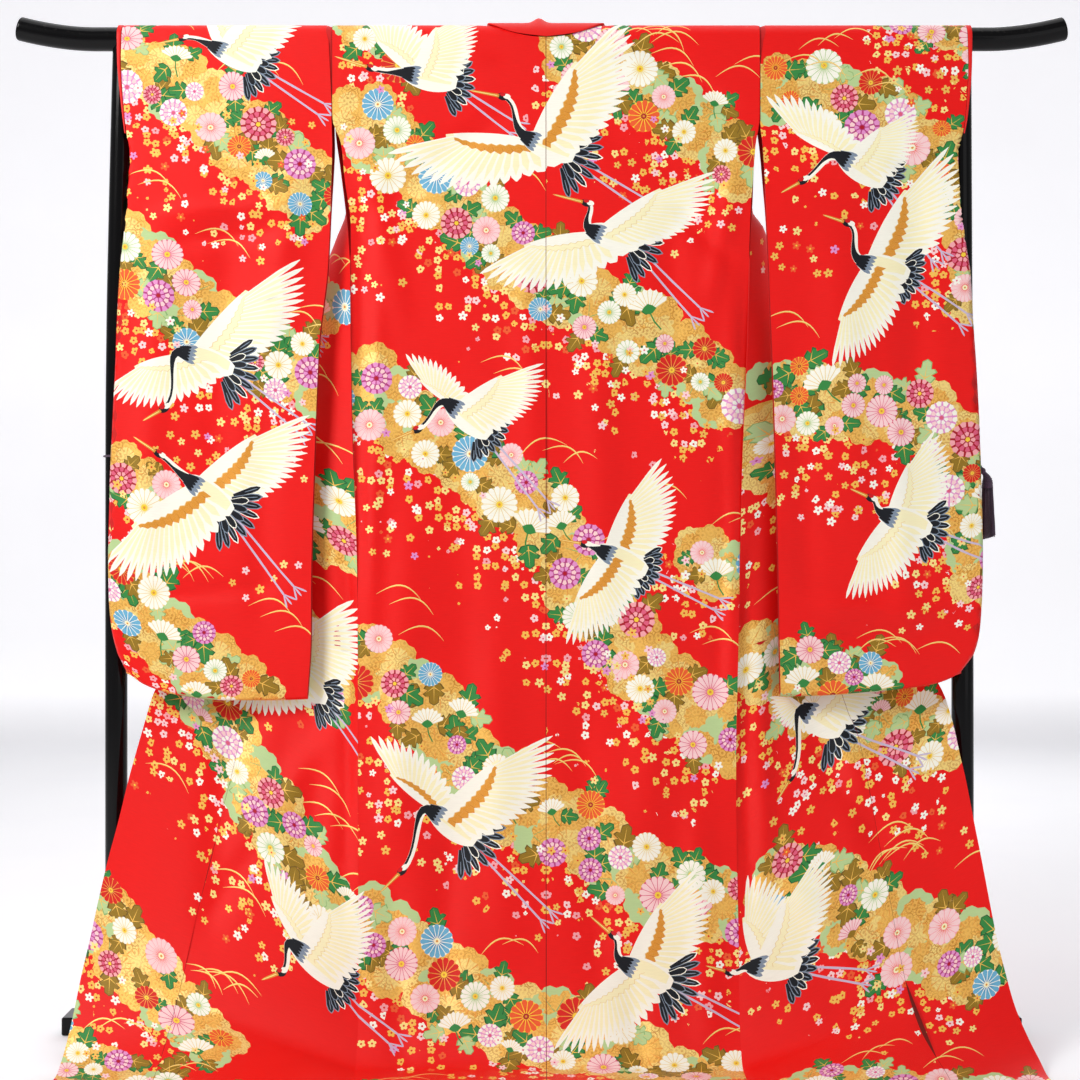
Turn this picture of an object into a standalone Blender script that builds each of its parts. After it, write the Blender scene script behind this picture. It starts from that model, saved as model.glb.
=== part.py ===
"""Uchikake wedding kimono hung on a lacquered kimono stand.

Frame: metres, +X along the crossbar, -Y the side on which the kimono's back hangs, +Z up.
The stand's feet and the garment's hem rest on z = 0.

Every cloth piece starts as a middle surface, a grid of points worked out from named sizes and
short tables, and a Solidify modifier gives it its wall. In the tables x is the distance from the
garment's centre line, and the left and the right half each have a column where they differ.
"""

import math

import bpy
import numpy as np

GAP = 0.0003            # space kept between neighbouring pieces
SEAM = 0.0004           # half of the space along the overlap panel's seam
BEND_SEAM = 0.0010      # what is added to it where the seam runs round the fold
CLOTH = 0.0020          # wall of the brocade with its lining
EDGING = 0.0026         # wall of the sleeve-mouth edging
COLLAR_WALL = 0.0030    # wall of the doubled collar

Y_SHIFT = 0.1312        # puts the middle of the whole depth on y = 0
GARMENT_X = 0.0066      # the garment hangs a little right of the stand's middle

BAR_RADIUS = 0.0185
BAR_Z = 1.5537
BAR_HALF = 0.8190       # half of the crossbar's length along its axis
BAR_STRAIGHT = 0.700    # the bar is straight out to here
BAR_RISE = 0.0170       # upsweep of each end
BAR_SIDES = 28

POST_RADIUS = 0.0172
POST_SIDES = 20
FOOT_HEIGHT = 0.0280
FOOT_DEPTH = 0.0650     # front-to-back size of the short arm
FOOT_OUT = 0.7450       # outer end of the short arm
FOOT_IN = 0.5900        # inner end of the short arm
FOOT_FRONT = -0.1380    # near end of the long arm
FOOT_BACK = 0.2000      # far end of the long arm

LENGTH = 1.860          # shoulder fold to hem
SHOULDER = 0.3330       # centre back to the sleeve seam
NECK = 0.0950           # half of the neck opening at the shoulder fold
NECK_DEPTH = 0.0335     # how far the neck opening dips down the back
MIDDLE = BAR_RADIUS + 0.0009 + CLOTH / 2   # radius of the cloth's middle over the bar
QUARTER = MIDDLE * math.pi / 2             # cloth from the fold to the level of the bar's axis
ARC_ROWS = 5
SLEEVE_SEAM = 0.172     # length of the seam from the shoulder fold to the open inner edge
SIDE_SEAM_TOP = 0.380   # the side seam runs from here to the hem
OKUMI_TOP = 0.290       # the overlap panel's point
COLLAR_END = 0.950
OKUMI_WIDTH = 0.155
FULL_FRONT = 0.360      # where a row of the front is shorter than this, its overlap panel shrinks too
COLLAR_WIDTH = 0.055
COLLAR_END_WIDTH = 0.070
COLLAR_LIFT = 0.0031    # the collar lies on the neck edge, so it runs this far outside the body's cloth
COLLAR_STEPS = 6
COLLAR_PINCH = (-0.0110, 0.0085, 0.0100, 0.0130)   # x, height, half width, half length over the bar
MOUTH = 0.200           # length of the wrist opening on each layer
POUCH = 0.0040          # how far the sleeve's folded edge stands out past its two layers

# The back hangs from the bar, leans forward low down and runs out over the floor.
BACK_DROP = (
    # y, z
    (-0.0203, BAR_Z),
    (-0.0208, 1.400),
    (-0.0225, 1.200),
    (-0.0300, 0.900),
    (-0.0420, 0.680),
    (-0.0600, 0.480),
    (-0.0850, 0.330),
    (-0.1180, 0.200),
    (-0.1500, 0.105),
    (-0.1900, 0.035),
    (-0.2350, 0.001),
    (-0.3400, 0.001),
    (-0.5200, 0.001),
)

# Half width of the back, from the centre seam to the side edge.
BACK_EDGE = (
    # v, left, right
    (0.000, 0.3330, 0.3330),
    (0.160, 0.3325, 0.3325),
    (0.200, 0.3190, 0.3265),
    (0.262, 0.3125, 0.3215),
    (0.291, 0.3080, 0.3190),
    (0.325, 0.3040, 0.3175),
    (0.410, 0.3035, 0.3150),
    (0.506, 0.3025, 0.3125),
    (0.600, 0.3013, 0.3080),
    (0.700, 0.2978, 0.3035),
    (0.860, 0.2915, 0.2995),
    (1.020, 0.2890, 0.2945),
    (1.150, 0.2875, 0.2905),
    (1.310, 0.2845, 0.2890),
    (1.430, 0.2810, 0.2880),
    (1.600, 0.2765, 0.2840),
    (1.860, 0.2750, 0.2840),
)

# The front's side edge comes from the far side of the bar to the side seam on the near side.
ARMHOLE_EDGE = (
    # v, y, x left, x right
    (0.000, 0.0000, 0.3330, 0.3330),
    (0.060, 0.0205, 0.3330, 0.3330),
    (0.160, 0.0210, 0.3325, 0.3325),
    (0.230, 0.0150, 0.3235, 0.3270),
    (0.290, 0.0030, 0.3145, 0.3230),
    (0.340, -0.0120, 0.3080, 0.3185),
    (0.380, -0.0222, 0.3050, 0.3165),
)

# Route of the front's inner edge: neck, then the collar's seam, then the overlap's free edge.
INNER_EDGE = (
    # z, y, x left, x right
    (1.4550, 0.0340, 0.1420, 0.1420),
    (1.3000, 0.0560, 0.2180, 0.2180),
    (1.1500, 0.0720, 0.2960, 0.2960),
    (1.0000, 0.0800, 0.3740, 0.3740),
    (0.8500, 0.0740, 0.4500, 0.4520),
    (0.7000, 0.0550, 0.5260, 0.5320),
    (0.6000, 0.0320, 0.5780, 0.5850),
    (0.5200, 0.0020, 0.6185, 0.6268),
    (0.4800, -0.0260, 0.6250, 0.6334),
    (0.4400, -0.0420, 0.6337, 0.6390),
    (0.4000, -0.0540, 0.6425, 0.6460),
    (0.3400, -0.0740, 0.6535, 0.6538),
    (0.2800, -0.0920, 0.6663, 0.6622),
    (0.2200, -0.1100, 0.6770, 0.6700),
    (0.1700, -0.1270, 0.6845, 0.6766),
    (0.1200, -0.1480, 0.6925, 0.6850),
    (0.0800, -0.1690, 0.6965, 0.6925),
    (0.0400, -0.1980, 0.7000, 0.7050),
    (0.0120, -0.2320, 0.7020, 0.7150),
    (0.0010, -0.2750, 0.7010, 0.7165),
    (0.0010, -0.4500, 0.7000, 0.7185),
)

# The front's soft fold: how far the two handles of its cross section's Bezier curve lie from the
# straight line between its side edge and its inner edge.
FRONT_FOLDS = (
    # v, outer handle x left, x right, y, inner handle x left, x right, y
    (0.000, 0.0000, 0.0000, 0.000, 0.0000, 0.0000, 0.000),
    (0.060, 0.0000, 0.0000, 0.000, 0.0000, 0.0000, 0.000),
    (0.150, 0.0050, 0.0050, 0.002, -0.0030, -0.0030, 0.006),
    (0.240, 0.0200, 0.0220, 0.016, 0.0080, 0.0100, 0.020),
    (0.300, 0.0400, 0.0480, 0.026, 0.0300, 0.0380, 0.030),
    (0.330, 0.0660, 0.0860, 0.032, 0.0520, 0.0800, 0.040),
    (0.360, 0.0800, 0.0940, 0.035, 0.0720, 0.0900, 0.048),
    (0.430, 0.0960, 0.0960, 0.034, 0.0980, 0.1000, 0.052),
    (0.500, 0.0960, 0.0960, 0.023, 0.1100, 0.1100, 0.042),
    (0.600, 0.0740, 0.0740, 0.009, 0.1020, 0.1020, 0.030),
    (0.700, 0.0500, 0.0500, -0.004, 0.0870, 0.0870, -0.006),
    (0.800, 0.0260, 0.0260, -0.012, 0.0510, 0.0510, -0.022),
    (0.950, 0.0000, 0.0000, -0.004, 0.0160, 0.0160, -0.010),
    (1.100, -0.0070, -0.0070, 0.012, -0.0020, -0.0020, 0.021),
    (1.200, -0.0080, -0.0080, 0.013, 0.0080, 0.0080, 0.017),
    (1.350, 0.0000, 0.0000, 0.004, 0.0000, 0.0000, 0.008),
    (1.500, 0.0000, 0.0000, -0.012, 0.0000, 0.0000, 0.010),
    (1.700, 0.0000, 0.0000, 0.000, 0.0000, 0.0000, 0.000),
    (1.900, 0.0000, 0.0000, 0.000, 0.0000, 0.0000, 0.000),
)

# Sleeve outline. The outer edge ends half way round the bottom corner.
SLEEVE_INNER = (
    # share of the drop, z, x left, x right
    (0.000, 1.5537, 0.3334, 0.3334),
    (0.150, 1.4160, 0.3334, 0.3334),
    (0.180, 1.3830, 0.3325, 0.3370),
    (0.260, 1.2970, 0.3335, 0.3405),
    (0.360, 1.1880, 0.3380, 0.3455),
    (0.400, 1.1420, 0.3430, 0.3470),
    (0.460, 1.0800, 0.3505, 0.3495),
    (0.580, 0.9550, 0.3560, 0.3535),
    (0.690, 0.8310, 0.3600, 0.3567),
    (0.790, 0.7220, 0.3625, 0.3590),
    (0.900, 0.6140, 0.3630, 0.3604),
    (1.000, 0.5240, 0.3680, 0.3616),
)
SLEEVE_OUTER = (
    # share of the drop, z, x left, x right
    (0.000, 1.5537, 0.6686, 0.6640),
    (0.060, 1.5130, 0.6676, 0.6632),
    (0.085, 1.4870, 0.6655, 0.6620),
    (0.105, 1.4680, 0.6635, 0.6602),
    (0.150, 1.4230, 0.6580, 0.6550),
    (0.188, 1.3870, 0.6525, 0.6475),
    (0.208, 1.3650, 0.6490, 0.6430),
    (0.235, 1.3370, 0.6505, 0.6440),
    (0.285, 1.2860, 0.6545, 0.6470),
    (0.335, 1.2330, 0.6575, 0.6534),
    (0.385, 1.1800, 0.6612, 0.6580),
    (0.460, 1.1000, 0.6655, 0.6625),
    (0.515, 1.0440, 0.6672, 0.6665),
    (0.600, 0.9500, 0.6715, 0.6710),
    (0.690, 0.8500, 0.6750, 0.6738),
    (0.780, 0.7500, 0.6768, 0.6755),
    (0.860, 0.6700, 0.6752, 0.6735),
    (0.915, 0.6250, 0.6705, 0.6700),
    (0.955, 0.5930, 0.6625, 0.6620),
    (1.000, 0.5630, 0.6480, 0.6410),
)
SLEEVE_BOTTOM = (
    # share of the width, z left, z right
    (0.000, 0.5240, 0.5280),
    (0.200, 0.5222, 0.5290),
    (0.450, 0.5222, 0.5340),
    (0.700, 0.5290, 0.5400),
    (0.860, 0.5400, 0.5470),
    (0.940, 0.5500, 0.5540),
    (1.000, 0.5630, 0.5626),
)
# Depth of the sleeve's two layers. The far one starts behind the post and ends before it.
SLEEVE_DEPTH = (
    # z, near y, far y
    (1.5537, -0.0203, 0.0203),
    (1.4500, -0.0245, 0.0210),
    (1.4100, -0.0275, 0.0215),
    (1.3850, -0.0295, 0.0190),
    (1.3500, -0.0320, 0.0080),
    (1.3200, -0.0335, -0.0030),
    (1.2900, -0.0345, -0.0140),
    (1.2600, -0.0350, -0.0200),
    (1.2000, -0.0355, -0.0213),
    (0.9000, -0.0405, -0.0250),
    (0.5200, -0.0490, -0.0345),
)
# The far layer's edge passes on the inner side of the post.
FAR_INSET = (
    # z, left, right
    (1.5537, 0.0000, 0.0000),
    (1.4500, 0.0020, 0.0020),
    (1.4150, 0.0060, 0.0120),
    (1.3850, 0.0100, 0.0200),
    (1.3500, 0.0110, 0.0190),
    (1.3000, 0.0110, 0.0190),
    (1.2650, 0.0090, 0.0190),
    (1.2300, 0.0030, 0.0080),
    (1.1900, 0.0000, 0.0000),
)

# The collar round the neck on the unrolled bar: t is the way over the bar, below 0 on the near side.
NECK_COLLAR = (
    # place, seam x, seam t, folded edge x, folded edge t
    (0.00, 0.0000, -0.0385, 0.0000, 0.0255),
    (0.35, 0.0450, -0.0325, 0.0120, 0.0280),
    (0.60, 0.0750, -0.0205, 0.0240, 0.0360),
    (0.80, 0.0920, -0.0020, 0.0340, 0.0480),
    (0.90, 0.0930, 0.0180, 0.0400, 0.0620),
    (1.00, 0.0940, 0.0390, 0.0480, 0.0780),
)

NECK_PLACES = (0.00, 0.06, 0.12, 0.20, 0.35, 0.50, 0.62, 0.72, 0.80, 0.86, 0.91, 0.955, 1.00)
SLEEVE_ROWS = (0.045, 0.090, 0.125, 0.155, 0.180, 0.205, 0.230, 0.255, 0.280, 0.310, 0.345,
               0.390, 0.450, 0.520, 0.590, 0.660, 0.730, 0.800, 0.860, 0.910, 0.955, 1.000)
SLEEVE_COLUMNS = (0.00, 0.16, 0.32, 0.48, 0.64, 0.78, 0.90, 1.00)
BODY_ROWS = (0.070, 0.120, 0.172, 0.230, 0.290, 0.340, 0.380, 0.430, 0.490, 0.560, 0.640, 0.720,
             0.810, 0.900, 0.990, 1.070, 1.140, 1.200, 1.260, 1.320, 1.390, 1.460, 1.520, 1.570,
             1.620, 1.680, 1.760, 1.860)
BACK_COLUMNS = (0.000, 0.140, 0.2252, 0.2628, NECK / SHOULDER, 0.400, 0.520, 0.640, 0.760, 0.880, 1.000)
NECK_COLUMN = 4
FRONT_STEPS = len(BACK_COLUMNS) - 1 - NECK_COLUMN
OKUMI_STEPS = 3

POST_LINES = {
    # side: (z, distance from the stand's middle)
    "left": ((0.0283, 0.6667), (0.700, 0.6667), (0.950, 0.6664), (1.100, 0.6650), (1.300, 0.6610),
             (1.540, 0.6550)),
    "right": ((0.0283, 0.6600), (0.800, 0.6590), (1.540, 0.6560)),
}

CORD_RADIUS = 0.0016
CORD_HEIGHT = {"left": 0.900, "right": 0.888}
TASSEL_X = 0.6985
TASSEL_TOP = 0.8700
TASSEL_HEAD = 0.0200
TASSEL_LENGTH = 0.0960
TASSEL_STRANDS = 42
TASSEL_SIDES = 14
# The tassel's cord leaves the ring round the post, is knotted, and swells into the head.
TASSEL_CORD = (
    # x, z, radius, slope downwards in degrees
    (0.6800, 0.8880, 0.0018, 0),
    (0.6835, 0.8877, 0.0018, 10),
    (0.6866, 0.8862, 0.0019, 40),
    (0.6886, 0.8826, 0.0022, 65),
    (0.6903, 0.8795, 0.0042, 60),
    (0.6917, 0.8766, 0.0047, 57),
    (0.6935, 0.8735, 0.0036, 52),
    (0.6956, 0.8707, 0.0046, 62),
    (0.6973, 0.8670, 0.0062, 74),
    (0.6983, 0.8625, 0.0078, 84),
    (TASSEL_X, 0.8575, 0.0085, 90),
    (TASSEL_X, TASSEL_TOP - TASSEL_HEAD, 0.0090, 90),
)

RED = (0.76, 0.010, 0.008)
LACQUER = (0.006, 0.006, 0.007)
PURPLE = (0.045, 0.015, 0.045)
SIDES = {"left": -1, "right": 1}


def clear_scene():
    """Remove every object of the open scene."""
    for item in list(bpy.data.objects):
        bpy.data.objects.remove(item, do_unlink=True)


def material(name, colour, roughness, metallic=0.0):
    """Return a Principled material with a plain colour."""
    found = bpy.data.materials.get(name)
    if found:
        return found
    made = bpy.data.materials.new(name)
    made.use_nodes = True
    shader = made.node_tree.nodes["Principled BSDF"]
    shader.inputs["Base Color"].default_value = (*colour, 1.0)
    shader.inputs["Roughness"].default_value = roughness
    shader.inputs["Metallic"].default_value = metallic
    return made


def slopes(x, y):
    """Return tangents of a smooth curve that never overshoots its points (Fritsch-Carlson)."""
    steps = np.diff(x)[:, None]
    secants = np.diff(y, axis=0) / steps
    tangents = np.empty_like(y)
    tangents[0] = secants[0]
    tangents[-1] = secants[-1]
    before = secants[:-1]
    after = secants[1:]
    product = before * after
    total = before + after
    safe = np.where(np.abs(total) < 1e-12, 1.0, total)
    tangents[1:-1] = np.where(product > 0, 2 * product / safe, 0.0)
    return tangents


def curve(table, at):
    """Read a table's columns at the values `at` of its first column, along a smooth curve."""
    data = np.array(table, dtype=float)
    if data[0, 0] > data[-1, 0]:
        data = data[::-1]
    x = data[:, 0]
    y = data[:, 1:]
    at = np.clip(np.atleast_1d(np.asarray(at, dtype=float)), x[0], x[-1])
    tangents = slopes(x, y)
    place = np.clip(np.searchsorted(x, at, side="right") - 1, 0, len(x) - 2)
    width = (x[place + 1] - x[place])[:, None]
    share = ((at - x[place])[:, None]) / width
    square = share * share
    cube = square * share
    return ((2 * cube - 3 * square + 1) * y[place] + (cube - 2 * square + share) * width * tangents[place]
            + (3 * square - 2 * cube) * y[place + 1] + (cube - square) * width * tangents[place + 1])


def by_length(points, at):
    """Return the points at the distances `at` along a polyline that is given densely."""
    steps = np.linalg.norm(np.diff(points, axis=0), axis=1)
    length = np.concatenate(([0.0], np.cumsum(steps)))
    return np.stack([np.interp(at, length, points[:, axis]) for axis in range(3)], axis=1)


def over_bar(distance):
    """Return y and z of the cloth's middle at a distance along the near side, on the bar's arc."""
    angle = distance / MIDDLE
    return -MIDDLE * np.sin(angle), BAR_Z + MIDDLE * np.cos(angle)


def knots(points, count=24):
    """Return a dense smooth curve through points, with centripetal spacing and no overshoot."""
    points = np.asarray(points, dtype=float)
    spacing = np.sqrt(np.linalg.norm(np.diff(points, axis=0), axis=1))
    place = np.concatenate(([0.0], np.cumsum(spacing)))
    table = np.column_stack((place, points))
    dense = np.concatenate([np.linspace(a, b, count, endpoint=False) for a, b in zip(place, place[1:])])
    return curve(table, np.append(dense, place[-1]))


def back_profile(rows):
    """Return y and z of the back at distances from the shoulder fold."""
    route = knots([(0.0, y, z) for y, z in BACK_DROP])
    y_arc, z_arc = over_bar(np.minimum(rows, QUARTER))
    hang = by_length(route, np.maximum(rows - QUARTER, 0.0))
    on_bar = rows <= QUARTER
    return np.where(on_bar, y_arc, hang[:, 1]), np.where(on_bar, z_arc, hang[:, 2])


def body_rows():
    """Return the body's rows: the bar's arc in even steps, then the hanging rows."""
    return np.concatenate((np.linspace(0.0, QUARTER, ARC_ROWS + 1), BODY_ROWS))


def column_of(side):
    """Return 0 for the left half's column in a table and 1 for the right half's."""
    return 0 if side == "left" else 1


def back_points(side):
    """Return the back panel's middle surface as rows x columns x 3, with its neck edge cut."""
    rows = body_rows()
    edge = curve(BACK_EDGE, rows)[:, column_of(side)]
    share = np.array(BACK_COLUMNS)
    x = edge[:, None] * share[None, :]
    x[:, 0] = GAP / 2 + 0.0001
    neck = NECK_DEPTH * np.maximum(1 - (x[0] / NECK) ** 2, 0.0) ** 0.7
    neck[NECK_COLUMN:] = 0.0
    first = np.abs(rows[:, None] - neck[None, :]).argmin(axis=0)
    distance = np.repeat(rows[:, None], len(share), axis=1)
    distance[first, np.arange(len(share))] = neck
    y, z = back_profile(distance.ravel())
    return np.stack((x, y.reshape(x.shape), z.reshape(x.shape)), axis=2), first


def inner_route(side):
    """Return the dense route of the front's inner edge from the shoulder fold to past the hem."""
    column = 2 + column_of(side)
    angles = np.linspace(0.0, math.pi / 2, 7)
    arc = [(NECK - 0.0005 * a, MIDDLE * math.sin(a), BAR_Z + MIDDLE * math.cos(a)) for a in angles]
    hang = [(row[column], row[1], row[0]) for row in INNER_EDGE]
    return knots(arc + hang, 16)


def front_edges(side, rows):
    """Return the front's side edge and inner edge at distances from the shoulder fold."""
    column = column_of(side)
    inner = by_length(inner_route(side), rows)
    back_y, back_z = back_profile(rows)
    back_x = curve(BACK_EDGE, rows)[:, column]
    outer = np.stack((back_x + 0.0012, back_y, back_z), axis=1)
    free = rows < SIDE_SEAM_TOP
    table = np.array(ARMHOLE_EDGE)
    armhole = curve(table, rows)
    arc = rows < QUARTER
    y_arc, z_arc = over_bar(np.minimum(rows, QUARTER))
    y = np.where(arc, -y_arc, np.where(rows < 0.06, MIDDLE, armhole[:, 0]))
    outer[free, 0] = armhole[free, 1 + column]
    outer[free, 1] = y[free]
    outer[free, 2] = np.where(arc, z_arc, BAR_Z - (rows - QUARTER))[free]
    return outer, inner


def cross_section(outer, inner, folds, column):
    """Return one dense row of the front, a Bezier curve from the side edge to the inner edge."""
    first = outer + (inner - outer) / 3 + np.array((folds[column], folds[2], 0.0))
    second = outer + (inner - outer) * 2 / 3 + np.array((folds[3 + column], folds[5], 0.0))
    share = np.linspace(0.0, 1.0, 61)[:, None]
    rest = 1 - share
    dense = rest ** 3 * outer + 3 * rest ** 2 * share * first + 3 * rest * share ** 2 * second + share ** 3 * inner
    dense[:, 2] = np.maximum(dense[:, 2], CLOTH / 2)
    return dense


def okumi_width(rows):
    """Return the overlap panel's width, from nothing at its point to its full width."""
    return OKUMI_WIDTH * np.clip((rows - OKUMI_TOP) / (COLLAR_END - OKUMI_TOP), 0.0, 1.0)


def row_length(points):
    """Return the length of a polyline."""
    return float(np.linalg.norm(np.diff(points, axis=0), axis=1).sum())


def front_points(side):
    """Return the middle surfaces of the front and of its overlap panel, rows x columns x 3."""
    rows = body_rows()
    column = column_of(side)
    outer, inner = front_edges(side, rows)
    folds = curve(FRONT_FOLDS, rows)
    widths = okumi_width(rows)
    front = np.empty((len(rows), FRONT_STEPS + 1, 3))
    okumi = np.empty((len(rows), OKUMI_STEPS + 1, 3))
    shares = (1 - np.array(BACK_COLUMNS[NECK_COLUMN:])) / (1 - BACK_COLUMNS[NECK_COLUMN])
    for index in range(len(rows)):
        dense = cross_section(outer[index], inner[index], folds[index], column)
        full = row_length(dense)
        seam = full - widths[index] * min(full / FULL_FRONT, 1.0)
        space = SEAM + BEND_SEAM * math.exp(-((rows[index] - 0.63) / 0.15) ** 2)
        front[index] = by_length(dense, shares * (seam - (space if widths[index] > 0 else 0.0)))
        okumi[index] = by_length(dense, seam + space + (full - seam - space) * np.linspace(0, 1, OKUMI_STEPS + 1))
    return front, okumi


def grid_faces(index):
    """Return the faces of an index grid: quads, and triangles where two neighbours are one point."""
    corners = (index[:-1, :-1], index[:-1, 1:], index[1:, 1:], index[1:, :-1])
    quads = np.stack([corner.ravel() for corner in corners], axis=1).tolist()
    faces = [tuple(dict.fromkeys(quad)) for quad in quads]
    return [face for face in faces if len(face) > 2]


def cloth_object(name, points, faces, side, wall, colour=RED):
    """Make a cloth piece from a middle surface and give it its wall."""
    sign = SIDES[side]
    used = np.unique(np.concatenate([np.array(face) for face in faces]))
    renumber = np.zeros(len(points), dtype=int)
    renumber[used] = np.arange(len(used))
    faces = [tuple(int(renumber[corner]) for corner in face) for face in faces]
    placed = np.array(points, dtype=float)[used]
    placed[:, 0] = GARMENT_X + sign * placed[:, 0]
    placed[:, 1] += Y_SHIFT
    if sign > 0:
        faces = [face[::-1] for face in faces]
    mesh = bpy.data.meshes.new(name)
    mesh.from_pydata(placed.tolist(), [], faces)
    mesh.update()
    made = bpy.data.objects.new(name, mesh)
    bpy.context.scene.collection.objects.link(made)
    mesh.materials.append(material("red_brocade", colour, 0.55))
    solidify = made.modifiers.new("wall", "SOLIDIFY")
    solidify.thickness = wall
    solidify.offset = 0.0
    solidify.use_even_offset = True
    solidify.use_rim = True
    mesh.shade_smooth()
    mesh.set_sharp_from_angle(angle=math.radians(50))
    return made


def build_body(side):
    """Build one length of cloth: the back, over the shoulder fold, and the front."""
    back, neck_first = back_points(side)
    front, okumi = front_points(side)
    rows, columns = back.shape[:2]
    back_index = np.arange(rows * columns).reshape(rows, columns)
    for column, first in enumerate(neck_first):
        back_index[:first, column] = back_index[first, column]
    front_index = rows * columns + np.arange((rows - 1) * (FRONT_STEPS + 1)).reshape(rows - 1, -1)
    crest = back_index[0, NECK_COLUMN:]
    front_index = np.vstack((crest[None, :], front_index))
    points = np.concatenate((back.reshape(-1, 3), front[1:].reshape(-1, 3)))
    faces = grid_faces(back_index) + grid_faces(front_index[:, ::-1])
    cloth_object("body_" + side, points, faces, side, CLOTH)
    widths = okumi_width(body_rows())
    first = int(np.argmax(widths > 0.004))
    panel = okumi[first:]
    index = np.arange(panel.shape[0] * panel.shape[1]).reshape(panel.shape[:2])
    cloth_object("okumi_" + side, panel.reshape(-1, 3), grid_faces(index[:, ::-1]), side, CLOTH)


def blend(value):
    """Return a smooth 0-to-1 step."""
    value = np.clip(value, 0.0, 1.0)
    return value * value * (3 - 2 * value)


def sleeve_outline(side, far):
    """Return rows, inner edge and outer edge of one sleeve layer as arrays of (x, z)."""
    column = 1 + column_of(side)
    shares = np.array(SLEEVE_ROWS)
    inner = curve(SLEEVE_INNER, shares)[:, (column, 0)]
    outer = curve(SLEEVE_OUTER, shares)[:, (column, 0)]
    if far:
        outer[:, 0] -= curve(FAR_INSET, outer[:, 1])[:, column - 1]
    outer[:, 0] -= POUCH
    return shares, inner, outer


def mouth_width(distance):
    """Return the visible width of the mouth edging at distances from the shoulder fold."""
    return 0.0085 - 0.0060 * np.clip(distance / MOUTH, 0.0, 1.0)


def sleeve_layer(side, far):
    """Return one layer of the sleeve as rows x columns x 3, from the shoulder fold down."""
    shares, inner, outer = sleeve_outline(side, far)
    across = np.array(SLEEVE_COLUMNS)
    low = curve(SLEEVE_BOTTOM, across)[:, column_of(side)] + POUCH
    x = inner[:, 0][:, None] + (outer[:, 0] - inner[:, 0])[:, None] * across[None, :]
    straight = inner[:, 1][:, None] + (outer[:, 1] - inner[:, 1])[:, None] * across[None, :]
    end = inner[-1, 1] + (outer[-1, 1] - inner[-1, 1]) * across
    pull = blend((shares - 0.55) / 0.45)[:, None]
    z = straight + (low - end)[None, :] * pull
    near_y, far_y = curve(SLEEVE_DEPTH, z.ravel()).T
    drop = curve([(z, y) for y, z in BACK_DROP[:6]], z.ravel())[:, 0]
    sewn = (1 - blend((x.ravel() - SHOULDER) / 0.15)) * (1 - blend((1.41 - z.ravel()) / 0.12))
    depth = far_y if far else near_y * (1 - sewn) + drop * sewn
    hanging = np.stack((x, depth.reshape(x.shape), z), axis=2)
    top_in = curve(SLEEVE_INNER, [0.0])[0, 1 + column_of(side)]
    top_out = curve(SLEEVE_OUTER, [0.0])[0, 1 + column_of(side)] - POUCH
    top_x = top_in + (top_out - top_in) * across
    distance = np.linspace(0.0, QUARTER, ARC_ROWS + 1)
    y_arc, z_arc = over_bar(distance)
    arc = np.empty((len(distance), len(across), 3))
    arc[:, :, 0] = top_x[None, :]
    arc[:, :, 1] = (-y_arc if far else y_arc)[:, None]
    arc[:, :, 2] = z_arc[:, None]
    layer = np.concatenate((arc, hanging))
    length = np.concatenate((distance, QUARTER + BAR_Z - outer[:, 1]))
    open_rows = length <= MOUTH
    return layer, length, open_rows


def build_sleeve(side):
    """Build a sleeve: two layers joined over the shoulder, along the bottom and the outer edge."""
    near, length, open_rows = sleeve_layer(side, False)
    far, _, _ = sleeve_layer(side, True)
    edging = mouth_width(length)
    trim = np.where(open_rows, edging - POUCH + GAP + 0.0002, 0.0)
    mouth_rows = int(open_rows.sum())
    trim[mouth_rows - 1:] = 0.0
    for layer in (near, far):
        layer[:mouth_rows, -1, 0] -= trim[:mouth_rows]
    rows, columns = near.shape[:2]
    near_index = np.arange(rows * columns).reshape(rows, columns)
    far_index = rows * columns + np.arange((rows - 1) * columns).reshape(rows - 1, columns)
    far_index = np.vstack((near_index[:1], far_index))
    start = mouth_rows
    side_mid = (near[start:, -1] + far[start:, -1]) / 2
    side_mid[:-1, 0] += POUCH
    side_mid[-1] += np.array((POUCH * 0.7, 0.0, -POUCH * 0.7))
    low_mid = (near[-1, :-1] + far[-1, :-1]) / 2
    low_mid[:, 2] -= POUCH
    count = rows * columns + (rows - 1) * columns
    side_index = count + np.arange(len(side_mid))
    low_index = count + len(side_mid) + np.arange(len(low_mid))
    rim = np.concatenate((side_index, low_index[::-1]))
    near_rim = np.concatenate((near_index[start:, -1], near_index[-1, :-1][::-1]))
    far_rim = np.concatenate((far_index[start:, -1], far_index[-1, :-1][::-1]))
    strip = np.stack((near_rim, rim, far_rim), axis=1)
    points = np.concatenate((near.reshape(-1, 3), far[1:].reshape(-1, 3), side_mid, low_mid))
    faces = grid_faces(near_index) + grid_faces(far_index[:, ::-1]) + grid_faces(strip)
    cloth_object("sleeve_" + side, points, faces, side, CLOTH)
    build_edging(side, near, far, length, mouth_rows)


def build_edging(side, near, far, length, mouth_rows):
    """Build the plain strip round the wrist opening, over the shoulder fold and down both layers."""
    last = mouth_rows - 1
    strips = []
    for layer in (near, far):
        inner = layer[:last, -1].copy()
        inner[:, 0] += GAP + 0.0002
        outer = inner.copy()
        outer[:, 0] += mouth_width(length[:last]) - 0.0002
        strips.append(np.stack((inner, outer), axis=1))
    whole = np.concatenate((strips[0][::-1], strips[1][1:]))
    index = np.arange(whole.shape[0] * 2).reshape(-1, 2)
    cloth_object("mouth_edge_" + side, whole.reshape(-1, 3), grid_faces(index[:, ::-1]), side, EDGING)


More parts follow.
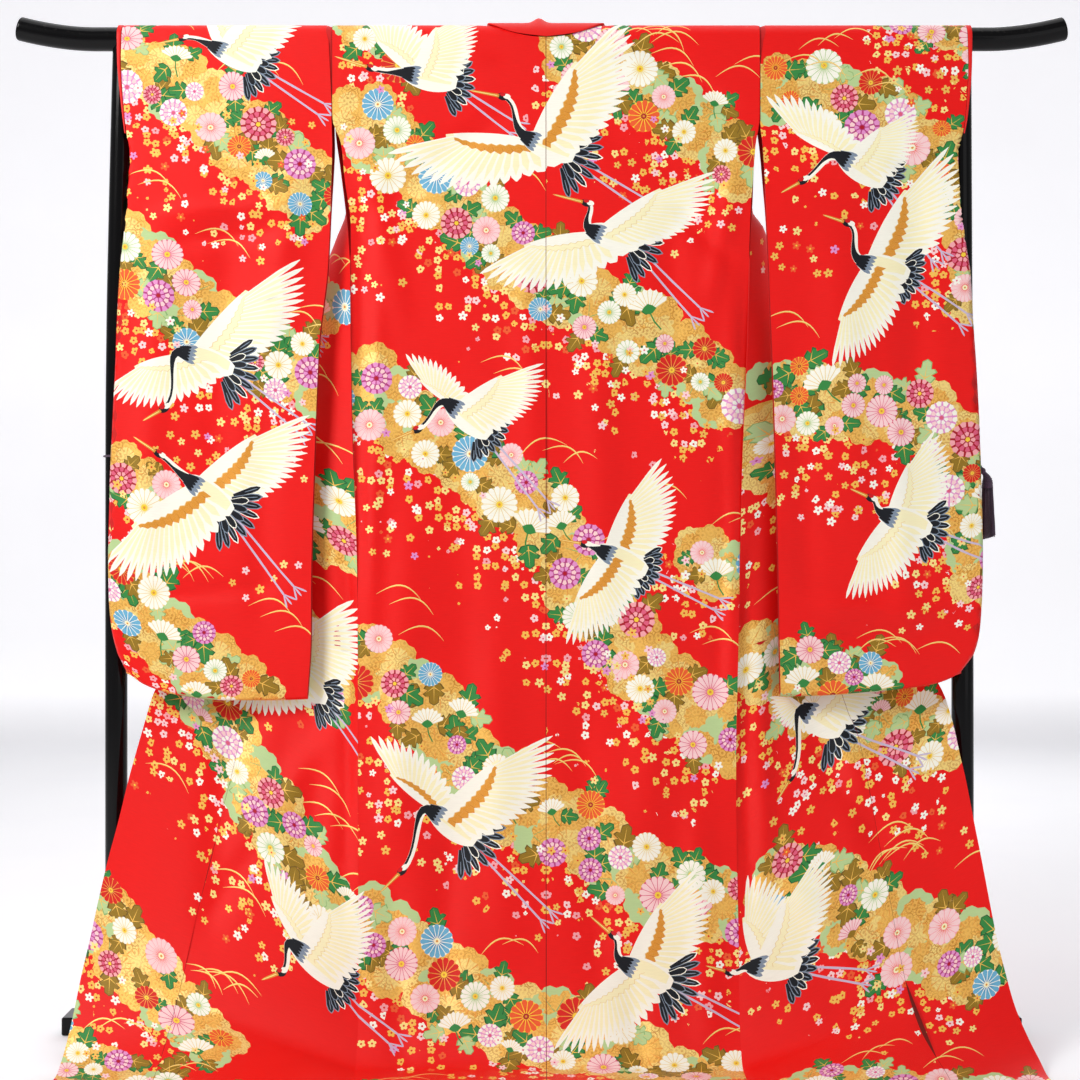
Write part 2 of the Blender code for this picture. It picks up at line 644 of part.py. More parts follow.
def collar_lines():
    """Return the collar's seam line and its directions, from the left end to the right end."""
    halves = {}
    for side in SIDES:
        rows = np.concatenate((np.linspace(0.0, QUARTER, 5)[1:], (0.070, 0.120, 0.180, 0.250, 0.330, 0.420,
                                                               0.510, 0.600, 0.690, 0.780, 0.870, COLLAR_END)))
        outer, inner = front_edges(side, rows)
        folds = curve(FRONT_FOLDS, rows)
        heading = np.empty_like(inner)
        for index in range(len(rows)):
            dense = cross_section(outer[index], inner[index], folds[index], column_of(side))
            step = dense[-1] - dense[-7]
            heading[index] = step / np.linalg.norm(step)
        along = np.gradient(inner, axis=0)
        along /= np.linalg.norm(along, axis=1)[:, None]
        heading -= (heading * along).sum(axis=1)[:, None] * along
        heading /= np.linalg.norm(heading, axis=1)[:, None]
        halves[side] = (rows, inner, heading)
    return halves


def pinch(x, reached):
    """Return how far the collar stands up in the small pinch behind the neck."""
    place, height, width, length = COLLAR_PINCH
    return height * np.exp(-((x - place) / width) ** 2 - ((reached - 0.002) / length) ** 2)


def build_collar():
    """Build the collar: one band over the bar behind the neck and down both fronts' inner edges."""
    halves = collar_lines()
    shares = np.linspace(0.0, 1.0, COLLAR_STEPS + 1)
    strips = []
    for side, sign in SIDES.items():
        rows, seam, heading = halves[side]
        down = rows > QUARTER + 0.001
        width = COLLAR_WIDTH + (COLLAR_END_WIDTH - COLLAR_WIDTH) * rows[down] / COLLAR_END
        first = seam[down] + heading[down] * (GAP + 0.0012)
        band = first[:, None, :] + heading[down][:, None, :] * (shares[None, :] * width[:, None])[:, :, None]
        band[:, :, 0] *= sign
        strips.append(band)
    places = np.array(NECK_PLACES)
    places = np.concatenate((-places[:0:-1], places))
    seam_x, seam_t, fold_x, fold_t = curve(NECK_COLLAR, np.abs(places)).T
    turn = np.sign(places)
    x = turn[:, None] * (seam_x[:, None] + (fold_x - seam_x)[:, None] * shares[None, :])
    reached = seam_t[:, None] + (fold_t - seam_t)[:, None] * shares[None, :]
    rise = MIDDLE + COLLAR_LIFT + pinch(x, reached)
    angle = np.minimum(reached / rise, math.pi / 2)
    below = np.maximum(reached - rise * math.pi / 2, 0.0)
    neck = np.stack((x, rise * np.sin(angle), BAR_Z + rise * np.cos(angle) - below), axis=2)
    whole = np.concatenate((strips[0][::-1], neck, strips[1]))
    index = np.arange(whole.shape[0] * whole.shape[1]).reshape(whole.shape[:2])
    cloth_object("collar", whole.reshape(-1, 3), grid_faces(index[:, ::-1]), "right", COLLAR_WALL)


def ring(centre, across, up, radius, sides):
    """Return the points of a circle around a centre, spanned by two unit directions."""
    angles = np.arange(sides) * 2 * math.pi / sides
    return centre + radius * (np.cos(angles)[:, None] * across + np.sin(angles)[:, None] * up)


def turned_object(name, rings, colour, roughness, metallic=0.0, closed=False):
    """Make a closed body from rings of points, with a flat cap on each end unless it is a loop."""
    count, sides = len(rings), len(rings[0])
    points = np.concatenate(rings)
    points[:, 1] += Y_SHIFT
    faces = []
    last = count if closed else count - 1
    for row in range(last):
        below = (row + 1) % count
        for step in range(sides):
            after = (step + 1) % sides
            faces.append((row * sides + step, row * sides + after, below * sides + after, below * sides + step))
    if not closed:
        faces.append(tuple(range(sides))[::-1])
        faces.append(tuple((count - 1) * sides + step for step in range(sides)))
    mesh = bpy.data.meshes.new(name)
    mesh.from_pydata(points.tolist(), [], faces)
    mesh.update()
    made = bpy.data.objects.new(name, mesh)
    bpy.context.scene.collection.objects.link(made)
    mesh.materials.append(material(name.split("_")[0], colour, roughness, metallic))
    mesh.shade_smooth()
    mesh.set_sharp_from_angle(angle=math.radians(40))
    return made


def bar_height(x):
    """Return the height of the crossbar's axis: level, with its two ends swept up."""
    past = max(abs(x) - BAR_STRAIGHT, 0.0) / (BAR_HALF - BAR_STRAIGHT)
    return BAR_Z + BAR_RISE * past ** 1.8


def build_crossbar():
    """Build the round bar with upswept ends and softly rounded tips."""
    ends = (0.700, 0.724, 0.746, 0.766, 0.785, 0.800, 0.811)
    tips = ((0.8155, 0.985), (0.8180, 0.930), (BAR_HALF, 0.840))
    right = [(x, 1.0) for x in (0.0, 0.35) + ends] + list(tips)
    stations = [(-x, scale) for x, scale in right[:0:-1]] + right
    rings = []
    for x, scale in stations:
        lean = (bar_height(x + 0.001) - bar_height(x - 0.001)) / 0.002
        along = np.array((1.0, 0.0, lean)) / math.hypot(1.0, lean)
        up = np.array((-along[2], 0.0, along[0]))
        centre = np.array((x, 0.0, bar_height(x)))
        rings.append(ring(centre, np.array((0.0, 1.0, 0.0)), up, BAR_RADIUS * scale, BAR_SIDES))
    turned_object("crossbar", rings, LACQUER, 0.12)


def build_post(side):
    """Build a round post that meets the crossbar's underside in a saddle."""
    sign = SIDES[side]
    table = POST_LINES[side]
    heights = [z for z, _ in table] + [BAR_Z]
    rings = []
    for z in heights:
        x = float(curve(table, [min(z, table[-1][0])])[0, 0])
        centre = np.array((sign * x, 0.0, z))
        rings.append(ring(centre, np.array((1.0, 0.0, 0.0)), np.array((0.0, 1.0, 0.0)), POST_RADIUS, POST_SIDES))
    post = turned_object("post_" + side, rings, LACQUER, 0.12)
    bpy.ops.mesh.primitive_cylinder_add(vertices=48, radius=BAR_RADIUS + GAP + 0.0001, depth=0.2,
                                        location=(sign * 0.655, Y_SHIFT, BAR_Z),
                                        rotation=(0.0, math.pi / 2, 0.0))
    cutter = bpy.context.object
    cutter.name = "saddle_cutter_" + side
    cutter.hide_render = True
    cutter.display_type = "WIRE"
    cut = post.modifiers.new("saddle", "BOOLEAN")
    cut.operation = "DIFFERENCE"
    cut.solver = "EXACT"
    cut.object = cutter


def build_foot(side):
    """Build a cross-shaped foot with a small bevel, flat underneath."""
    sign = SIDES[side]
    post_x = POST_LINES[side][0][1]
    half = FOOT_DEPTH / 2
    outline = [
        (FOOT_OUT, -half), (FOOT_OUT, half), (post_x + half, half), (post_x + half, FOOT_BACK),
        (post_x - half, FOOT_BACK), (post_x - half, half), (FOOT_IN, half), (FOOT_IN, -half),
        (post_x - half, -half), (post_x - half, FOOT_FRONT), (post_x + half, FOOT_FRONT), (post_x + half, -half),
    ]
    count = len(outline)
    points = [(sign * x, y + Y_SHIFT, z) for z in (0.0, FOOT_HEIGHT) for x, y in outline]
    under = tuple(range(count))
    top = tuple(range(count, 2 * count))
    faces = [under[::-1], top]
    for step in range(count):
        after = (step + 1) % count
        faces.append((step, after, count + after, count + step))
    if sign < 0:
        faces = [face[::-1] for face in faces]
    name = "foot_" + side
    mesh = bpy.data.meshes.new(name)
    mesh.from_pydata(points, [], faces)
    mesh.update()
    made = bpy.data.objects.new(name, mesh)
    bpy.context.scene.collection.objects.link(made)
    mesh.materials.append(material("foot", LACQUER, 0.15))
    bevel = made.modifiers.new("edges", "BEVEL")
    bevel.width = 0.0025
    bevel.segments = 2
    bevel.limit_method = "ANGLE"
    bevel.angle_limit = math.radians(40)


def post_centre(side, z):
    """Return the distance of a post's axis from the stand's middle at a height."""
    return SIDES[side] * float(curve(POST_LINES[side], [z])[0, 0])


def build_cord(side):
    """Build the thin cord that is tied round a post, as a closed ring."""
    height = CORD_HEIGHT[side]
    radius = POST_RADIUS + GAP + CORD_RADIUS
    middle = np.array((post_centre(side, height), 0.0, height))
    rings = []
    steps = 32
    for step in range(steps):
        angle = 2 * math.pi * step / steps
        out = np.array((math.cos(angle), math.sin(angle), 0.0))
        up = np.array((0.0, 0.0, 1.0))
        rings.append(ring(middle + radius * out, out, up, CORD_RADIUS, 6)[::-1])
    turned_object("cord_ring_" + side, rings, PURPLE, 0.8, closed=True)


def build_tassel():
    """Build the tassel: its knotted cord, a head, and strands fused into the head."""
    rings = []
    for x, z, radius, slope in TASSEL_CORD:
        down = math.radians(slope)
        across = np.array((math.sin(down), 0.0, math.cos(down)))
        rings.append(ring(np.array((x, 0.0, z)), across, np.array((0.0, 1.0, 0.0)), radius, TASSEL_SIDES)[::-1])
    head = turned_object("tassel_right", rings, PURPLE, 0.85)
    points = []
    faces = []
    golden = math.pi * (3 - math.sqrt(5))
    for strand in range(TASSEL_STRANDS):
        share = math.sqrt((strand + 0.5) / TASSEL_STRANDS)
        angle = strand * golden
        root = np.array((TASSEL_X + 0.0072 * share * math.cos(angle), 0.0072 * share * math.sin(angle),
                         TASSEL_TOP - TASSEL_HEAD + 0.0030))
        spread = 1.0 + 0.42 * share
        low = TASSEL_TOP - TASSEL_LENGTH + 0.006 * math.sin(strand * 2.1) + 0.35 * (root[0] - TASSEL_X)
        tip = np.array((TASSEL_X + (root[0] - TASSEL_X) * spread + 0.001, root[1] * spread, low))
        for level, (at, size) in enumerate(((root, 0.0007), (tip, 0.0008))):
            for corner in range(3):
                turn = angle + corner * 2 * math.pi / 3
                points.append((at[0] + size * math.cos(turn), at[1] + size * math.sin(turn) + Y_SHIFT, at[2]))
        base = strand * 6
        faces.append((base, base + 1, base + 2))
        faces.append((base + 5, base + 4, base + 3))
        for corner in range(3):
            after = (corner + 1) % 3
            faces.append((base + corner, base + 3 + corner, base + 3 + after, base + after))
    mesh = bpy.data.meshes.new("strands")
    mesh.from_pydata(points, [], faces)
    mesh.update()
    strands = bpy.data.objects.new("strands", mesh)
    bpy.context.scene.collection.objects.link(strands)
    strands.hide_render = True
    strands.display_type = "WIRE"
    join = head.modifiers.new("strands", "BOOLEAN")
    join.operation = "UNION"
    join.solver = "EXACT"
    join.use_self = True
    join.object = strands


def main():
    """Build the stand, the garment and the tassel."""
    clear_scene()
    build_crossbar()
    for side in SIDES:
        build_post(side)
        build_foot(side)
        build_cord(side)
        build_body(side)
        build_sleeve(side)
    build_collar()
    build_tassel()


main()
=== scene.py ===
"""Looks of an uchikake wedding kimono that hangs from the crossbar of a black lacquered stand.

The CAD frame gives every piece its place. The garment's cloth is made again here from the same sizes as its solids:
a panel is a table of points over the distance across and along the cloth, a woven picture is drawn flat on it, and
the two become one closed shell whose faces carry the colours of their threads.
"""

from __future__ import annotations

import logging
import math
from collections.abc import Callable, Sequence
from dataclasses import dataclass, field
from enum import Enum

import bpy
import numpy as np
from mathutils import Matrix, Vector
from mathutils.geometry import delaunay_2d_cdt

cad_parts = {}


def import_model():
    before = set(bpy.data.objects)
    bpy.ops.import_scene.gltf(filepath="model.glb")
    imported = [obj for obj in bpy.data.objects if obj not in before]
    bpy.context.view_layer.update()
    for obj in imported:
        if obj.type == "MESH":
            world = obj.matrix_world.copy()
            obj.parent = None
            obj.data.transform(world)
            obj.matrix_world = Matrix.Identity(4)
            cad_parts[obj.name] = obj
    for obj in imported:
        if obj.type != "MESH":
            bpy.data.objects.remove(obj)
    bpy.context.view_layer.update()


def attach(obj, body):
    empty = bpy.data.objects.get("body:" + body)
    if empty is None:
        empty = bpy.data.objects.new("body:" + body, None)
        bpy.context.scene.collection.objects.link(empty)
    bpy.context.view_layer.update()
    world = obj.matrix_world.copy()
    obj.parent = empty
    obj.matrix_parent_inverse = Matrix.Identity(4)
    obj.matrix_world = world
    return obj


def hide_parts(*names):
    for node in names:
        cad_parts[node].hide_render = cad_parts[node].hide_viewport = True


LOG = logging.getLogger("kimono")


def tenths(*rows: Sequence[int]) -> np.ndarray:
    """Return a table in metres from rows in tenths of a millimetre, and its shares from ten-thousandths."""
    return np.array(rows) / 10000


def columns(*parts: np.ndarray | float) -> np.ndarray:
    """Return points from their coordinates, any of which may be one number for all."""
    return np.stack(np.broadcast_arrays(*parts), axis=-1)


def unit(vectors: np.ndarray) -> np.ndarray:
    """Return vectors, along the last axis, made one long."""
    return vectors / np.maximum(np.linalg.norm(vectors, axis=-1, keepdims=True), 1e-12)


GAP = 0.0003
SEAM_LINE = 0.0006
CLOTH = 0.0020
EDGING = 0.0026
COLLAR_WALL = 0.0030

Y_SHIFT = 0.1312
GARMENT_X = 0.0066

BAR_RADIUS = 0.0185
BAR_Z = 1.5537

LENGTH = 1.860
SHOULDER = 0.3330
NECK = 0.0950
NECK_DEPTH = 0.0335
MIDDLE = BAR_RADIUS + 0.0009 + CLOTH / 2
QUARTER = MIDDLE * math.pi / 2
SIDE_SEAM_TOP = 0.380
OKUMI_TOP = 0.290
COLLAR_END = 0.950
OKUMI_WIDTH = 0.155
FULL_FRONT = 0.360
COLLAR_WIDTH = 0.055
COLLAR_END_WIDTH = 0.070
COLLAR_LIFT = 0.0031
COLLAR_PINCH = (-0.0110, 0.0085, 0.0100, 0.0130)
MOUTH = 0.200
POUCH = 0.0040
RIM_STEPS = 6

BACK_DROP = tenths(
    # y, z
    (-203, 15537), (-208, 14000), (-225, 12000), (-300, 9000), (-420, 6800), (-600, 4800), (-850, 3300),
    (-1180, 2000), (-1500, 1050), (-1900, 350), (-2350, 10), (-3400, 10), (-5200, 10),
)
BACK_EDGE = tenths(
    # distance from the shoulder fold, half width left, right
    (0, 3330, 3330), (1600, 3325, 3325), (2000, 3190, 3265), (2620, 3125, 3215), (2910, 3080, 3190),
    (3250, 3040, 3175), (4100, 3035, 3150), (5060, 3025, 3125), (6000, 3013, 3080), (7000, 2978, 3035),
    (8600, 2915, 2995), (10200, 2890, 2945), (11500, 2875, 2905), (13100, 2845, 2890), (14300, 2810, 2880),
    (16000, 2765, 2840), (18600, 2750, 2840),
)
ARMHOLE_EDGE = tenths(
    # distance from the shoulder fold, y, x left, x right
    (0, 0, 3330, 3330), (600, 205, 3330, 3330), (1600, 210, 3325, 3325), (2300, 150, 3235, 3270),
    (2900, 30, 3145, 3230), (3400, -120, 3080, 3185), (3800, -222, 3050, 3165),
)
INNER_EDGE = tenths(
    # z, y, x left, x right
    (14550, 340, 1420, 1420), (13000, 560, 2180, 2180), (11500, 720, 2960, 2960), (10000, 800, 3740, 3740),
    (8500, 740, 4500, 4520), (7000, 550, 5260, 5320), (6000, 320, 5780, 5850), (5200, 20, 6185, 6268),
    (4800, -260, 6250, 6334), (4400, -420, 6337, 6390), (4000, -540, 6425, 6460), (3400, -740, 6535, 6538),
    (2800, -920, 6663, 6622), (2200, -1100, 6770, 6700), (1700, -1270, 6845, 6766), (1200, -1480, 6925, 6850),
    (800, -1690, 6965, 6925), (400, -1980, 7000, 7050), (120, -2320, 7020, 7150), (10, -2750, 7010, 7165),
    (10, -4500, 7000, 7185),
)
FRONT_FOLDS = tenths(
    # distance from the shoulder fold, outer handle x left, x right, y, inner handle x left, x right, y
    (0, 0, 0, 0, 0, 0, 0), (600, 0, 0, 0, 0, 0, 0), (1500, 50, 50, 20, -30, -30, 60),
    (2400, 200, 220, 160, 80, 100, 200), (3000, 400, 480, 260, 300, 380, 300),
    (3300, 660, 860, 320, 520, 800, 400), (3600, 800, 940, 350, 720, 900, 480),
    (4300, 960, 960, 340, 980, 1000, 520), (5000, 960, 960, 230, 1100, 1100, 420),
    (6000, 740, 740, 90, 1020, 1020, 300), (7000, 500, 500, -40, 870, 870, -60),
    (8000, 260, 260, -120, 510, 510, -220), (9500, 0, 0, -40, 160, 160, -100),
    (11000, -70, -70, 120, -20, -20, 210), (12000, -80, -80, 130, 80, 80, 170), (13500, 0, 0, 40, 0, 0, 80),
    (15000, 0, 0, -120, 0, 0, 100), (17000, 0, 0, 0, 0, 0, 0), (19000, 0, 0, 0, 0, 0, 0),
)
SLEEVE_INNER = tenths(
    # share of the drop, z, x left, x right
    (0, 15537, 3334, 3334), (1500, 14160, 3334, 3334), (1800, 13830, 3325, 3370), (2600, 12970, 3335, 3405),
    (3600, 11880, 3380, 3455), (4000, 11420, 3430, 3470), (4600, 10800, 3505, 3495), (5800, 9550, 3560, 3535),
    (6900, 8310, 3600, 3567), (7900, 7220, 3625, 3590), (9000, 6140, 3630, 3604), (10000, 5240, 3680, 3616),
)
SLEEVE_OUTER = tenths(
    # share of the drop, z, x left, x right
    (0, 15537, 6686, 6640), (600, 15130, 6676, 6632), (850, 14870, 6655, 6620), (1050, 14680, 6635, 6602),
    (1500, 14230, 6580, 6550), (1880, 13870, 6525, 6475), (2080, 13650, 6490, 6430), (2350, 13370, 6505, 6440),
    (2850, 12860, 6545, 6470), (3350, 12330, 6575, 6534), (3850, 11800, 6612, 6580), (4600, 11000, 6655, 6625),
    (5150, 10440, 6672, 6665), (6000, 9500, 6715, 6710), (6900, 8500, 6750, 6738), (7800, 7500, 6768, 6755),
    (8600, 6700, 6752, 6735), (9150, 6250, 6705, 6700), (9550, 5930, 6625, 6620), (10000, 5630, 6480, 6410),
)
SLEEVE_BOTTOM = tenths(
    # share of the width, z left, z right
    (0, 5240, 5280), (2000, 5222, 5290), (4500, 5222, 5340), (7000, 5290, 5400), (8600, 5400, 5470),
    (9400, 5500, 5540), (10000, 5630, 5626),
)
SLEEVE_DEPTH = tenths(
    # z, near y, far y
    (15537, -203, 203), (14500, -245, 210), (14100, -275, 215), (13850, -295, 190), (13500, -320, 80),
    (13200, -335, -30), (12900, -345, -140), (12600, -350, -200), (12000, -355, -213), (9000, -405, -250),
    (5200, -490, -345),
)
FAR_INSET = tenths(
    # z, left, right
    (15537, 0, 0), (14500, 20, 20), (14150, 60, 120), (13850, 100, 200), (13500, 110, 190), (13000, 110, 190),
    (12650, 90, 190), (12300, 30, 80), (11900, 0, 0),
)
NECK_COLLAR = tenths(
    # place, seam x, seam t, folded edge x, folded edge t
    (0, 0, -385, 0, 255), (3500, 450, -325, 120, 280), (6000, 750, -205, 240, 360), (8000, 920, -20, 340, 480),
    (9000, 930, 180, 400, 620), (10000, 940, 390, 480, 780),
)


class Side(Enum):
    """The garment's two halves, seen from its back."""

    LEFT = -1
    RIGHT = 1

    @property
    def word(self) -> str:
        """Return the half's name as the CAD nodes spell it."""
        return self.name.lower()

    @property
    def column(self) -> int:
        """Return the half's column in a table: 0 for left, 1 for right."""
        return 0 if self is Side.LEFT else 1


def slopes(x: np.ndarray, y: np.ndarray) -> np.ndarray:
    """Return tangents of a smooth curve that never overshoots its points: the harmonic mean of two secants."""
    secants = np.diff(y, axis=0) / np.diff(x)[:, None]
    before, after = secants[:-1], secants[1:]
    total = before + after
    safe = np.where(np.abs(total) < 1e-12, 1.0, total)
    middle = np.where(before * after > 0, 2 * (before * after) / safe, 0.0)
    return np.concatenate((secants[:1], middle, secants[-1:]))


def curve(table: Sequence, at: np.ndarray | Sequence[float]) -> np.ndarray:
    """Read a table's columns along a cubic Hermite curve.

    Args:
        table: rows whose first column is the place.
        at: the places to read.

    Returns:
        One row of values for each place.
    """
    data = np.array(table, dtype=float)
    if data[0, 0] > data[-1, 0]:
        data = data[::-1]
    x, y = data[:, 0], data[:, 1:]
    at = np.clip(np.atleast_1d(np.asarray(at, dtype=float)), x[0], x[-1])
    tangents = slopes(x, y)
    place = np.clip(np.searchsorted(x, at, side="right") - 1, 0, len(x) - 2)
    width = (x[place + 1] - x[place])[:, None]
    share = (at - x[place])[:, None] / width
    square = share * share
    cube = square * share
    return ((2 * cube - 3 * square + 1) * y[place] + (cube - 2 * square + share) * width * tangents[place]
            + (3 * square - 2 * cube) * y[place + 1] + (cube - square) * width * tangents[place + 1])


def lengths(points: np.ndarray) -> np.ndarray:
    """Return the distance along a polyline at each of its points, starting at 0."""
    steps = np.linalg.norm(np.diff(points, axis=0), axis=1)
    return np.concatenate(([0.0], np.cumsum(steps)))


def by_length(points: np.ndarray, at: np.ndarray) -> np.ndarray:
    """Return the points at the distances `at` along a dense polyline."""
    reached = lengths(points)
    return np.stack([np.interp(at, reached, points[:, axis]) for axis in range(points.shape[1])], axis=1)


def knots(points: Sequence, count: int = 24) -> np.ndarray:
    """Return a dense smooth curve through points, spaced by the square root of their distances."""
    points = np.asarray(points, dtype=float)
    place = np.concatenate(([0.0], np.cumsum(np.sqrt(np.linalg.norm(np.diff(points, axis=0), axis=1)))))
    dense = np.concatenate([np.linspace(a, b, count, endpoint=False) for a, b in zip(place, place[1:])])
    return curve(np.column_stack((place, points)), np.append(dense, place[-1]))


def blend(value: np.ndarray) -> np.ndarray:
    """Return a smooth 0-to-1 step: 3 v^2 - 2 v^3."""
    value = np.clip(value, 0.0, 1.0)
    return value * value * (3 - 2 * value)


def over_bar(distance: np.ndarray) -> tuple[np.ndarray, np.ndarray]:
    """Return y and z on the bar's arc: the angle is the distance over the radius of the cloth's middle."""
    angle = distance / MIDDLE
    return -MIDDLE * np.sin(angle), BAR_Z + MIDDLE * np.cos(angle)


def back_profile(rows: np.ndarray) -> tuple[np.ndarray, np.ndarray]:
    """Return y and z of the back at distances from the shoulder fold: the arc, then the drop's curve by length."""
    route = knots([(0.0, y, z) for y, z in BACK_DROP])
    y_arc, z_arc = over_bar(np.minimum(rows, QUARTER))
    hang = by_length(route, np.maximum(rows - QUARTER, 0.0))
    on_bar = rows <= QUARTER
    return np.where(on_bar, y_arc, hang[:, 1]), np.where(on_bar, z_arc, hang[:, 2])


def back_edge(side: Side, along: np.ndarray) -> np.ndarray:
    """Return the back's half width at distances from the shoulder fold."""
    return curve(BACK_EDGE, along)[:, side.column]


def inner_route(side: Side) -> np.ndarray:
    """Return the dense route of the front's inner edge: a quarter of the bar's arc, then the hanging edge."""
    arc = [(NECK - 0.0005 * a, MIDDLE * math.sin(a), BAR_Z + MIDDLE * math.cos(a))
           for a in np.linspace(0.0, math.pi / 2, 7)]
    return knots(np.concatenate((arc, INNER_EDGE[:, (2 + side.column, 1, 0)])), 16)


def front_edges(side: Side, rows: np.ndarray) -> tuple[np.ndarray, np.ndarray]:
    """Return the front's side edge and inner edge at distances from the shoulder fold."""
    outer = columns(back_edge(side, rows) + SEAM_LINE, *back_profile(rows))
    free, arc = rows < SIDE_SEAM_TOP, rows < QUARTER
    armhole = curve(ARMHOLE_EDGE, rows)
    y_arc, z_arc = over_bar(np.minimum(rows, QUARTER))
    y = np.where(arc, -y_arc, np.where(rows < 0.06, MIDDLE, armhole[:, 0]))
    z = np.where(arc, z_arc, BAR_Z - (rows - QUARTER))
    outer[free] = columns(armhole[:, 1 + side.column], y, z)[free]
    return outer, by_length(inner_route(side), rows)


def cross_section(outer: np.ndarray, inner: np.ndarray, folds: np.ndarray, column: int) -> np.ndarray:
    """Return a dense row of the front: a cubic Bezier curve whose two handles the fold table moves.

    Args:
        outer: the row's point at the garment's side.
        inner: its point at the garment's middle.
        folds: its row of the table of folds.
        column: the side's column in that table.
    """
    first = outer + (inner - outer) / 3 + np.array((folds[column], folds[2], 0.0))
    second = outer + (inner - outer) * 2 / 3 + np.array((folds[3 + column], folds[5], 0.0))
    share = np.linspace(0.0, 1.0, 91)[:, None]
    rest = 1 - share
    dense = rest ** 3 * outer + 3 * rest ** 2 * share * first + 3 * rest * share ** 2 * second + share ** 3 * inner
    dense[:, 2] = np.maximum(dense[:, 2], CLOTH / 2)
    return dense


def okumi_width(rows: np.ndarray) -> np.ndarray:
    """Return the overlap panel's width, from nothing at its point to its full width."""
    return OKUMI_WIDTH * np.clip((rows - OKUMI_TOP) / (COLLAR_END - OKUMI_TOP), 0.0, 1.0)


def placed(points: np.ndarray, side: Side) -> np.ndarray:
    """Return a half's points in the frame: mirrored for the left half and moved to the garment's place."""
    moved = np.array(points, dtype=float)
    moved[..., 0] = GARMENT_X + side.value * moved[..., 0]
    moved[..., 1] += Y_SHIFT
    return moved


@dataclass(frozen=True)
class Fold:
    """A soft crease in a panel, a ridge where its height is above 0 and a trough where it is below."""

    start: tuple[float, float]
    end: tuple[float, float]
    height: float
    width: float

    def lift(self, across: np.ndarray, along: np.ndarray) -> np.ndarray:
        """Return the cloth's rise: the height times a bell over the distance from the fold's line, faded at its ends.

        Args:
            across: distances across the cloth.
            along: distances along the cloth.
        """
        run = np.array(self.end) - np.array(self.start)
        length = float(np.linalg.norm(run))
        run /= length
        x, y = across - self.start[0], along - self.start[1]
        way = (x * run[0] + y * run[1]) / length
        off = (y * run[0] - x * run[1]) / self.width
        fade = blend(way / 0.3) * blend((1 - way) / 0.3)
        return self.height * np.exp(-off * off) * fade


def folds(*rows: Sequence[int]) -> tuple[Fold, ...]:
    """Return folds from rows of start, end, height and width: millimetres, and tenths of one for the height."""
    return tuple(Fold((x0 / 1000, y0 / 1000), (x1 / 1000, y1 / 1000), height / 10000, width / 1000)
                 for x0, y0, x1, y1, height, width in rows)


def rise_of(creases: Sequence[Fold], across: np.ndarray, along: np.ndarray) -> np.ndarray:
    """Return the rise of all the creases together at distances across and along the cloth.

    Args:
        creases: the folds.
        across: places across the cloth.
        along: places down the cloth.
    """
    return sum((fold.lift(across, along) for fold in creases), np.zeros_like(across))


def surface_normals(points: np.ndarray) -> np.ndarray:
    """Return unit normals of a grid of points: the cross product of its two gradients."""
    return unit(np.cross(np.gradient(points, axis=1), np.gradient(points, axis=0)))


@dataclass
class Surface:
    """A panel's middle surface: rows of points along the cloth, evenly spaced across it.

    A point is read bilinearly from the row at its distance along and from its share of that row's width. Where the
    panel's edge is rounded off, the last `rim_columns` columns share the row's rim length in the same way.
    """

    along: np.ndarray
    width: np.ndarray
    points: np.ndarray
    facing: tuple[float, float, float]
    rim: np.ndarray | None = None
    rim_columns: int = 0
    normals: np.ndarray = field(init=False)

    def __post_init__(self) -> None:
        """Work out the normals."""
        self.find_normals()

    def find_normals(self) -> None:
        """Set the normals: the cross product of the table's two gradients, turned the way the first rows face."""
        normals = surface_normals(self.points)
        turned = float((normals[len(self.along) // 9] @ np.array(self.facing)).sum())
        self.normals = normals if turned > 0 else -normals

    def places(self) -> tuple[np.ndarray, np.ndarray]:
        """Return the distances across and along of the table's points."""
        main = self.points.shape[1] - self.rim_columns
        across = self.width[:, None] * np.linspace(0.0, 1.0, main)[None, :]
        if self.rim_columns:
            past = self.rim[:, None] * (np.arange(1, self.rim_columns + 1) / self.rim_columns)[None, :]
            across = np.concatenate((across, self.width[:, None] + past), axis=1)
        return across, np.repeat(self.along[:, None], across.shape[1], axis=1)

    def crease(self, creases: Sequence[Fold], before: np.ndarray | float = 0.0) -> None:
        """Raise the surface by the folds along its normals.

        Args:
            creases: the folds, in distances across and along the cloth.
            before: each row's distance across that lies before this panel, for a panel sewn to another.
        """
        across, along = self.places()
        rise = rise_of(creases, across + np.reshape(before, (-1, 1)), along)
        self.points = self.points + self.normals * rise[:, :, None]
        self.find_normals()

    def reach(self, along: np.ndarray) -> np.ndarray:
        """Return how far the panel reaches across at distances along the cloth, its rounded edge included."""
        whole = self.width if self.rim is None else self.width + self.rim
        return np.interp(along, self.along, whole)

    def at(self, across: np.ndarray, along: np.ndarray) -> tuple[np.ndarray, np.ndarray]:
        """Return points and unit normals at distances across and along the cloth."""
        rows, columns = self.points.shape[:2]
        main = columns - 1 - self.rim_columns
        row = np.interp(along, self.along, np.arange(rows))
        width = np.maximum(np.interp(along, self.along, self.width), 1e-6)
        column = np.clip(across / width, 0.0, 1.0) * main
        if self.rim_columns:
            rim = np.maximum(np.interp(along, self.along, self.rim), 1e-6)
            column += np.clip((across - width) / rim, 0.0, 1.0) * self.rim_columns
        first_row = np.minimum(row.astype(int), rows - 2)
        first_column = np.minimum(column.astype(int), columns - 2)
        down = (row - first_row)[:, None]
        right = (column - first_column)[:, None]
        found = []
        for table in (self.points, self.normals):
            upper = table[first_row, first_column] * (1 - right) + table[first_row, first_column + 1] * right
            lower = table[first_row + 1, first_column] * (1 - right) + table[first_row + 1, first_column + 1] * right
            found.append(upper * (1 - down) + lower * down)
        return found[0], unit(found[1])


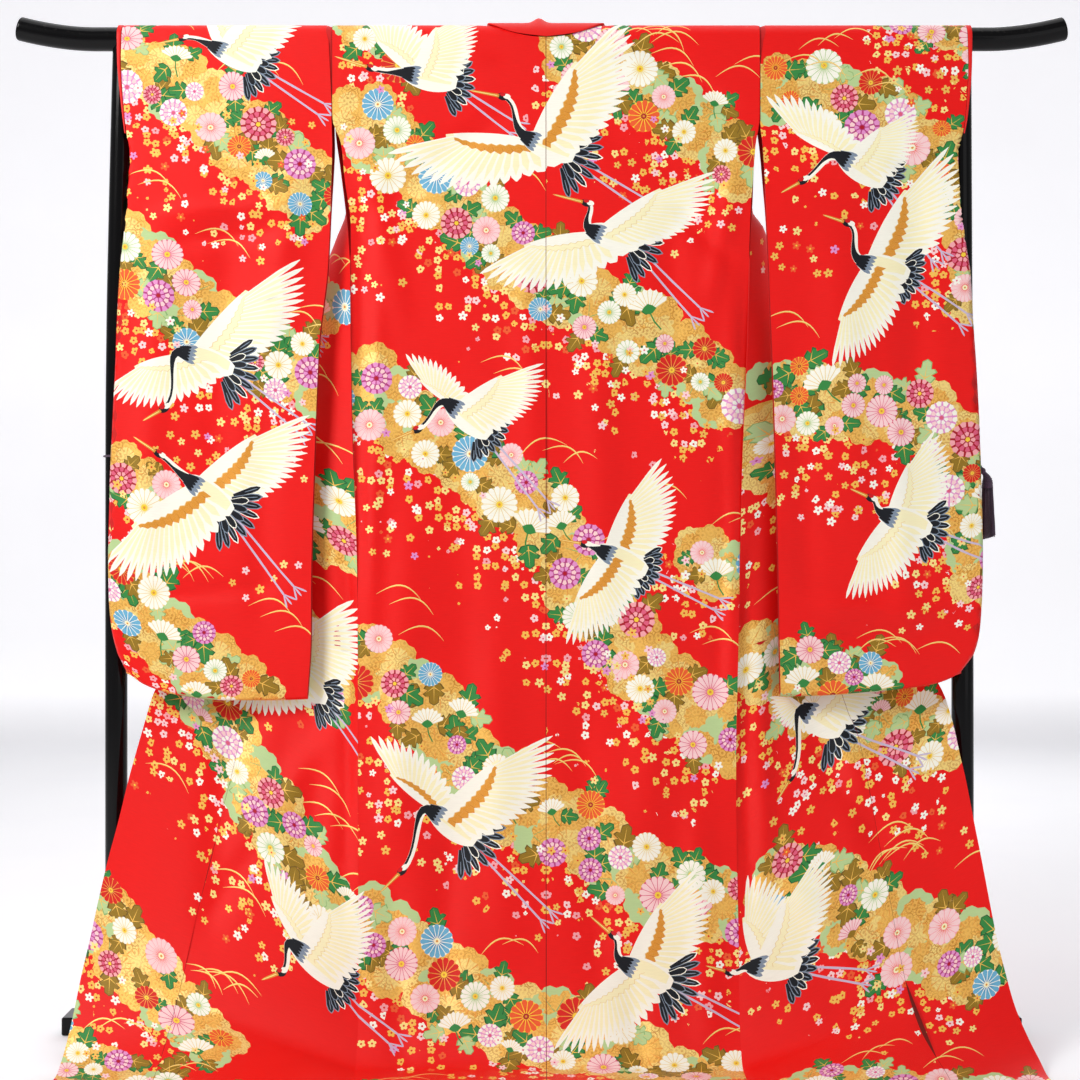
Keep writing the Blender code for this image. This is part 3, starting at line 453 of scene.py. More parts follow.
def panel_rows() -> np.ndarray:
    """Return a panel's rows: close together over the bar, then every 6 mm."""
    return np.concatenate((np.linspace(0.0, QUARTER, 14), np.arange(QUARTER + 0.006, LENGTH, 0.006), [LENGTH]))


def back_surface(side: Side) -> Surface:
    """Return the back panel: each row runs straight from the centre seam to the side edge."""
    rows = panel_rows()
    edge = back_edge(side, rows) + np.where(rows >= SIDE_SEAM_TOP, SEAM_LINE, 0.0)
    y, z = back_profile(rows)
    points = columns(edge[:, None] * np.linspace(0.0, 1.0, 61)[None, :], y[:, None], z[:, None])
    return Surface(rows, edge, placed(points, side), (0.0, -1.0, 0.0))


def front_surfaces(side: Side) -> tuple[Surface, Surface]:
    """Return the front panel, from the side edge inwards, and its overlap panel, from the seam outwards."""
    rows = panel_rows()
    outer, inner = front_edges(side, rows)
    folds = curve(FRONT_FOLDS, rows)
    wanted = okumi_width(rows)
    front = np.empty((len(rows), 81, 3))
    okumi = np.empty((len(rows), 31, 3))
    widths = np.empty((len(rows), 2))
    for index, row in enumerate(rows):
        dense = cross_section(outer[index], inner[index], folds[index], side.column)
        full = lengths(dense)[-1]
        seam = full - wanted[index] * min(full / FULL_FRONT, 1.0)
        front[index] = by_length(dense, np.linspace(0.0, seam, front.shape[1]))
        okumi[index] = by_length(dense, np.linspace(min(seam, full - 1e-5), full, okumi.shape[1]))
        widths[index] = seam, full - seam
    start = int(np.argmax(wanted > 0.004))
    facing = (0.0, 1.0, 0.0)
    return (Surface(rows, widths[:, 0], placed(front, side), facing),
            Surface(rows[start:], widths[start:, 1], placed(okumi[start:], side), facing))


def sleeve_inner_edge(side: Side, along: np.ndarray) -> np.ndarray:
    """Return the distance of the sleeve's inner edge from the centre line at distances from the shoulder fold."""
    table = curve(SLEEVE_INNER, np.linspace(0.0, 1.0, 200))
    return np.interp(along, QUARTER + BAR_Z - table[:, 0], table[:, 1 + side.column])


def sleeve_layer(side: Side, far: bool) -> tuple[np.ndarray, np.ndarray]:
    """Return one layer as rows x columns x 3 with its rows' distances from the shoulder fold.

    Each row runs straight from the inner edge to the outer one, and the last rows bend into the curved bottom.

    Args:
        side: which sleeve.
        far: whether it is the layer on the far side.
    """
    column = 1 + side.column
    shares = np.linspace(0.0, 1.0, 171)[1:]
    inner = curve(SLEEVE_INNER, shares)[:, (column, 0)]
    outer = curve(SLEEVE_OUTER, shares)[:, (column, 0)]
    if far:
        outer[:, 0] -= curve(FAR_INSET, outer[:, 1])[:, column - 1]
    outer[:, 0] -= POUCH
    across = np.linspace(0.0, 1.0, 61)
    low = curve(SLEEVE_BOTTOM, across)[:, side.column] + POUCH
    x, straight = (inner[:, axis, None] + (outer - inner)[:, axis, None] * across[None, :] for axis in (0, 1))
    end = inner[-1, 1] + (outer[-1, 1] - inner[-1, 1]) * across
    z = straight + (low - end)[None, :] * blend((shares - 0.55) / 0.45)[:, None]
    near_y, far_y = curve(SLEEVE_DEPTH, z.ravel()).T
    drop = curve(BACK_DROP[:6, ::-1], z.ravel())[:, 0]
    sewn = (1 - blend((x.ravel() - SHOULDER) / 0.15)) * (1 - blend((1.41 - z.ravel()) / 0.12))
    depth = far_y if far else near_y * (1 - sewn) + drop * sewn
    hanging = columns(x, depth.reshape(x.shape), z)
    top_in = curve(SLEEVE_INNER, [0.0])[0, column]
    top_out = curve(SLEEVE_OUTER, [0.0])[0, column] - POUCH
    distance = np.linspace(0.0, QUARTER, 14)
    y_arc, z_arc = over_bar(distance)
    arc = columns(top_in + (top_out - top_in) * across, (-y_arc if far else y_arc)[:, None], z_arc[:, None])
    along = np.concatenate((distance, QUARTER + BAR_Z - inner[:, 1]))
    return np.concatenate((arc, hanging)), along


def round_rim(edge: np.ndarray, middle: np.ndarray, steps: int = RIM_STEPS) -> np.ndarray:
    """Return points of a quarter ellipse from a layer's edge to the rim's middle line.

    x and z go with the sine of the angle, and y with its cosine.

    Args:
        edge: the layer's edge, n x 3.
        middle: the rim's middle line, n x 3.
        steps: how many points after the edge.

    Returns:
        The points, steps x n x 3.
    """
    angles = np.linspace(0.0, math.pi / 2, steps + 1)[1:]
    sine = np.sin(angles)[:, None, None]
    cosine = np.cos(angles)[:, None]
    found = edge[None] + (middle - edge)[None] * sine
    found[:, :, 1] = middle[None, :, 1] + (edge - middle)[None, :, 1] * cosine
    return found


def sleeve_surfaces(side: Side, swing: Sequence[Fold]) -> list[Surface]:
    """Return the sleeve's near and far layers with their outer edges and bottoms rounded towards each other.

    Args:
        side: which sleeve.
        swing: folds that both layers follow towards the near side.
    """
    layers = []
    for far in (False, True):
        layer, along = sleeve_layer(side, far)
        across = np.linalg.norm(np.diff(layer, axis=1), axis=2).cumsum(axis=1)
        across = np.concatenate((np.zeros((len(along), 1)), across), axis=1)
        layer[:, :, 1] -= rise_of(swing, across, np.repeat(along[:, None], across.shape[1], axis=1))
        layers.append(layer)
    middle = (layers[0][:, -1] + layers[1][:, -1]) / 2 + np.array((POUCH, 0.0, 0.0))
    wide = [np.concatenate((layer, round_rim(layer[:, -1], middle).transpose(1, 0, 2)), axis=1) for layer in layers]
    low = (wide[0][-1] + wide[1][-1]) / 2 - np.array((0.0, 0.0, POUCH))
    found = []
    for layer, facing in zip(wide, ((0.0, -1.0, 0.0), (0.0, 1.0, 0.0))):
        rounded = round_rim(layer[-1], low)
        tail = lengths(np.concatenate((layer[-1:, 20], rounded[:, 20])))[1:]
        whole = np.concatenate((layer, rounded))
        steps = np.linalg.norm(np.diff(whole, axis=1), axis=2)
        width = steps[:, :-RIM_STEPS].sum(axis=1)
        rim = steps[:, -RIM_STEPS:].sum(axis=1)
        found.append(Surface(np.concatenate((along, along[-1] + tail)), width, placed(whole, side), facing, rim,
                             RIM_STEPS))
    return found


def linear(value: float) -> float:
    """Return an 8-bit sRGB value as linear light."""
    share = value / 255
    return share / 12.92 if share <= 0.04045 else ((share + 0.055) / 1.055) ** 2.4


class Dye(Enum):
    """The colours of the woven threads: sRGB red, green and blue, and the share of gold thread."""

    GROUND = (240, 10, 6, 0.0)
    CLOUD = (250, 194, 88, 0.8)
    PALE_CLOUD = (255, 224, 132, 0.8)
    GOLD = (250, 196, 84, 0.7)
    PALE_GOLD = (255, 230, 140, 0.6)
    OCHRE = (228, 150, 42, 0.6)
    AMBER = (238, 158, 62, 0.5)
    CREAM = (255, 247, 200, 0.0)
    WHITE = (255, 253, 238, 0.0)
    SHADE = (240, 214, 146, 0.1)
    AMBER_LINE = (196, 116, 26, 0.3)
    SEAM = (122, 22, 12, 0.0)
    INK = (14, 18, 26, 0.0)
    SLATE = (130, 146, 164, 0.0)
    CROWN = (214, 20, 28, 0.0)
    LILAC = (206, 190, 214, 0.0)
    GREEN = (52, 138, 66, 0.0)
    DARK_GREEN = (20, 92, 48, 0.0)
    OLIVE = (150, 116, 22, 0.2)
    DARK_OLIVE = (108, 80, 14, 0.2)
    MINT = (188, 214, 150, 0.1)
    DARK_MINT = (136, 182, 112, 0.1)
    PINK = (250, 170, 176, 0.0)
    PALE_PINK = (255, 214, 214, 0.0)
    ROSE = (226, 96, 128, 0.0)
    ORCHID = (232, 150, 206, 0.0)
    MAGENTA = (186, 60, 130, 0.0)
    BLUE = (110, 180, 214, 0.0)
    DEEP_BLUE = (44, 112, 170, 0.0)
    ORANGE = (242, 96, 46, 0.0)
    SCARLET = (222, 34, 24, 0.0)
    CRIMSON = (176, 14, 36, 0.0)
    YELLOW = (252, 214, 60, 0.2)

    @property
    def thread(self) -> tuple[float, float, float, float]:
        """Return linear red, green, blue and the gold share."""
        red, green, blue, gold = self.value
        return linear(red), linear(green), linear(blue), gold


Shape = tuple[np.ndarray, Dye]


# The garment's soft folds: start and end, across and along each panel in millimetres, then the height in tenths of
# a millimetre toward the panel's outer side, and the width in millimetres.
BACK_CREASES = {
    Side.LEFT: folds(
        (286, 200, 294, 980, -64, 16), (262, 260, 272, 1100, 52, 14), (60, 75, 235, 40, 31, 12),
        (20, 120, 300, 330, -36, 22), (290, 180, 215, 520, 46, 20), (262, 330, 278, 760, -28, 14),
        (40, 300, 10, 860, 42, 26), (150, 480, 120, 1150, -51, 36), (210, 700, 235, 1420, 60, 30),
        (85, 900, 60, 1500, 55, 30), (140, 1180, 165, 1620, -60, 26), (245, 1250, 200, 1700, -51, 22),
    ),
    Side.RIGHT: folds(
        (130, 40, 315, 160, -55, 15), (190, 285, 305, 400, -57, 15), (316, 300, 304, 1060, -62, 16),
        (292, 360, 284, 1200, 55, 15), (50, 60, 210, 45, 27, 10), (30, 160, 310, 300, -31, 20),
        (300, 200, 250, 480, 51, 16), (190, 260, 205, 640, -42, 22), (75, 420, 95, 1020, 51, 30),
        (285, 620, 262, 1120, -51, 16), (170, 800, 150, 1350, 64, 34), (50, 1020, 85, 1560, -55, 26),
        (225, 1150, 242, 1640, 60, 24), (120, 1420, 150, 1760, -46, 20),
    ),
}
FRONT_CREASES = {
    Side.LEFT: folds(
        (20, 700, 24, 1480, -52, 14), (60, 60, 150, 300, 34, 18), (190, 80, 170, 420, -38, 22),
        (120, 700, 175, 1300, 61, 30), (60, 820, 90, 1420, -52, 26), (205, 900, 250, 1560, -64, 28),
        (30, 1080, 205, 1420, 64, 22), (110, 1250, 270, 1520, -56, 18),
    ),
    Side.RIGHT: folds(
        (16, 760, 20, 1500, -60, 15), (40, 60, 120, 280, -34, 16), (170, 70, 200, 380, 42, 24),
        (90, 720, 140, 1220, -58, 28), (170, 760, 215, 1480, 64, 32), (40, 900, 50, 1400, 64, 20),
        (120, 1150, 270, 1430, -64, 20), (60, 1330, 230, 1620, 60, 22),
    ),
}
SLEEVE_CREASES = {
    Side.LEFT: folds(
        (20, 292, 300, 330, 60, 15), (40, 335, 280, 372, -53, 14), (55, 180, 90, 620, 53, 24),
        (160, 240, 145, 860, -60, 34), (250, 300, 262, 960, 56, 28), (30, 884, 270, 902, -46, 13),
        (90, 560, 70, 1000, -46, 24),
    ),
    Side.RIGHT: folds(
        (60, 212, 230, 252, 46, 14), (240, 200, 215, 700, -56, 28), (100, 260, 125, 900, 60, 34),
        (30, 460, 50, 980, -49, 22), (20, 915, 290, 945, 56, 15), (60, 962, 260, 985, -46, 13),
        (180, 560, 195, 1020, 46, 22),
    ),
}


def wheel(radius: float | np.ndarray, angles: np.ndarray) -> np.ndarray:
    """Return points at radii and angles round the origin; angle 0 points along u and grows towards v."""
    return columns(radius * np.cos(angles), radius * np.sin(angles))


def square_to(run: np.ndarray) -> np.ndarray:
    """Return the vector turned a quarter from u to v."""
    return columns(-run[..., 1], run[..., 0])


def direction(run: np.ndarray) -> np.ndarray:
    """Return one vector made one long."""
    return run / np.linalg.norm(run)


def petals(count: int, profile: Sequence[tuple[float, float]], turn: float = 0.0,
           span: float = math.tau) -> np.ndarray:
    """Return petals side by side, count x points x 2.

    Args:
        count: how many petals share the span.
        profile: (radius, share of the petal's half angle) from the foot along one side to the tip.
        turn: the first petal's angle.
        span: the angle that the petals fill.
    """
    half = span / count / 2
    radius, lean = np.array(profile).T * ((1.0,), (half,))
    mirrored = slice(-2, None, -1) if lean[-1] == 0 else slice(None, None, -1)
    radius = np.concatenate((radius, radius[mirrored]))
    lean = np.concatenate((-lean, lean[mirrored]))
    middles = (turn + half if span < math.tau else turn) + np.arange(count) * 2 * half
    return wheel(np.tile(radius, (count, 1)), middles[:, None] + lean[None, :])


def lobed(lobes: int, depth: float, turn: float = 0.0, steps: int = 4) -> np.ndarray:
    """Return a closed outline of round lobes, 1 x points x 2: radius 1 - depth x (1 - |sin|^0.7)."""
    angles = np.arange(lobes * steps) * math.tau / (lobes * steps)
    radius = 1 - depth * (1 - np.abs(np.sin(angles * lobes / 2)) ** 0.7)
    return wheel(radius, angles + turn)[None]


def spokes(count: int, inner: float, outer: float, width: float, turn: float = 0.0) -> np.ndarray:
    """Return thin triangles that point inwards, count x 3 x 2."""
    angles = turn + np.arange(count) * math.tau / count
    corners = ((inner, 0.0), (outer, -width), (outer, width))
    return np.stack([wheel(np.full(count, radius), angles + lean) for radius, lean in corners], axis=1)


PETAL = ((0.24, 0.55), (0.84, 0.90), (0.98, 0.42))
TONGUE = ((0.18, 0.55), (0.64, 0.0))
LEAF_HALF = ((0.0, 0.03), (0.06, 0.30), (0.27, 0.45), (0.35, 0.27), (0.50, 0.48), (0.62, 0.36), (0.60, 0.22),
             (0.88, 0.20), (1.0, 0.0))


def open_mum(count: int, light: Dye, dark: Dye, tone: Dye, heart: Dye) -> list[Shape]:
    """Return an open chrysanthemum of radius 1: notched petals on a darker ground, toned towards its heart."""
    step = math.pi / count
    return [(lobed(count, 0.0, step, 1) * 0.95, dark), (petals(count, PETAL), light), (petals(count, TONGUE), tone),
            (lobed(7, 0.12, 0.0, 1) * 0.21, heart), (lobed(5, 0.1, 0.0, 1) * 0.09, Dye.OCHRE)]


def drawn_mum(count: int, light: Dye, dark: Dye) -> list[Shape]:
    """Return a line-drawn chrysanthemum of radius 1, for the gold cloud."""
    step = math.pi / count
    return [(lobed(count, 0.12, step, 2), light), (spokes(count, 0.28, 1.0, 0.05), dark)]


def ball_mum(light: Dye, dark: Dye, heart: Dye, pale: Dye) -> list[Shape]:
    """Return a full chrysanthemum of radius 1: three rings of round petals on a darker ground."""
    found: list[Shape] = [(lobed(13, 0.0, math.pi / 13, 1) * 0.96, dark)]
    for count, inner, outer, turn, dye in ((13, 0.70, 0.99, 0.0, light), (11, 0.42, 0.70, 0.2, pale),
                                           (7, 0.18, 0.43, 0.1, light)):
        profile = ((inner, 0.62), (inner + (outer - inner) * 0.78, 0.78), (outer, 0.0))
        found.append((petals(count, profile, turn), dye))
    found.append((lobed(5, 0.15, 0.0, 1) * 0.17, heart))
    return found


def fan_mum(light: Dye, dark: Dye, calyx: Dye) -> list[Shape]:
    """Return a chrysanthemum seen from the side: a fan of petals over a calyx and a stem, height about 1."""
    start, span = math.radians(-160), math.radians(140)
    fan = petals(9, ((0.30, 0.6), (0.88, 0.88), (1.0, 0.0)), start, span)
    angles = start + span * np.linspace(0, 1, 19)
    radius = 0.96 - 0.05 * (np.arange(19) % 2 == 0)
    ground = np.concatenate((wheel(radius, angles), [(0.0, 0.06)]))[None]
    stem = np.array([[(-0.03, 0.0), (0.03, 0.0), (0.13, 0.45), (0.34, 0.85), (0.28, 0.88), (0.07, 0.48)]])
    cup = wheel(np.array((0.34, 0.30, 0.34, 0.30, 0.34, 0.16, 0.12, 0.16)),
                np.radians((-165, -130, -90, -50, -15, 30, 90, 150)))[None]
    return [(stem, calyx), (ground, dark), (fan, light), (cup, calyx)]


def leaf(light: Dye, dark: Dye) -> list[Shape]:
    """Return a lobed leaf of length 1 along u, with a dark edge and gold veins."""
    half = np.array(LEAF_HALF)
    whole = np.concatenate((half, half[-2::-1] * (1, -1)))
    inner = (whole - (0.5, 0.0)) * (0.93, 0.86) + (0.5, 0.0)
    veins = []
    for start, end in (((0.02, 0.0), (0.92, 0.0)), ((0.22, 0.0), (0.46, 0.36)), ((0.22, 0.0), (0.46, -0.36))):
        run = np.subtract(end, start)
        side = square_to(run) / np.linalg.norm(run) * 0.022
        veins.append((start + run * 0.06 + side, start + run * 0.06 - side, end))
    return [(whole[None], dark), (inner[None], light), (np.array(veins), Dye.GOLD)]


def drawn_leaf(light: Dye, dark: Dye) -> list[Shape]:
    """Return a lobed leaf of length 1 along u with one vein, for the gold cloud."""
    _, inner, veins = leaf(light, dark)
    return [inner, (veins[0][:1], dark)]


def blossom(petal: Dye, heart: Dye) -> list[Shape]:
    """Return a small five-petalled blossom of radius 1."""
    return [(lobed(5, 0.48, 0.0, 3), petal), (lobed(4, 0.0, 0.0, 1) * 0.24, heart)]


def moved(motif: Sequence[Shape], place: Sequence[float], turn: float, size: float) -> list[Shape]:
    """Return a motif turned, sized and moved to its place.

    Args:
        motif: the shapes, round 0.
        place: where its 0 goes.
        turn: an angle in radians.
        size: a factor.
    """
    return [(shape @ turned(turn, size) + np.asarray(place), dye) for shape, dye in motif]


def turned(angle: float, size: float = 1.0) -> np.ndarray:
    """Return the matrix that turns points, as rows, by an angle and sizes them."""
    cosine, sine = math.cos(angle) * size, math.sin(angle) * size
    return np.array(((cosine, sine), (-sine, cosine)))


def bezier(first: np.ndarray, middle: np.ndarray, last: np.ndarray, at: np.ndarray) -> np.ndarray:
    """Return points of the quadratic curve (1-t)^2 a + 2 (1-t) t b + t^2 c."""
    t = np.asarray(at)[:, None]
    return (1 - t) ** 2 * first + 2 * (1 - t) * t * middle + t ** 2 * last


def ribbon(line: np.ndarray, left: np.ndarray, right: np.ndarray) -> np.ndarray:
    """Return a closed strip round a line, 1 x 2n x 2, that reaches `left` and `right` to its two sides.

    Args:
        line: n x 2 places along it.
        left: the width to the left of each.
        right: the width to the right of each.
    """
    square = square_to(unit(np.gradient(line, axis=0)))
    return np.concatenate((line + square * left[:, None], (line - square * right[:, None])[::-1]))[None]


def blade(base: np.ndarray, tip: np.ndarray, width: float, foot: float = 0.5) -> np.ndarray:
    """Return a feather from its base to its pointed tip, 1 x 8 x 2, widest at two thirds of its length.

    Args:
        base: its foot.
        tip: its tip.
        width: half its width at its widest.
        foot: the foot's share of that.
    """
    run = tip - base
    square = square_to(run) / max(float(np.linalg.norm(run)), 1e-9) * width
    way = ((0.0, foot), (0.66, 1.0), (0.88, 0.74), (1.0, 0.10))
    left = [base + run * share + square * wide for share, wide in way]
    right = [base + run * share - square * wide for share, wide in way[::-1]]
    return np.array(left + right)[None]


@dataclass(frozen=True)
class Wing:
    """A crane's wing, by its tip; a banded wing shows a gold band and white small feathers."""

    tip: np.ndarray
    banded: bool
    lead: float = 0.14
    trail: float = 0.44

    def draw(self, front: np.ndarray, rear: np.ndarray, forward: np.ndarray) -> list[Shape]:
        """Return the wing: feathers fan from a convex leading edge, and two rows of small feathers cover their feet.

        Args:
            front: where the leading edge leaves the body.
            rear: where the last feather leaves the body.
            forward: the bird's unit direction.
        """
        tip = self.tip
        axis = tip - (front + rear) / 2
        reach = float(np.linalg.norm(axis))
        square = square_to(axis) / reach
        if square @ forward < 0:
            square = -square
        lead_middle = front * 0.45 + tip * 0.55 + square * self.lead * reach
        trail_middle = rear * 0.34 + tip * 0.66 - square * self.trail * reach
        count = 17
        share = (np.arange(count) + 0.5) / count
        ends = bezier(rear, trail_middle, tip, share ** 0.86)
        lead = bezier(front, lead_middle, tip, 0.06 + 0.50 * share)
        trail = bezier(rear, trail_middle, tip, 0.06 + 0.50 * share)
        feet = lead + (trail - lead) * (0.34 - 0.26 * share)[:, None]
        ends = ends + (ends - feet) * (0.02 + 0.24 * share ** 1.6 + 0.03 * (np.arange(count) % 2))[:, None]
        gaps = np.linalg.norm(np.gradient(ends, axis=0), axis=1)
        found: list[Shape] = []
        dense = np.linspace(0.0, 0.62, 9)
        high = bezier(front, lead_middle, tip, dense)
        low = high + (bezier(rear, trail_middle, tip, dense) - high) * (0.66 - 0.66 * dense)[:, None]
        found.append((np.concatenate((high, low[::-1]))[None], Dye.CREAM))
        for foot, end, gap, way in zip(feet, ends, gaps, share):
            wide = float(gap) * (0.54 - 0.22 * way)
            found.append((blade(foot, end, wide, 0.75), Dye.WHITE))
            found.append((blade(foot, end + (foot - end) * 0.16, wide * 0.52, 0.8)[:, (0, 1, 3, 6, 7)], Dye.CREAM))
        rows = ((0.44, Dye.SHADE), (0.425, Dye.CREAM), (0.29, Dye.SHADE), (0.275, Dye.WHITE))
        if self.banded:
            rows = ((0.50, Dye.OCHRE), (0.30, Dye.SHADE), (0.285, Dye.WHITE))
        steps = np.linspace(0.0, 0.56, 21)
        top = bezier(front, lead_middle, tip, steps)
        under = bezier(rear, trail_middle, tip, steps)
        for depth, dye in rows:
            scallop = depth * (1 - 0.14 * (np.arange(21) % 2)) * (1 - 0.9 * (steps / 0.6) ** 3)
            edge = top + (under - top) * scallop[:, None]
            found.append((np.concatenate((top[::2], edge[::-1]))[None], dye))
            if dye is Dye.OCHRE:
                inner = top + (under - top) * (scallop * 0.72)[:, None]
                marks = [(inner[index], edge[index] + (edge[index + 1] - edge[index]) * 0.16, edge[index])
                         for index in range(1, 20, 2)]
                found.append((np.array(marks), Dye.AMBER_LINE))
        return found


@dataclass(frozen=True)
class Crane:
    """A flying crane, in millimetres: its body's middle, head, beak, tail and feet, then its far and near wing's tip.

    The first `banded` wings show a gold band.
    """

    places: tuple[tuple[int, int], ...]
    tips: tuple[tuple[int, int], tuple[int, int]]
    banded: int = 0

    def draw(self) -> list[Shape]:
        """Return the crane's shapes in painting order: legs, far wing, tail, body, near wing, neck and head."""
        middle, head, beak, tail, feet = np.array(self.places) / 1000
        forward = direction(middle - tail)
        breast, rump = middle + forward * 0.040, middle - forward * 0.030
        far, near = (Wing(tip, number < self.banded).draw(middle + forward * 0.030, middle - forward * 0.040, forward)
                     for number, tip in enumerate(np.array(self.tips) / 1000))
        found = self.legs(rump, feet) + far + self.tail_fan(rump, tail)
        line = np.linspace(0.0, 1.0, 11)
        body = breast + (rump - forward * 0.014 - breast) * line[:, None]
        round_off = 0.020 * np.sqrt(np.maximum(np.sin(math.pi * (0.06 + 0.90 * line)), 0.0))
        found.append((ribbon(body, round_off, round_off), Dye.WHITE))
        found.append((ribbon(body[2:-1], round_off[2:-1] * 0.2, round_off[2:-1] * 0.8), Dye.CREAM))
        return found + near + self.neck_and_head(breast, forward, head, beak)

    @staticmethod
    def legs(rump: np.ndarray, feet: np.ndarray) -> list[Shape]:
        """Return two thin legs and their toes."""
        found: list[Shape] = []
        run = direction(feet - rump)
        square = square_to(run)
        width = np.array((0.0021, 0.0017, 0.0015, 0.0017, 0.0014, 0.0016))
        for offset in (-0.0065, 0.0065):
            line = np.linspace(0.0, 1.0, 6)[:, None]
            leg = rump + square * offset * 0.5 + (feet + square * offset - rump) * line
            found.append((ribbon(leg, width, width), Dye.LILAC))
            found += [(blade(leg[-1], leg[-1] + (run + square * lean) * 0.021, 0.0015), Dye.LILAC)
                      for lean in (-0.5, 0.0, 0.45)]
        return found

    @staticmethod
    def tail_fan(rump: np.ndarray, tail: np.ndarray) -> list[Shape]:
        """Return two ranks of dark feathers, each edged in pale thread, fanned round the tail's direction."""
        found: list[Shape] = []
        run = tail - rump
        length = float(np.linalg.norm(run))
        heading = math.atan2(run[1], run[0])
        across = np.array((-math.sin(heading), math.cos(heading)))
        for count, reach, spread in ((9, 1.0, 13.0), (5, 0.64, 19.0)):
            middle = (count - 1) / 2
            for index in sorted(range(count), key=lambda number: -abs(number - middle)):
                off = index - middle
                angle = heading + math.radians(off * spread)
                way = np.array((math.cos(angle), math.sin(angle)))
                start = rump + across * off * 0.0048 + way * length * 0.06
                end = rump + across * off * 0.0048 + way * length * (reach - 0.03 * abs(off))
                found.append((blade(start, end, 0.0058), Dye.SLATE if index % 3 else Dye.WHITE))
                found.append((blade(start, end + (start - end) * 0.05, 0.0045), Dye.INK))
                if count == 9:
                    line = blade(start + (end - start) * 0.4, end + (start - end) * 0.15, 0.0007)
                    found.append((line, Dye.SLATE))
        return found

    @staticmethod
    def neck_and_head(breast: np.ndarray, forward: np.ndarray, head: np.ndarray, beak: np.ndarray) -> list[Shape]:
        """Return the curved neck, white behind and dark before, the head with its red crown, and the beak.

        The neck follows (1-t)^3 a + 3 (1-t)^2 t b + 3 (1-t) t^2 c + t^3 d from the breast to the head.

        Args:
            breast: where the neck starts.
            forward: a unit direction along the body.
            head: the head's middle.
            beak: the beak's tip.
        """
        point = direction(beak - head)
        span = float(np.linalg.norm(head - breast))
        t = np.linspace(0.0, 1.0, 13)[:, None]
        first, second = breast + forward * span * 0.42, head - point * span * 0.34 + (breast - head) * 0.18
        line = ((1 - t) ** 3 * (breast - forward * 0.012) + 3 * (1 - t) ** 2 * t * first
                + 3 * (1 - t) * t ** 2 * second + t ** 3 * head)
        way = t[:, 0]
        wide = 0.0040 + 0.0056 * (1 - way) ** 2.4
        run = line[9] - line[5]
        side = square_to(run) / np.linalg.norm(run)
        back = wide * np.clip(1.25 - 2.3 * way, -0.15, 0.9)
        left, right = (wide * 0.94, back) if side @ (point + np.array((0.0, 0.35))) > 0 else (back, wide * 0.94)
        found: list[Shape] = [(ribbon(line, wide, wide), Dye.WHITE)]
        base = direction(line[1] - line[0])
        across = square_to(base)
        for reach, width, dye in ((0.021, 0.0034, Dye.SLATE), (0.012, 0.0026, Dye.INK)):
            for lean in (-2, -1, 0, 1, 2):
                start = line[1] + across * lean * wide[1] * 0.38
                end = start - (base - across * lean * 0.16) * reach
                found.append((blade(start + base * 0.006, end, width), dye))
        found.append((ribbon(line[1:], left[1:], right[1:]), Dye.INK))
        turns = np.linspace(0, math.tau, 12, endpoint=False)
        square = square_to(point)
        skull = np.outer(np.cos(turns), point) * 0.0090 + np.outer(np.sin(turns), square) * 0.0060
        up = square if square[1] < 0 else -square
        return found + [
            ((skull + head + point * 0.003)[None], Dye.INK),
            ((skull * 0.66 + head - point * 0.0030 + up * 0.0012)[None], Dye.WHITE),
            ((skull * 0.5 + head + point * 0.0040 + up * 0.0032)[None], Dye.CROWN),
            (blade(head + point * 0.009, beak, 0.0018, 1.4), Dye.OCHRE),
            (blade(head + point * 0.012, beak, 0.0006, 1.0), Dye.PALE_GOLD),
        ]


class Layer(Enum):
    """The picture's layers, in painting order."""

    CLOUD = 0
    CLOUD_TONE = 1
    LEAF = 2
    MUM = 3
    BLOSSOM = 4
    ARC = 5
    CRANE = 6


@dataclass(frozen=True)
class MumDyes:
    """A chrysanthemum's kind and colours."""

    kind: str
    light: Dye
    dark: Dye
    tone: Dye
    heart: Dye

    def shapes(self, count: int) -> list[Shape]:
        """Return the flower's shapes."""
        if self.kind == "open":
            return open_mum(count, self.light, self.dark, self.tone, self.heart)
        if self.kind == "ball":
            return ball_mum(self.light, self.dark, self.heart, self.tone)
        return fan_mum(self.light, self.dark, self.tone)


MUMS = (
    (5, MumDyes("open", Dye.WHITE, Dye.SHADE, Dye.CREAM, Dye.YELLOW)),
    (3, MumDyes("open", Dye.PALE_PINK, Dye.ROSE, Dye.PINK, Dye.YELLOW)),
    (3, MumDyes("open", Dye.PALE_PINK, Dye.PINK, Dye.ORANGE, Dye.CREAM)),
    (3, MumDyes("open", Dye.ORANGE, Dye.YELLOW, Dye.SCARLET, Dye.CRIMSON)),
    (2, MumDyes("open", Dye.SCARLET, Dye.AMBER, Dye.CRIMSON, Dye.YELLOW)),
    (2, MumDyes("open", Dye.BLUE, Dye.WHITE, Dye.DEEP_BLUE, Dye.CREAM)),
    (2, MumDyes("open", Dye.WHITE, Dye.MINT, Dye.MINT, Dye.YELLOW)),
    (3, MumDyes("ball", Dye.ORCHID, Dye.MAGENTA, Dye.PALE_PINK, Dye.CRIMSON)),
    (3, MumDyes("ball", Dye.WHITE, Dye.ORCHID, Dye.PALE_PINK, Dye.ROSE)),
    (2, MumDyes("ball", Dye.PINK, Dye.CRIMSON, Dye.ROSE, Dye.YELLOW)),
    (2, MumDyes("fan", Dye.WHITE, Dye.SHADE, Dye.GREEN, Dye.GREEN)),
    (1, MumDyes("fan", Dye.PALE_PINK, Dye.ROSE, Dye.OLIVE, Dye.GREEN)),
)
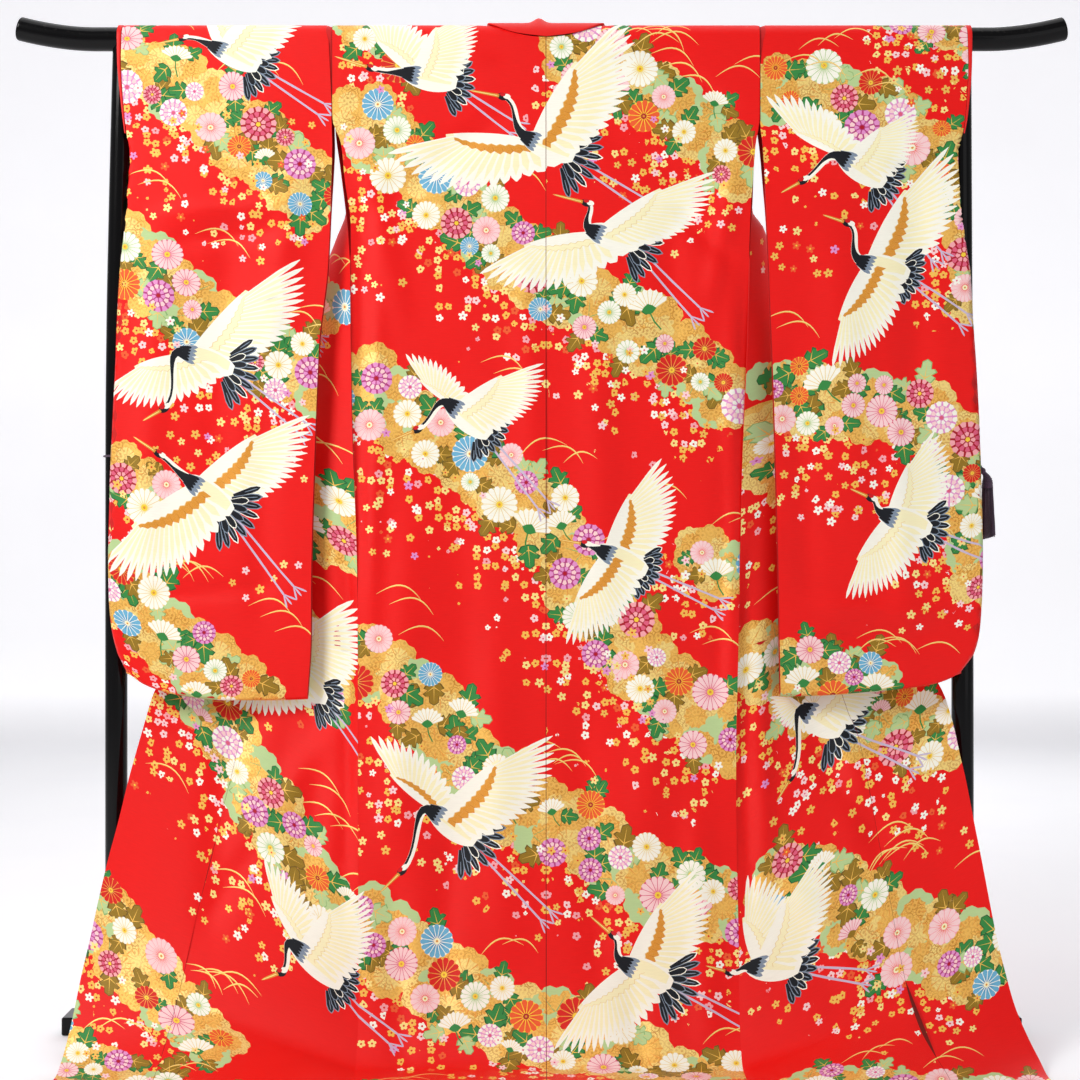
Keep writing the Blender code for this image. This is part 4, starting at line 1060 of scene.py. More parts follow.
LEAVES = (
    (5, leaf(Dye.GREEN, Dye.DARK_GREEN)),
    (3, leaf(Dye.OLIVE, Dye.DARK_OLIVE)),
    (2, leaf(Dye.MINT, Dye.DARK_MINT)),
)
BLOSSOMS = (
    (6, blossom(Dye.GOLD, Dye.SCARLET)),
    (4, blossom(Dye.PALE_GOLD, Dye.ORANGE)),
    (3, blossom(Dye.WHITE, Dye.ROSE)),
    (2, blossom(Dye.PALE_PINK, Dye.ROSE)),
    (1, blossom(Dye.ORCHID, Dye.MAGENTA)),
    (1, blossom(Dye.ORANGE, Dye.YELLOW)),
)


@dataclass
class Path:
    """A smooth line through places in millimetres, with its unit direction at each of its points."""

    places: Sequence[tuple[int, int]]
    route: np.ndarray = field(init=False)
    run: np.ndarray = field(init=False)
    reached: np.ndarray = field(init=False)

    def __post_init__(self) -> None:
        """Lay the line and measure it."""
        self.route = knots(np.array(self.places) / 1000, 12)
        self.run = unit(np.gradient(self.route, axis=0))
        self.reached = lengths(self.route)

    @property
    def length(self) -> float:
        """Return the line's length."""
        return float(self.reached[-1])

    def spot(self, way: float | np.ndarray, off: float | np.ndarray) -> np.ndarray:
        """Return places beside the line, with off above 0 below it."""
        at, heading = (columns(*(np.interp(way, self.reached, table[:, axis]) for axis in (0, 1)))
                       for table in (self.route, self.run))
        return at + square_to(heading) * off


@dataclass(frozen=True)
class Band:
    """A drift of flowers on gold cloud, along a path across the cloth, with blossoms before it and arcs behind it."""

    path: Path
    seed: int
    half: float = 0.050
    blossoms: int = 26
    arcs: int = 2
    mint: float = 0.22
    drift: float = 0.15

    def strewn(self) -> np.ndarray:
        """Return places below the band, 3 mm apart, with the share of small blossoms there, which falls with depth."""
        ways = np.arange(0.0, self.path.length, 0.003)
        depths = np.arange(0.0, 1.0, 0.003 / (self.drift * 1.15))
        offs = self.half * 0.60 + depths * self.drift * 1.15
        places = self.path.spot(ways[:, None], offs[None, :, None])
        ends = np.clip(np.minimum(ways, self.path.length - ways) / 0.04 + 0.3, 0.0, 1.0)
        shares = ends[:, None] * (0.90 * (1.0 - depths) ** 1.5)[None]
        return np.concatenate((places.reshape(-1, 2), shares.reshape(-1, 1)), axis=1)

    def draw(self, layers: dict[Layer, list[Shape]]) -> None:
        """Paint the band's motifs into the picture's layers.

        Clouds follow the path at even steps. Flowers are placed by chance where no other flower is too close, leaves
        stand out between them, and blossoms thin out with their distance below the path.
        """
        chance = np.random.default_rng(self.seed)
        total = self.path.length
        kept: list[tuple[np.ndarray, float]] = []
        for _ in range(int(total / 0.0045)):
            size = float(chance.choice((0.0290, 0.0255, 0.0225, 0.0190, 0.0150), p=(0.18, 0.28, 0.26, 0.18, 0.10)))
            place = self.path.spot(chance.uniform(0.01, total - 0.01), self.half * float(chance.uniform(-0.95, 0.95)))
            if all(np.linalg.norm(place - other) > (size + room) * 0.93 for other, room in kept):
                kept.append((place, size))
        for place, size in kept:
            for _ in range(int(chance.integers(1, 4))):
                motif = weighted(LEAVES, chance)
                angle = float(chance.uniform(0, math.tau))
                foot = place + np.array((math.cos(angle), math.sin(angle))) * size * 0.70
                layers[Layer.LEAF] += moved(motif, foot, angle + float(chance.uniform(-0.5, 0.5)),
                                            float(chance.uniform(0.028, 0.040)))
            flower = weighted(MUMS, chance)
            count = int(chance.choice((14, 16, 18)))
            turn = float(chance.uniform(-0.5, 0.5)) if flower.kind == "fan" else float(chance.uniform(0, math.tau))
            grown = size * (1.25 if flower.kind == "fan" else 1)
            layers[Layer.MUM] += moved(flower.shapes(count), place, turn, grown)
        self.clouds(layers, chance)
        self.scatter(layers, chance)

    def clouds(self, layers: dict[Layer, list[Shape]], chance: np.random.Generator) -> None:
        """Paint the gold cloud: scalloped patches, and line-drawn flowers and leaves on them."""
        for number, way in enumerate(np.arange(0.0, self.path.length, 0.024)):
            for off in ((-0.50, 0.55) if number % 2 else (0.0,)):
                place = self.path.spot(float(way + chance.uniform(-0.008, 0.008)),
                                       self.half * (off + float(chance.uniform(-0.15, 0.15))))
                size = self.half * float(chance.uniform(0.56, 0.80))
                lobes = int(chance.integers(7, 11))
                turn = float(chance.uniform(0, math.tau))
                pale = chance.uniform() < 0.35
                dye = Dye.MINT if chance.uniform() < self.mint else (Dye.PALE_CLOUD if pale else Dye.CLOUD)
                layers[Layer.CLOUD] += moved([(lobed(lobes, 0.12, turn, 3), dye)], place, 0.0, size)
                light = Dye.PALE_CLOUD if dye is Dye.CLOUD else Dye.CLOUD
                if chance.uniform() < 0.62:
                    layers[Layer.CLOUD_TONE] += moved(drawn_mum(10, light, Dye.AMBER), place, turn, size * 0.62)
                else:
                    edge = Dye.DARK_MINT if dye is Dye.MINT else Dye.AMBER
                    for lean in (-0.7, 0.5):
                        layers[Layer.CLOUD_TONE] += moved(drawn_leaf(light, edge), place, turn + lean, size * 0.95)

    def scatter(self, layers: dict[Layer, list[Shape]], chance: np.random.Generator) -> None:
        """Paint the blossoms below the band and the arcs of grass above it."""
        kept: list[np.ndarray] = []
        for _ in range(self.blossoms * 5):
            fall = self.half * 0.72 + self.drift * float(chance.uniform()) ** 1.9
            place = self.path.spot(float(chance.uniform(0.0, self.path.length)), fall)
            if len(kept) < self.blossoms * 0.8 and apart(place, kept, 0.0140):
                kept.append(place)
                layers[Layer.BLOSSOM] += chance_blossom(place, chance)
        for _ in range(self.arcs):
            way = float(chance.uniform(0.1, 0.9)) * self.path.length
            for number in range(int(chance.integers(2, 4))):
                place = self.path.spot(way + number * 0.022, -self.half * 1.35 - 0.016 * number)
                layers[Layer.ARC] += grass_arc(place, float(chance.uniform(0.050, 0.082)),
                                               float(chance.uniform(-0.25, 0.45)))


def weighted(table: Sequence[tuple[int, object]], chance: np.random.Generator) -> object:
    """Return one entry of a table whose rows start with their weight."""
    weights = np.array([row[0] for row in table], dtype=float)
    return table[int(chance.choice(len(table), p=weights / weights.sum()))][1]


def apart(place: np.ndarray, others: Sequence[np.ndarray], room: float) -> bool:
    """Return whether a place is further than some room from all others."""
    return all(np.linalg.norm(place - other) > room for other in others)


def chance_blossom(place: np.ndarray, chance: np.random.Generator) -> list[Shape]:
    """Return a blossom of any kind, turned and sized by chance."""
    blossom = weighted(BLOSSOMS, chance)
    return moved(blossom, place, float(chance.uniform(0, 6)), float(chance.uniform(0.0058, 0.0080)))


def grass_arc(place: np.ndarray, reach: float, turn: float) -> list[Shape]:
    """Return a gold crescent: a line of sine shape, thick in its middle and thin at both ends."""
    way = np.linspace(0.0, 1.0, 11)
    line = columns((way - 0.45) * reach, -0.34 * reach * np.sin(way * math.pi * 0.86 + 0.12)) @ turned(turn) + place
    thick = 0.0013 * np.sin(np.clip(way, 0.02, 0.98) * math.pi) ** 0.8
    return [(ribbon(line, thick, thick), Dye.GOLD), (ribbon(line, thick * 0.2, thick * 0.8), Dye.PALE_GOLD)]


@dataclass(frozen=True)
class Picture:
    """A picture on the cloth: its bands of flowers, its cranes, and single arcs and blossoms between them.

    An arc is x, y and its turn in thousandths, and a drift of blossoms is two corners and how many.
    """

    bands: tuple[Band, ...]
    cranes: tuple[Crane, ...]
    arcs: tuple[tuple[int, int, int], ...]
    drifts: tuple[tuple[int, int, int, int, int], ...]

    def strewn(self, to_cloth: Callable[[np.ndarray], np.ndarray]) -> np.ndarray:
        """Return places on the cloth below the bands with the share of small blossoms at each, n x 3."""
        found = np.concatenate([band.strewn() for band in self.bands])
        return np.concatenate((to_cloth(found[:, :2]), found[:, 2:]), axis=1)

    def draw(self, to_cloth: Callable[[np.ndarray], np.ndarray], full: bool = True) -> list[Shape]:
        """Return the picture's shapes in painting order, moved onto the cloth.

        Args:
            to_cloth: turns places in the picture into places on the flat cloth.
            full: whether the finest lines of the flowers and clouds are drawn too.
        """
        layers: dict[Layer, list[Shape]] = {layer: [] for layer in Layer}
        for band in self.bands:
            band.draw(layers)
        for arc in self.arcs:
            x, y, turn = np.array(arc) / 1000
            layers[Layer.ARC] += grass_arc(np.array((x, y)), 0.070, turn)
        for number, (*corners, count) in enumerate(self.drifts):
            chance = np.random.default_rng(900 + number)
            x0, y0, x1, y1 = np.array(corners) / 1000
            kept: list[np.ndarray] = []
            for _ in range(count * 4):
                place = np.array((chance.uniform(x0, x1), chance.uniform(y0, y1)))
                if len(kept) < count and apart(place, kept, 0.0165):
                    kept.append(place)
                    layers[Layer.BLOSSOM] += chance_blossom(place, chance)
        for crane in self.cranes:
            layers[Layer.CRANE] += crane.draw()
        if not full:
            layers[Layer.CLOUD_TONE] = []
            for layer in (Layer.LEAF, Layer.MUM, Layer.BLOSSOM):
                layers[layer] = [(shape, dye) for shape, dye in layers[layer] if shape.shape[1] > 4]
        return [(to_cloth(shape.reshape(-1, 2)).reshape(shape.shape), dye)
                for layer in Layer for shape, dye in layers[layer]]


# Pictures are laid out in millimetres: to the right of the garment's centre, and down from the shoulder fold.
LOW_LEFT_CRANE = Crane(((-345, 1487), (-392, 1518), (-423, 1543), (-282, 1515), (-226, 1571)),
                       ((-429, 1377), (-288, 1361)))
LOW_RIGHT_CRANE = Crane(((338, 1487), (276, 1474), (238, 1465), (404, 1518), (470, 1559)),
                        ((301, 1349), (407, 1358)))
BACK_PICTURE = Picture(
    (
        Band(Path(((-307, 135), (-150, 283), (22, 424), (147, 487), (307, 620))), 11, blossoms=44),
        Band(Path(((16, 41), (147, 111), (241, 171), (323, 252))), 12, blossoms=24, half=0.046),
        Band(Path(((-304, 558), (-197, 644), (-72, 722), (22, 816), (85, 926), (210, 1067), (307, 1137))), 13,
             blossoms=60),
        Band(Path(((-304, 973), (-182, 1083), (-72, 1208), (69, 1271), (147, 1333), (312, 1388))), 14, blossoms=60),
        Band(Path(((-304, 1380), (-182, 1474), (-56, 1537), (116, 1608), (304, 1678))), 15, blossoms=40, half=0.056),
        Band(Path(((-313, 14), (-229, 45), (-172, 92))), 16, blossoms=10, half=0.032, arcs=1),
        Band(Path(((226, 816), (310, 895))), 17, blossoms=12, half=0.04, arcs=1),
        Band(Path(((-313, 1741), (-119, 1788), (147, 1850), (304, 1897))), 18, blossoms=20, half=0.05),
    ),
    (
        Crane(((-182, 98), (-270, 83), (-329, 64), (-110, 114), (-53, 174)), ((-288, -5), (-138, -21))),
        Crane(((3, 205), (-64, 127), (-119, 117), (85, 240), (163, 302)), ((-229, 205), (103, 14)), 2),
        Crane(((103, 346), (66, 293), (11, 279), (182, 371), (232, 462)), ((-91, 390), (244, 246))),
        Crane(((-122, 628), (-197, 644), (-241, 663), (-69, 672), (-6, 761)), ((-216, 537), (-19, 544))),
        Crane(((116, 848), (63, 824), (19, 816), (176, 876), (263, 916)), ((166, 700), (31, 963)), 2),
        Crane(((-143, 1255), (-216, 1321), (-251, 1355), (-75, 1305), (-3, 1388)), ((-266, 1133), (-9, 1123)), 2),
        Crane(((147, 1474), (103, 1421), (66, 1390), (226, 1509), (307, 1556)), ((216, 1327), (16, 1575)), 1),
        LOW_RIGHT_CRANE,
        LOW_LEFT_CRANE,
    ),
    (
        (191, 73, 350), (205, 95, 400), (226, 114, 450), (179, 42, 600), (295, 102, 100), (323, 86, 200),
        (-72, 553, 300), (-53, 572, 350), (-232, 910, 200), (-213, 929, 300), (179, 753, 200), (251, 973, 300),
        (270, 992, 350), (22, 1161, 300), (41, 1177, 400), (-197, 973, 200),
    ),
    (
        (72, 221, 241, 283, 14), (241, 291, 307, 334, 8), (-304, 291, -197, 440, 16), (22, 511, 241, 628, 22),
        (-304, 722, -197, 848, 12), (85, 973, 163, 1098, 12), (-304, 1161, -229, 1318, 14),
        (116, 1380, 273, 1459, 10),
    ),
)
LEFT_SLEEVE_PICTURE = Picture(
    (
        Band(Path(((-680, 56), (-542, 135), (-417, 236), (-331, 307))), 21, blossoms=34),
        Band(Path(((-680, 354), (-542, 479), (-432, 534), (-331, 589))), 22, blossoms=44),
        Band(Path(((-683, 706), (-621, 746), (-566, 801))), 23, blossoms=8, half=0.036, mint=0.6, arcs=0),
        Band(Path(((-686, 871), (-597, 960), (-519, 1023), (-445, 1086))), 24, blossoms=18, half=0.052),
    ),
    (
        Crane(((-487, 67), (-563, 36), (-605, 48), (-420, 102), (-351, 146)), ((-534, -77), (-398, -71))),
        Crane(((-527, 550), (-589, 625), (-624, 647), (-445, 575), (-378, 644)), ((-401, 393), (-680, 597))),
        Crane(((-523, 753), (-597, 697), (-639, 672), (-451, 801), (-398, 895)), ((-385, 628), (-683, 863)), 2),
    ),
    (
        (-621, 277, 300), (-605, 293, 350), (-517, 365, 300), (-498, 381, 350), (-432, 929, 300),
        (-414, 948, 350), (-392, 973, 400),
    ),
    (
        (-652, 158, -346, 334, 26), (-621, 616, -338, 725, 24), (-495, 848, -346, 910, 8),
    ),
)
RIGHT_SLEEVE_PICTURE = Picture(
    (
        Band(Path(((338, 105), (476, 146), (602, 229), (672, 307), (696, 487))), 31, blossoms=30),
        Band(Path(((338, 584), (492, 616), (625, 659), (677, 785), (688, 926))), 32, blossoms=36),
        Band(Path(((354, 1017), (461, 1039), (523, 1067))), 33, blossoms=10, half=0.04, mint=0.6, arcs=1),
        Band(Path(((523, -21), (602, 8), (688, 64))), 34, blossoms=8, half=0.03, arcs=0),
    ),
    (
        Crane(((489, 249), (401, 261), (364, 280), (548, 290), (605, 390)), ((348, 139), (561, 158))),
        Crane(((523, 406), (470, 334), (429, 318), (589, 428), (646, 493)), ((608, 230), (442, 540)), 2),
        Crane(((555, 797), (505, 761), (470, 744), (624, 822), (680, 857)), ((592, 669), (464, 898))),
    ),
    (
        (398, 86, 300), (429, 98, 350), (505, 114, 300), (530, 133, 400), (511, 985, 200), (539, 1001, 300),
        (602, 1010, 300), (367, 487, 300), (385, 503, 350),
    ),
    (
        (533, 33, 657, 146, 16), (348, 318, 448, 415, 12), (354, 706, 555, 793, 22), (548, 855, 668, 976, 16),
    ),
)
LEFT_SKIRT_PICTURE = Picture(
    (
        Band(Path(((-621, 1036), (-519, 1177), (-401, 1318), (-304, 1435))), 41, blossoms=44),
        Band(Path(((-752, 1474), (-668, 1553), (-558, 1631), (-464, 1694))), 42, blossoms=24),
        Band(Path(((-495, 996), (-385, 1004), (-304, 1067))), 43, blossoms=14, half=0.04),
        Band(Path(((-480, 675), (-385, 753), (-304, 848))), 44, blossoms=20),
        Band(Path(((-762, 1741), (-574, 1819), (-323, 1897))), 45, blossoms=14),
    ),
    (
        Crane(((-385, 1076), (-445, 1051), (-483, 1036), (-317, 1101), (-254, 1164)), ((-313, 923), (-530, 1136))),
        LOW_LEFT_CRANE,
    ),
    (
        (-480, 1427, 200), (-461, 1446, 300), (-589, 1318, 300), (-354, 1224, 300), (-338, 1242, 350),
    ),
    (
        (-668, 1161, -542, 1349, 14), (-542, 1380, -385, 1521, 16), (-746, 1380, -668, 1474, 6),
    ),
)
RIGHT_SKIRT_PICTURE = Picture(
    (
        Band(Path(((320, 989), (398, 1083), (531, 1200), (649, 1294))), 51, blossoms=44),
        Band(Path(((338, 1349), (414, 1419), (555, 1537), (680, 1631))), 52, blossoms=34),
        Band(Path(((320, 644), (398, 753), (476, 848))), 53, blossoms=20),
        Band(Path(((335, 1741), (523, 1819), (743, 1897))), 54, blossoms=14),
    ),
    (
        Crane(((432, 1158), (382, 1220), (354, 1249), (486, 1217), (567, 1283)), ((354, 1086), (539, 1095))),
        LOW_RIGHT_CRANE,
    ),
    (
        (523, 1380, 200), (545, 1399, 300), (602, 1161, 300), (351, 942, 300), (649, 1474, 300),
    ),
    (
        (335, 1208, 445, 1333, 12), (555, 1349, 680, 1443, 10), (398, 1537, 523, 1631, 10),
    ),
)


def stretch_of(side: Side, panels: "Panels") -> Callable[[np.ndarray], np.ndarray]:
    """Return the map from the picture to the spread front: the distance from the side seam along the cloth.

    It is the distance across the picture times the row's length over its width as seen from the near side.
    """
    down = np.linspace(0.60, LENGTH, 90)
    outer, inner = front_edges(side, down)
    okumi = np.interp(down, panels.okumi.along, panels.okumi.width)
    cloth = np.interp(down, panels.front.along, panels.front.width) + okumi
    ratio = cloth / (inner[:, 0] - outer[:, 0])

    def onto(place: np.ndarray) -> np.ndarray:
        """Return distances from the side seam and from the shoulder fold."""
        start = np.interp(place[:, 1], down, outer[:, 0])
        return columns((side.value * place[:, 0] - start) * np.interp(place[:, 1], down, ratio), place[:, 1])

    return onto


def seam(at: float, start: float, end: float) -> list[Shape]:
    """Return a seam's dark line along the cloth, from a panel's edge at `at` inwards."""
    first, last = at - 0.001, at + SEAM_WIDTH
    return [(np.array([[(first, start), (last, start), (last, end), (first, end)]]), Dye.SEAM)]


def nearer(shapes: list[Shape], low: float, high: float) -> list[Shape]:
    """Return the shapes whose middle lies between two distances from the shoulder fold."""
    return [(shape, dye) for shape, dye in shapes if low <= abs(float(shape[:, :, 1].mean())) < high]


def below_fold(shapes: list[Shape]) -> list[Shape]:
    """Return the shapes that lie wholly past the shoulder fold, on the far side."""
    return [(shape, dye) for shape, dye in shapes if float(shape[:, :, 1].max()) < 0]


SKIRT_PICTURES = {Side.LEFT: LEFT_SKIRT_PICTURE, Side.RIGHT: RIGHT_SKIRT_PICTURE}
SLEEVE_PICTURES = {Side.LEFT: LEFT_SLEEVE_PICTURE, Side.RIGHT: RIGHT_SLEEVE_PICTURE}
HIDDEN_SHIFT = 0.40
SEAM_WIDTH = 0.0005
SEWN = 0.165
SPREAD_FROM = 0.60


def body_picture(side: Side, panels: "Panels") -> tuple[list[Shape], np.ndarray]:
    """Return one half's shapes and strewn places: the back's, the spread front's, and those of the hidden front."""
    onto = stretch_of(side, panels)

    def back(place: np.ndarray) -> np.ndarray:
        """Return places on the back."""
        return place * (side.value, 1.0)

    def front(place: np.ndarray) -> np.ndarray:
        """Return places on the spread front."""
        flat = onto(place)
        return columns(SHOULDER - flat[:, 0], -flat[:, 1])

    def hidden(place: np.ndarray) -> np.ndarray:
        """Return places on the front's upper part, which shows from behind."""
        return columns(-side.value * place[:, 0], HIDDEN_SHIFT - place[:, 1])

    upper = below_fold(nearer(BACK_PICTURE.draw(hidden, False), 0.0, SPREAD_FROM))
    shapes = (upper + nearer(SKIRT_PICTURES[side].draw(front), SPREAD_FROM, 9.0) + BACK_PICTURE.draw(back)
              + seam(0.0, NECK_DEPTH, LENGTH))
    behind, spread = BACK_PICTURE.strewn(hidden), SKIRT_PICTURES[side].strewn(front)
    return shapes, np.concatenate((behind[(behind[:, 1] < 0) & (behind[:, 1] > -SPREAD_FROM)],
                                   spread[spread[:, 1] < -SPREAD_FROM], BACK_PICTURE.strewn(back)))


def okumi_picture(side: Side, panels: "Panels") -> tuple[list[Shape], np.ndarray]:
    """Return the overlap panel's shapes and strewn places: the spread front's picture goes on across the seam."""
    onto = stretch_of(side, panels)

    def okumi(place: np.ndarray) -> np.ndarray:
        """Return places on the overlap panel."""
        flat = onto(place)
        sewn = np.interp(flat[:, 1], panels.front.along, panels.front.width)
        return columns(flat[:, 0] - sewn, -flat[:, 1])

    picture = SKIRT_PICTURES[side]
    return nearer(picture.draw(okumi), 0.0, 9.0) + seam(0.0, -LENGTH, 0.0), picture.strewn(okumi)


def sleeve_picture(side: Side) -> tuple[list[Shape], np.ndarray]:
    """Return a sleeve's shapes and strewn places: its own on the near layer and the other sleeve's on the far one."""
    other = Side(-side.value)

    def near(place: np.ndarray) -> np.ndarray:
        """Return places on the near layer."""
        return columns(side.value * place[:, 0] - sleeve_inner_edge(side, place[:, 1]), place[:, 1])

    def far(place: np.ndarray) -> np.ndarray:
        """Return places on the far layer."""
        return columns(other.value * place[:, 0] - sleeve_inner_edge(other, place[:, 1]), -place[:, 1])

    strewn = SLEEVE_PICTURES[other].strewn(far)
    return (below_fold(SLEEVE_PICTURES[other].draw(far, False)) + SLEEVE_PICTURES[side].draw(near)
            + seam(0.0, -SEWN, SEWN), np.concatenate((strewn[strewn[:, 1] < 0], SLEEVE_PICTURES[side].strewn(near))))


def mouth_width(distance: np.ndarray) -> np.ndarray:
    """Return the width of the wrist edging, which narrows evenly from the shoulder fold to the opening's end."""
    return 0.0085 - 0.0060 * np.clip(distance / MOUTH, 0.0, 1.0)


def ring_edges(shape: np.ndarray) -> tuple[np.ndarray, np.ndarray]:
    """Return the starts and ends of the sides of a shape of one or more closed loops, k x m x 2."""
    return shape.reshape(-1, 2), np.roll(shape, -1, axis=1).reshape(-1, 2)


def inside(points: np.ndarray, starts: np.ndarray, ends: np.ndarray) -> np.ndarray:
    """Return which points lie inside loops: a ray to the right crosses their sides an odd number of times.

    Args:
        points: n x 2.
        starts: the sides' first ends, m x 2.
        ends: the sides' second ends, m x 2.
    """
    y = points[:, 1][:, None]
    low, high = starts[:, 1][None, :], ends[:, 1][None, :]
    crosses = (low > y) != (high > y)
    run = np.where(high == low, 1.0, high - low)
    x = starts[:, 0][None, :] + (y - low) / run * (ends[:, 0] - starts[:, 0])[None, :]
    return (crosses & (points[:, 0][:, None] < x)).sum(axis=1) % 2 == 1


EDGE_ROOM = 0.0040
MOTIF_ROOM = 0.0090
COVER_SIZE = 0.009
LINING_COARSER = 1.25
STREWN_CELL = 0.006


@dataclass
class Domain:
    """The flat outline of a cloth piece, with the rows and columns at which its shell bends."""

    outline: np.ndarray
    rows: np.ndarray
    column: float = 0.0100

    def lattice(self, column: float, rows: np.ndarray) -> np.ndarray:
        """Return the points of a lattice inside the outline, every second row moved by half a column."""
        low, high = self.outline.min(axis=0), self.outline.max(axis=0)
        across = np.arange(low[0] + column / 2, high[0], column)
        grid_x, grid_y = np.meshgrid(across, rows)
        grid_x[1::2] += column / 2
        points = columns(grid_x.ravel(), grid_y.ravel())
        kept = points[within(points, *ring_edges(self.outline[None]))]
        edge = set(map(tuple, np.round(self.outline / EDGE_ROOM).astype(int).tolist()))
        cells = np.round(kept / EDGE_ROOM).astype(int).tolist()
        return kept[[tuple(cell) not in edge for cell in cells]]

    def keep(self, shapes: Sequence[Shape]) -> list[Shape]:
        """Return the shapes that have a corner inside the outline."""
        if not shapes:
            return []
        corners = np.concatenate([shape.reshape(-1, 2) for shape, _ in shapes])
        held = within(corners, *ring_edges(self.outline[None]))
        ends = np.cumsum([shape.shape[0] * shape.shape[1] for shape, _ in shapes])
        starts = np.concatenate(([0], ends[:-1]))
        return [row for row, start, end in zip(shapes, starts, ends) if held[start:end].any()]


def flat_mesh(points: np.ndarray, sides: np.ndarray, bounds: tuple[np.ndarray, np.ndarray]) -> tuple[
        np.ndarray, np.ndarray, np.ndarray]:
    """Return a triangulation of points that keeps the given sides and is cut to its bounds.

    Args:
        points: n x 2.
        sides: pairs of point numbers.
        bounds: the starts and ends of the outline's sides.

    Returns:
        The points, the triangles inside the bounds, and each given point's number among the points.
    """
    found = delaunay_2d_cdt([Vector(point) for point in points.tolist()], sides.tolist(), [], 0, 1e-6, True)
    vertices = np.array([tuple(point) for point in found[0]])
    triangles = np.array(found[2])
    centres = vertices[triangles].mean(axis=1)
    triangles = triangles[within(centres, *bounds)]
    number = np.zeros(len(points), dtype=int)
    for index, given in enumerate(found[3]):
        number[given] = index
    return vertices, triangles, number


def renumbered(index: np.ndarray) -> tuple[np.ndarray, np.ndarray]:
    """Return the point numbers that a table uses, and the table with each one's place among them."""
    used, places = np.unique(index, return_inverse=True)
    return used, places.reshape(index.shape)


def face_normals(corners: np.ndarray) -> np.ndarray:
    """Return the cross products of two sides of triangles, n x 3 x 3."""
    return np.cross(corners[:, 1] - corners[:, 0], corners[:, 2] - corners[:, 0])


def within(points: np.ndarray, starts: np.ndarray, ends: np.ndarray, step: float = 0.02) -> np.ndarray:
    """Return which points lie inside loops, a band of heights at a time with the sides that reach it.

    Args:
        points: n x 2 places.
        starts: the sides' first ends.
        ends: the sides' second ends.
        step: how high a band is.
    """
    found = np.zeros(len(points), dtype=bool)
    order = np.argsort(points[:, 1])
    heights = points[order, 1]
    low, high = np.minimum(starts[:, 1], ends[:, 1]), np.maximum(starts[:, 1], ends[:, 1])
    for bottom in np.arange(heights[0], heights[-1] + step, step):
        first, last = np.searchsorted(heights, (bottom, bottom + step))
        if last > first:
            near = (high >= bottom) & (low <= bottom + step)
            found[order[first:last]] = inside(points[order[first:last]], starts[near], ends[near])
    return found


def sides_in_sight(shapes: Sequence[Shape]) -> tuple[np.ndarray, np.ndarray, np.ndarray]:
    """Return all corners, the number of the corner after each, and whether the side between them is in sight.

    A side is out of sight where a shape painted later covers both its ends. A round shape covers its inner circle.
    """
    corners = np.concatenate([shape.reshape(-1, 2) for shape, _ in shapes])
    sizes = [shape.shape[:2] for shape, _ in shapes]
    order = np.repeat(np.arange(len(shapes)), [count * size for count, size in sizes])
    following = np.empty(len(corners), dtype=int)
    first = 0
    for count, size in sizes:
        index = first + np.arange(count * size).reshape(count, size)
        following[index] = np.roll(index, -1, axis=1)
        first += count * size
    hidden = np.zeros(len(corners), dtype=bool)
    ranked = np.argsort(corners[:, 0])
    across = corners[ranked, 0]
    for number, (shape, _) in enumerate(shapes):
        if shape.shape[0] != 1 or shape.shape[1] < 12:
            continue
        starts, ends = ring_edges(shape)
        low, high = starts.min(axis=0), starts.max(axis=0)
        if (high - low).max() < COVER_SIZE:
            continue
        centre = starts.mean(axis=0)
        run = ends - starts
        share = np.clip(((centre - starts) * run).sum(axis=1) / np.maximum((run ** 2).sum(axis=1), 1e-12), 0, 1)
        inner = np.linalg.norm(starts + run * share[:, None] - centre, axis=1).min()
        near = ranked[slice(*np.searchsorted(across, (low[0], high[0])))]
        near = near[(order[near] < number) & (corners[near, 1] > low[1]) & (corners[near, 1] < high[1])]
        near = near[~hidden[near]]
        if not len(near):
            continue
        both = corners[near], corners[following[near]]
        if inner > 0.6 * np.linalg.norm(starts - centre, axis=1).max():
            held = [np.linalg.norm(points - centre, axis=1) < inner * 0.999 for points in both]
        else:
            held = [inside(points, starts, ends) for points in both]
        hidden[near[held[0] & held[1]]] = True
    return corners, following, ~hidden


def rim_of(triangles: np.ndarray) -> np.ndarray:
    """Return the directed sides that only one triangle has."""
    sides = np.concatenate((triangles[:, (0, 1)], triangles[:, (1, 2)], triangles[:, (2, 0)]))
    size = int(triangles.max()) + 1
    ahead = sides[:, 0].astype(np.int64) * size + sides[:, 1]
    back = sides[:, 1].astype(np.int64) * size + sides[:, 0]
    return sides[~np.isin(ahead, back)]


def dyed(vertices: np.ndarray, triangles: np.ndarray, shapes: Sequence[Shape], ground: Dye) -> np.ndarray:
    """Return each triangle's colour and gold share: those of the last shape that holds its centre.

    Args:
        vertices: the mesh's flat places.
        triangles: its triangles.
        shapes: the picture's shapes, in the order of painting.
        ground: the cloth's own colour.
    """
    centres = vertices[triangles].mean(axis=1)
    order = np.argsort(centres[:, 1])
    heights = centres[order, 1]
    colours = np.tile(np.array(ground.thread), (len(triangles), 1))
    for shape, dye in shapes:
        starts, ends = ring_edges(shape)
        low, high = starts.min(axis=0), starts.max(axis=0)
        first, last = np.searchsorted(heights, (low[1], high[1]))
        band = order[first:last]
        band = band[(centres[band, 0] > low[0]) & (centres[band, 0] < high[0])]
        if len(band):
            colours[band[inside(centres[band], starts, ends)]] = dye.thread
    return colours


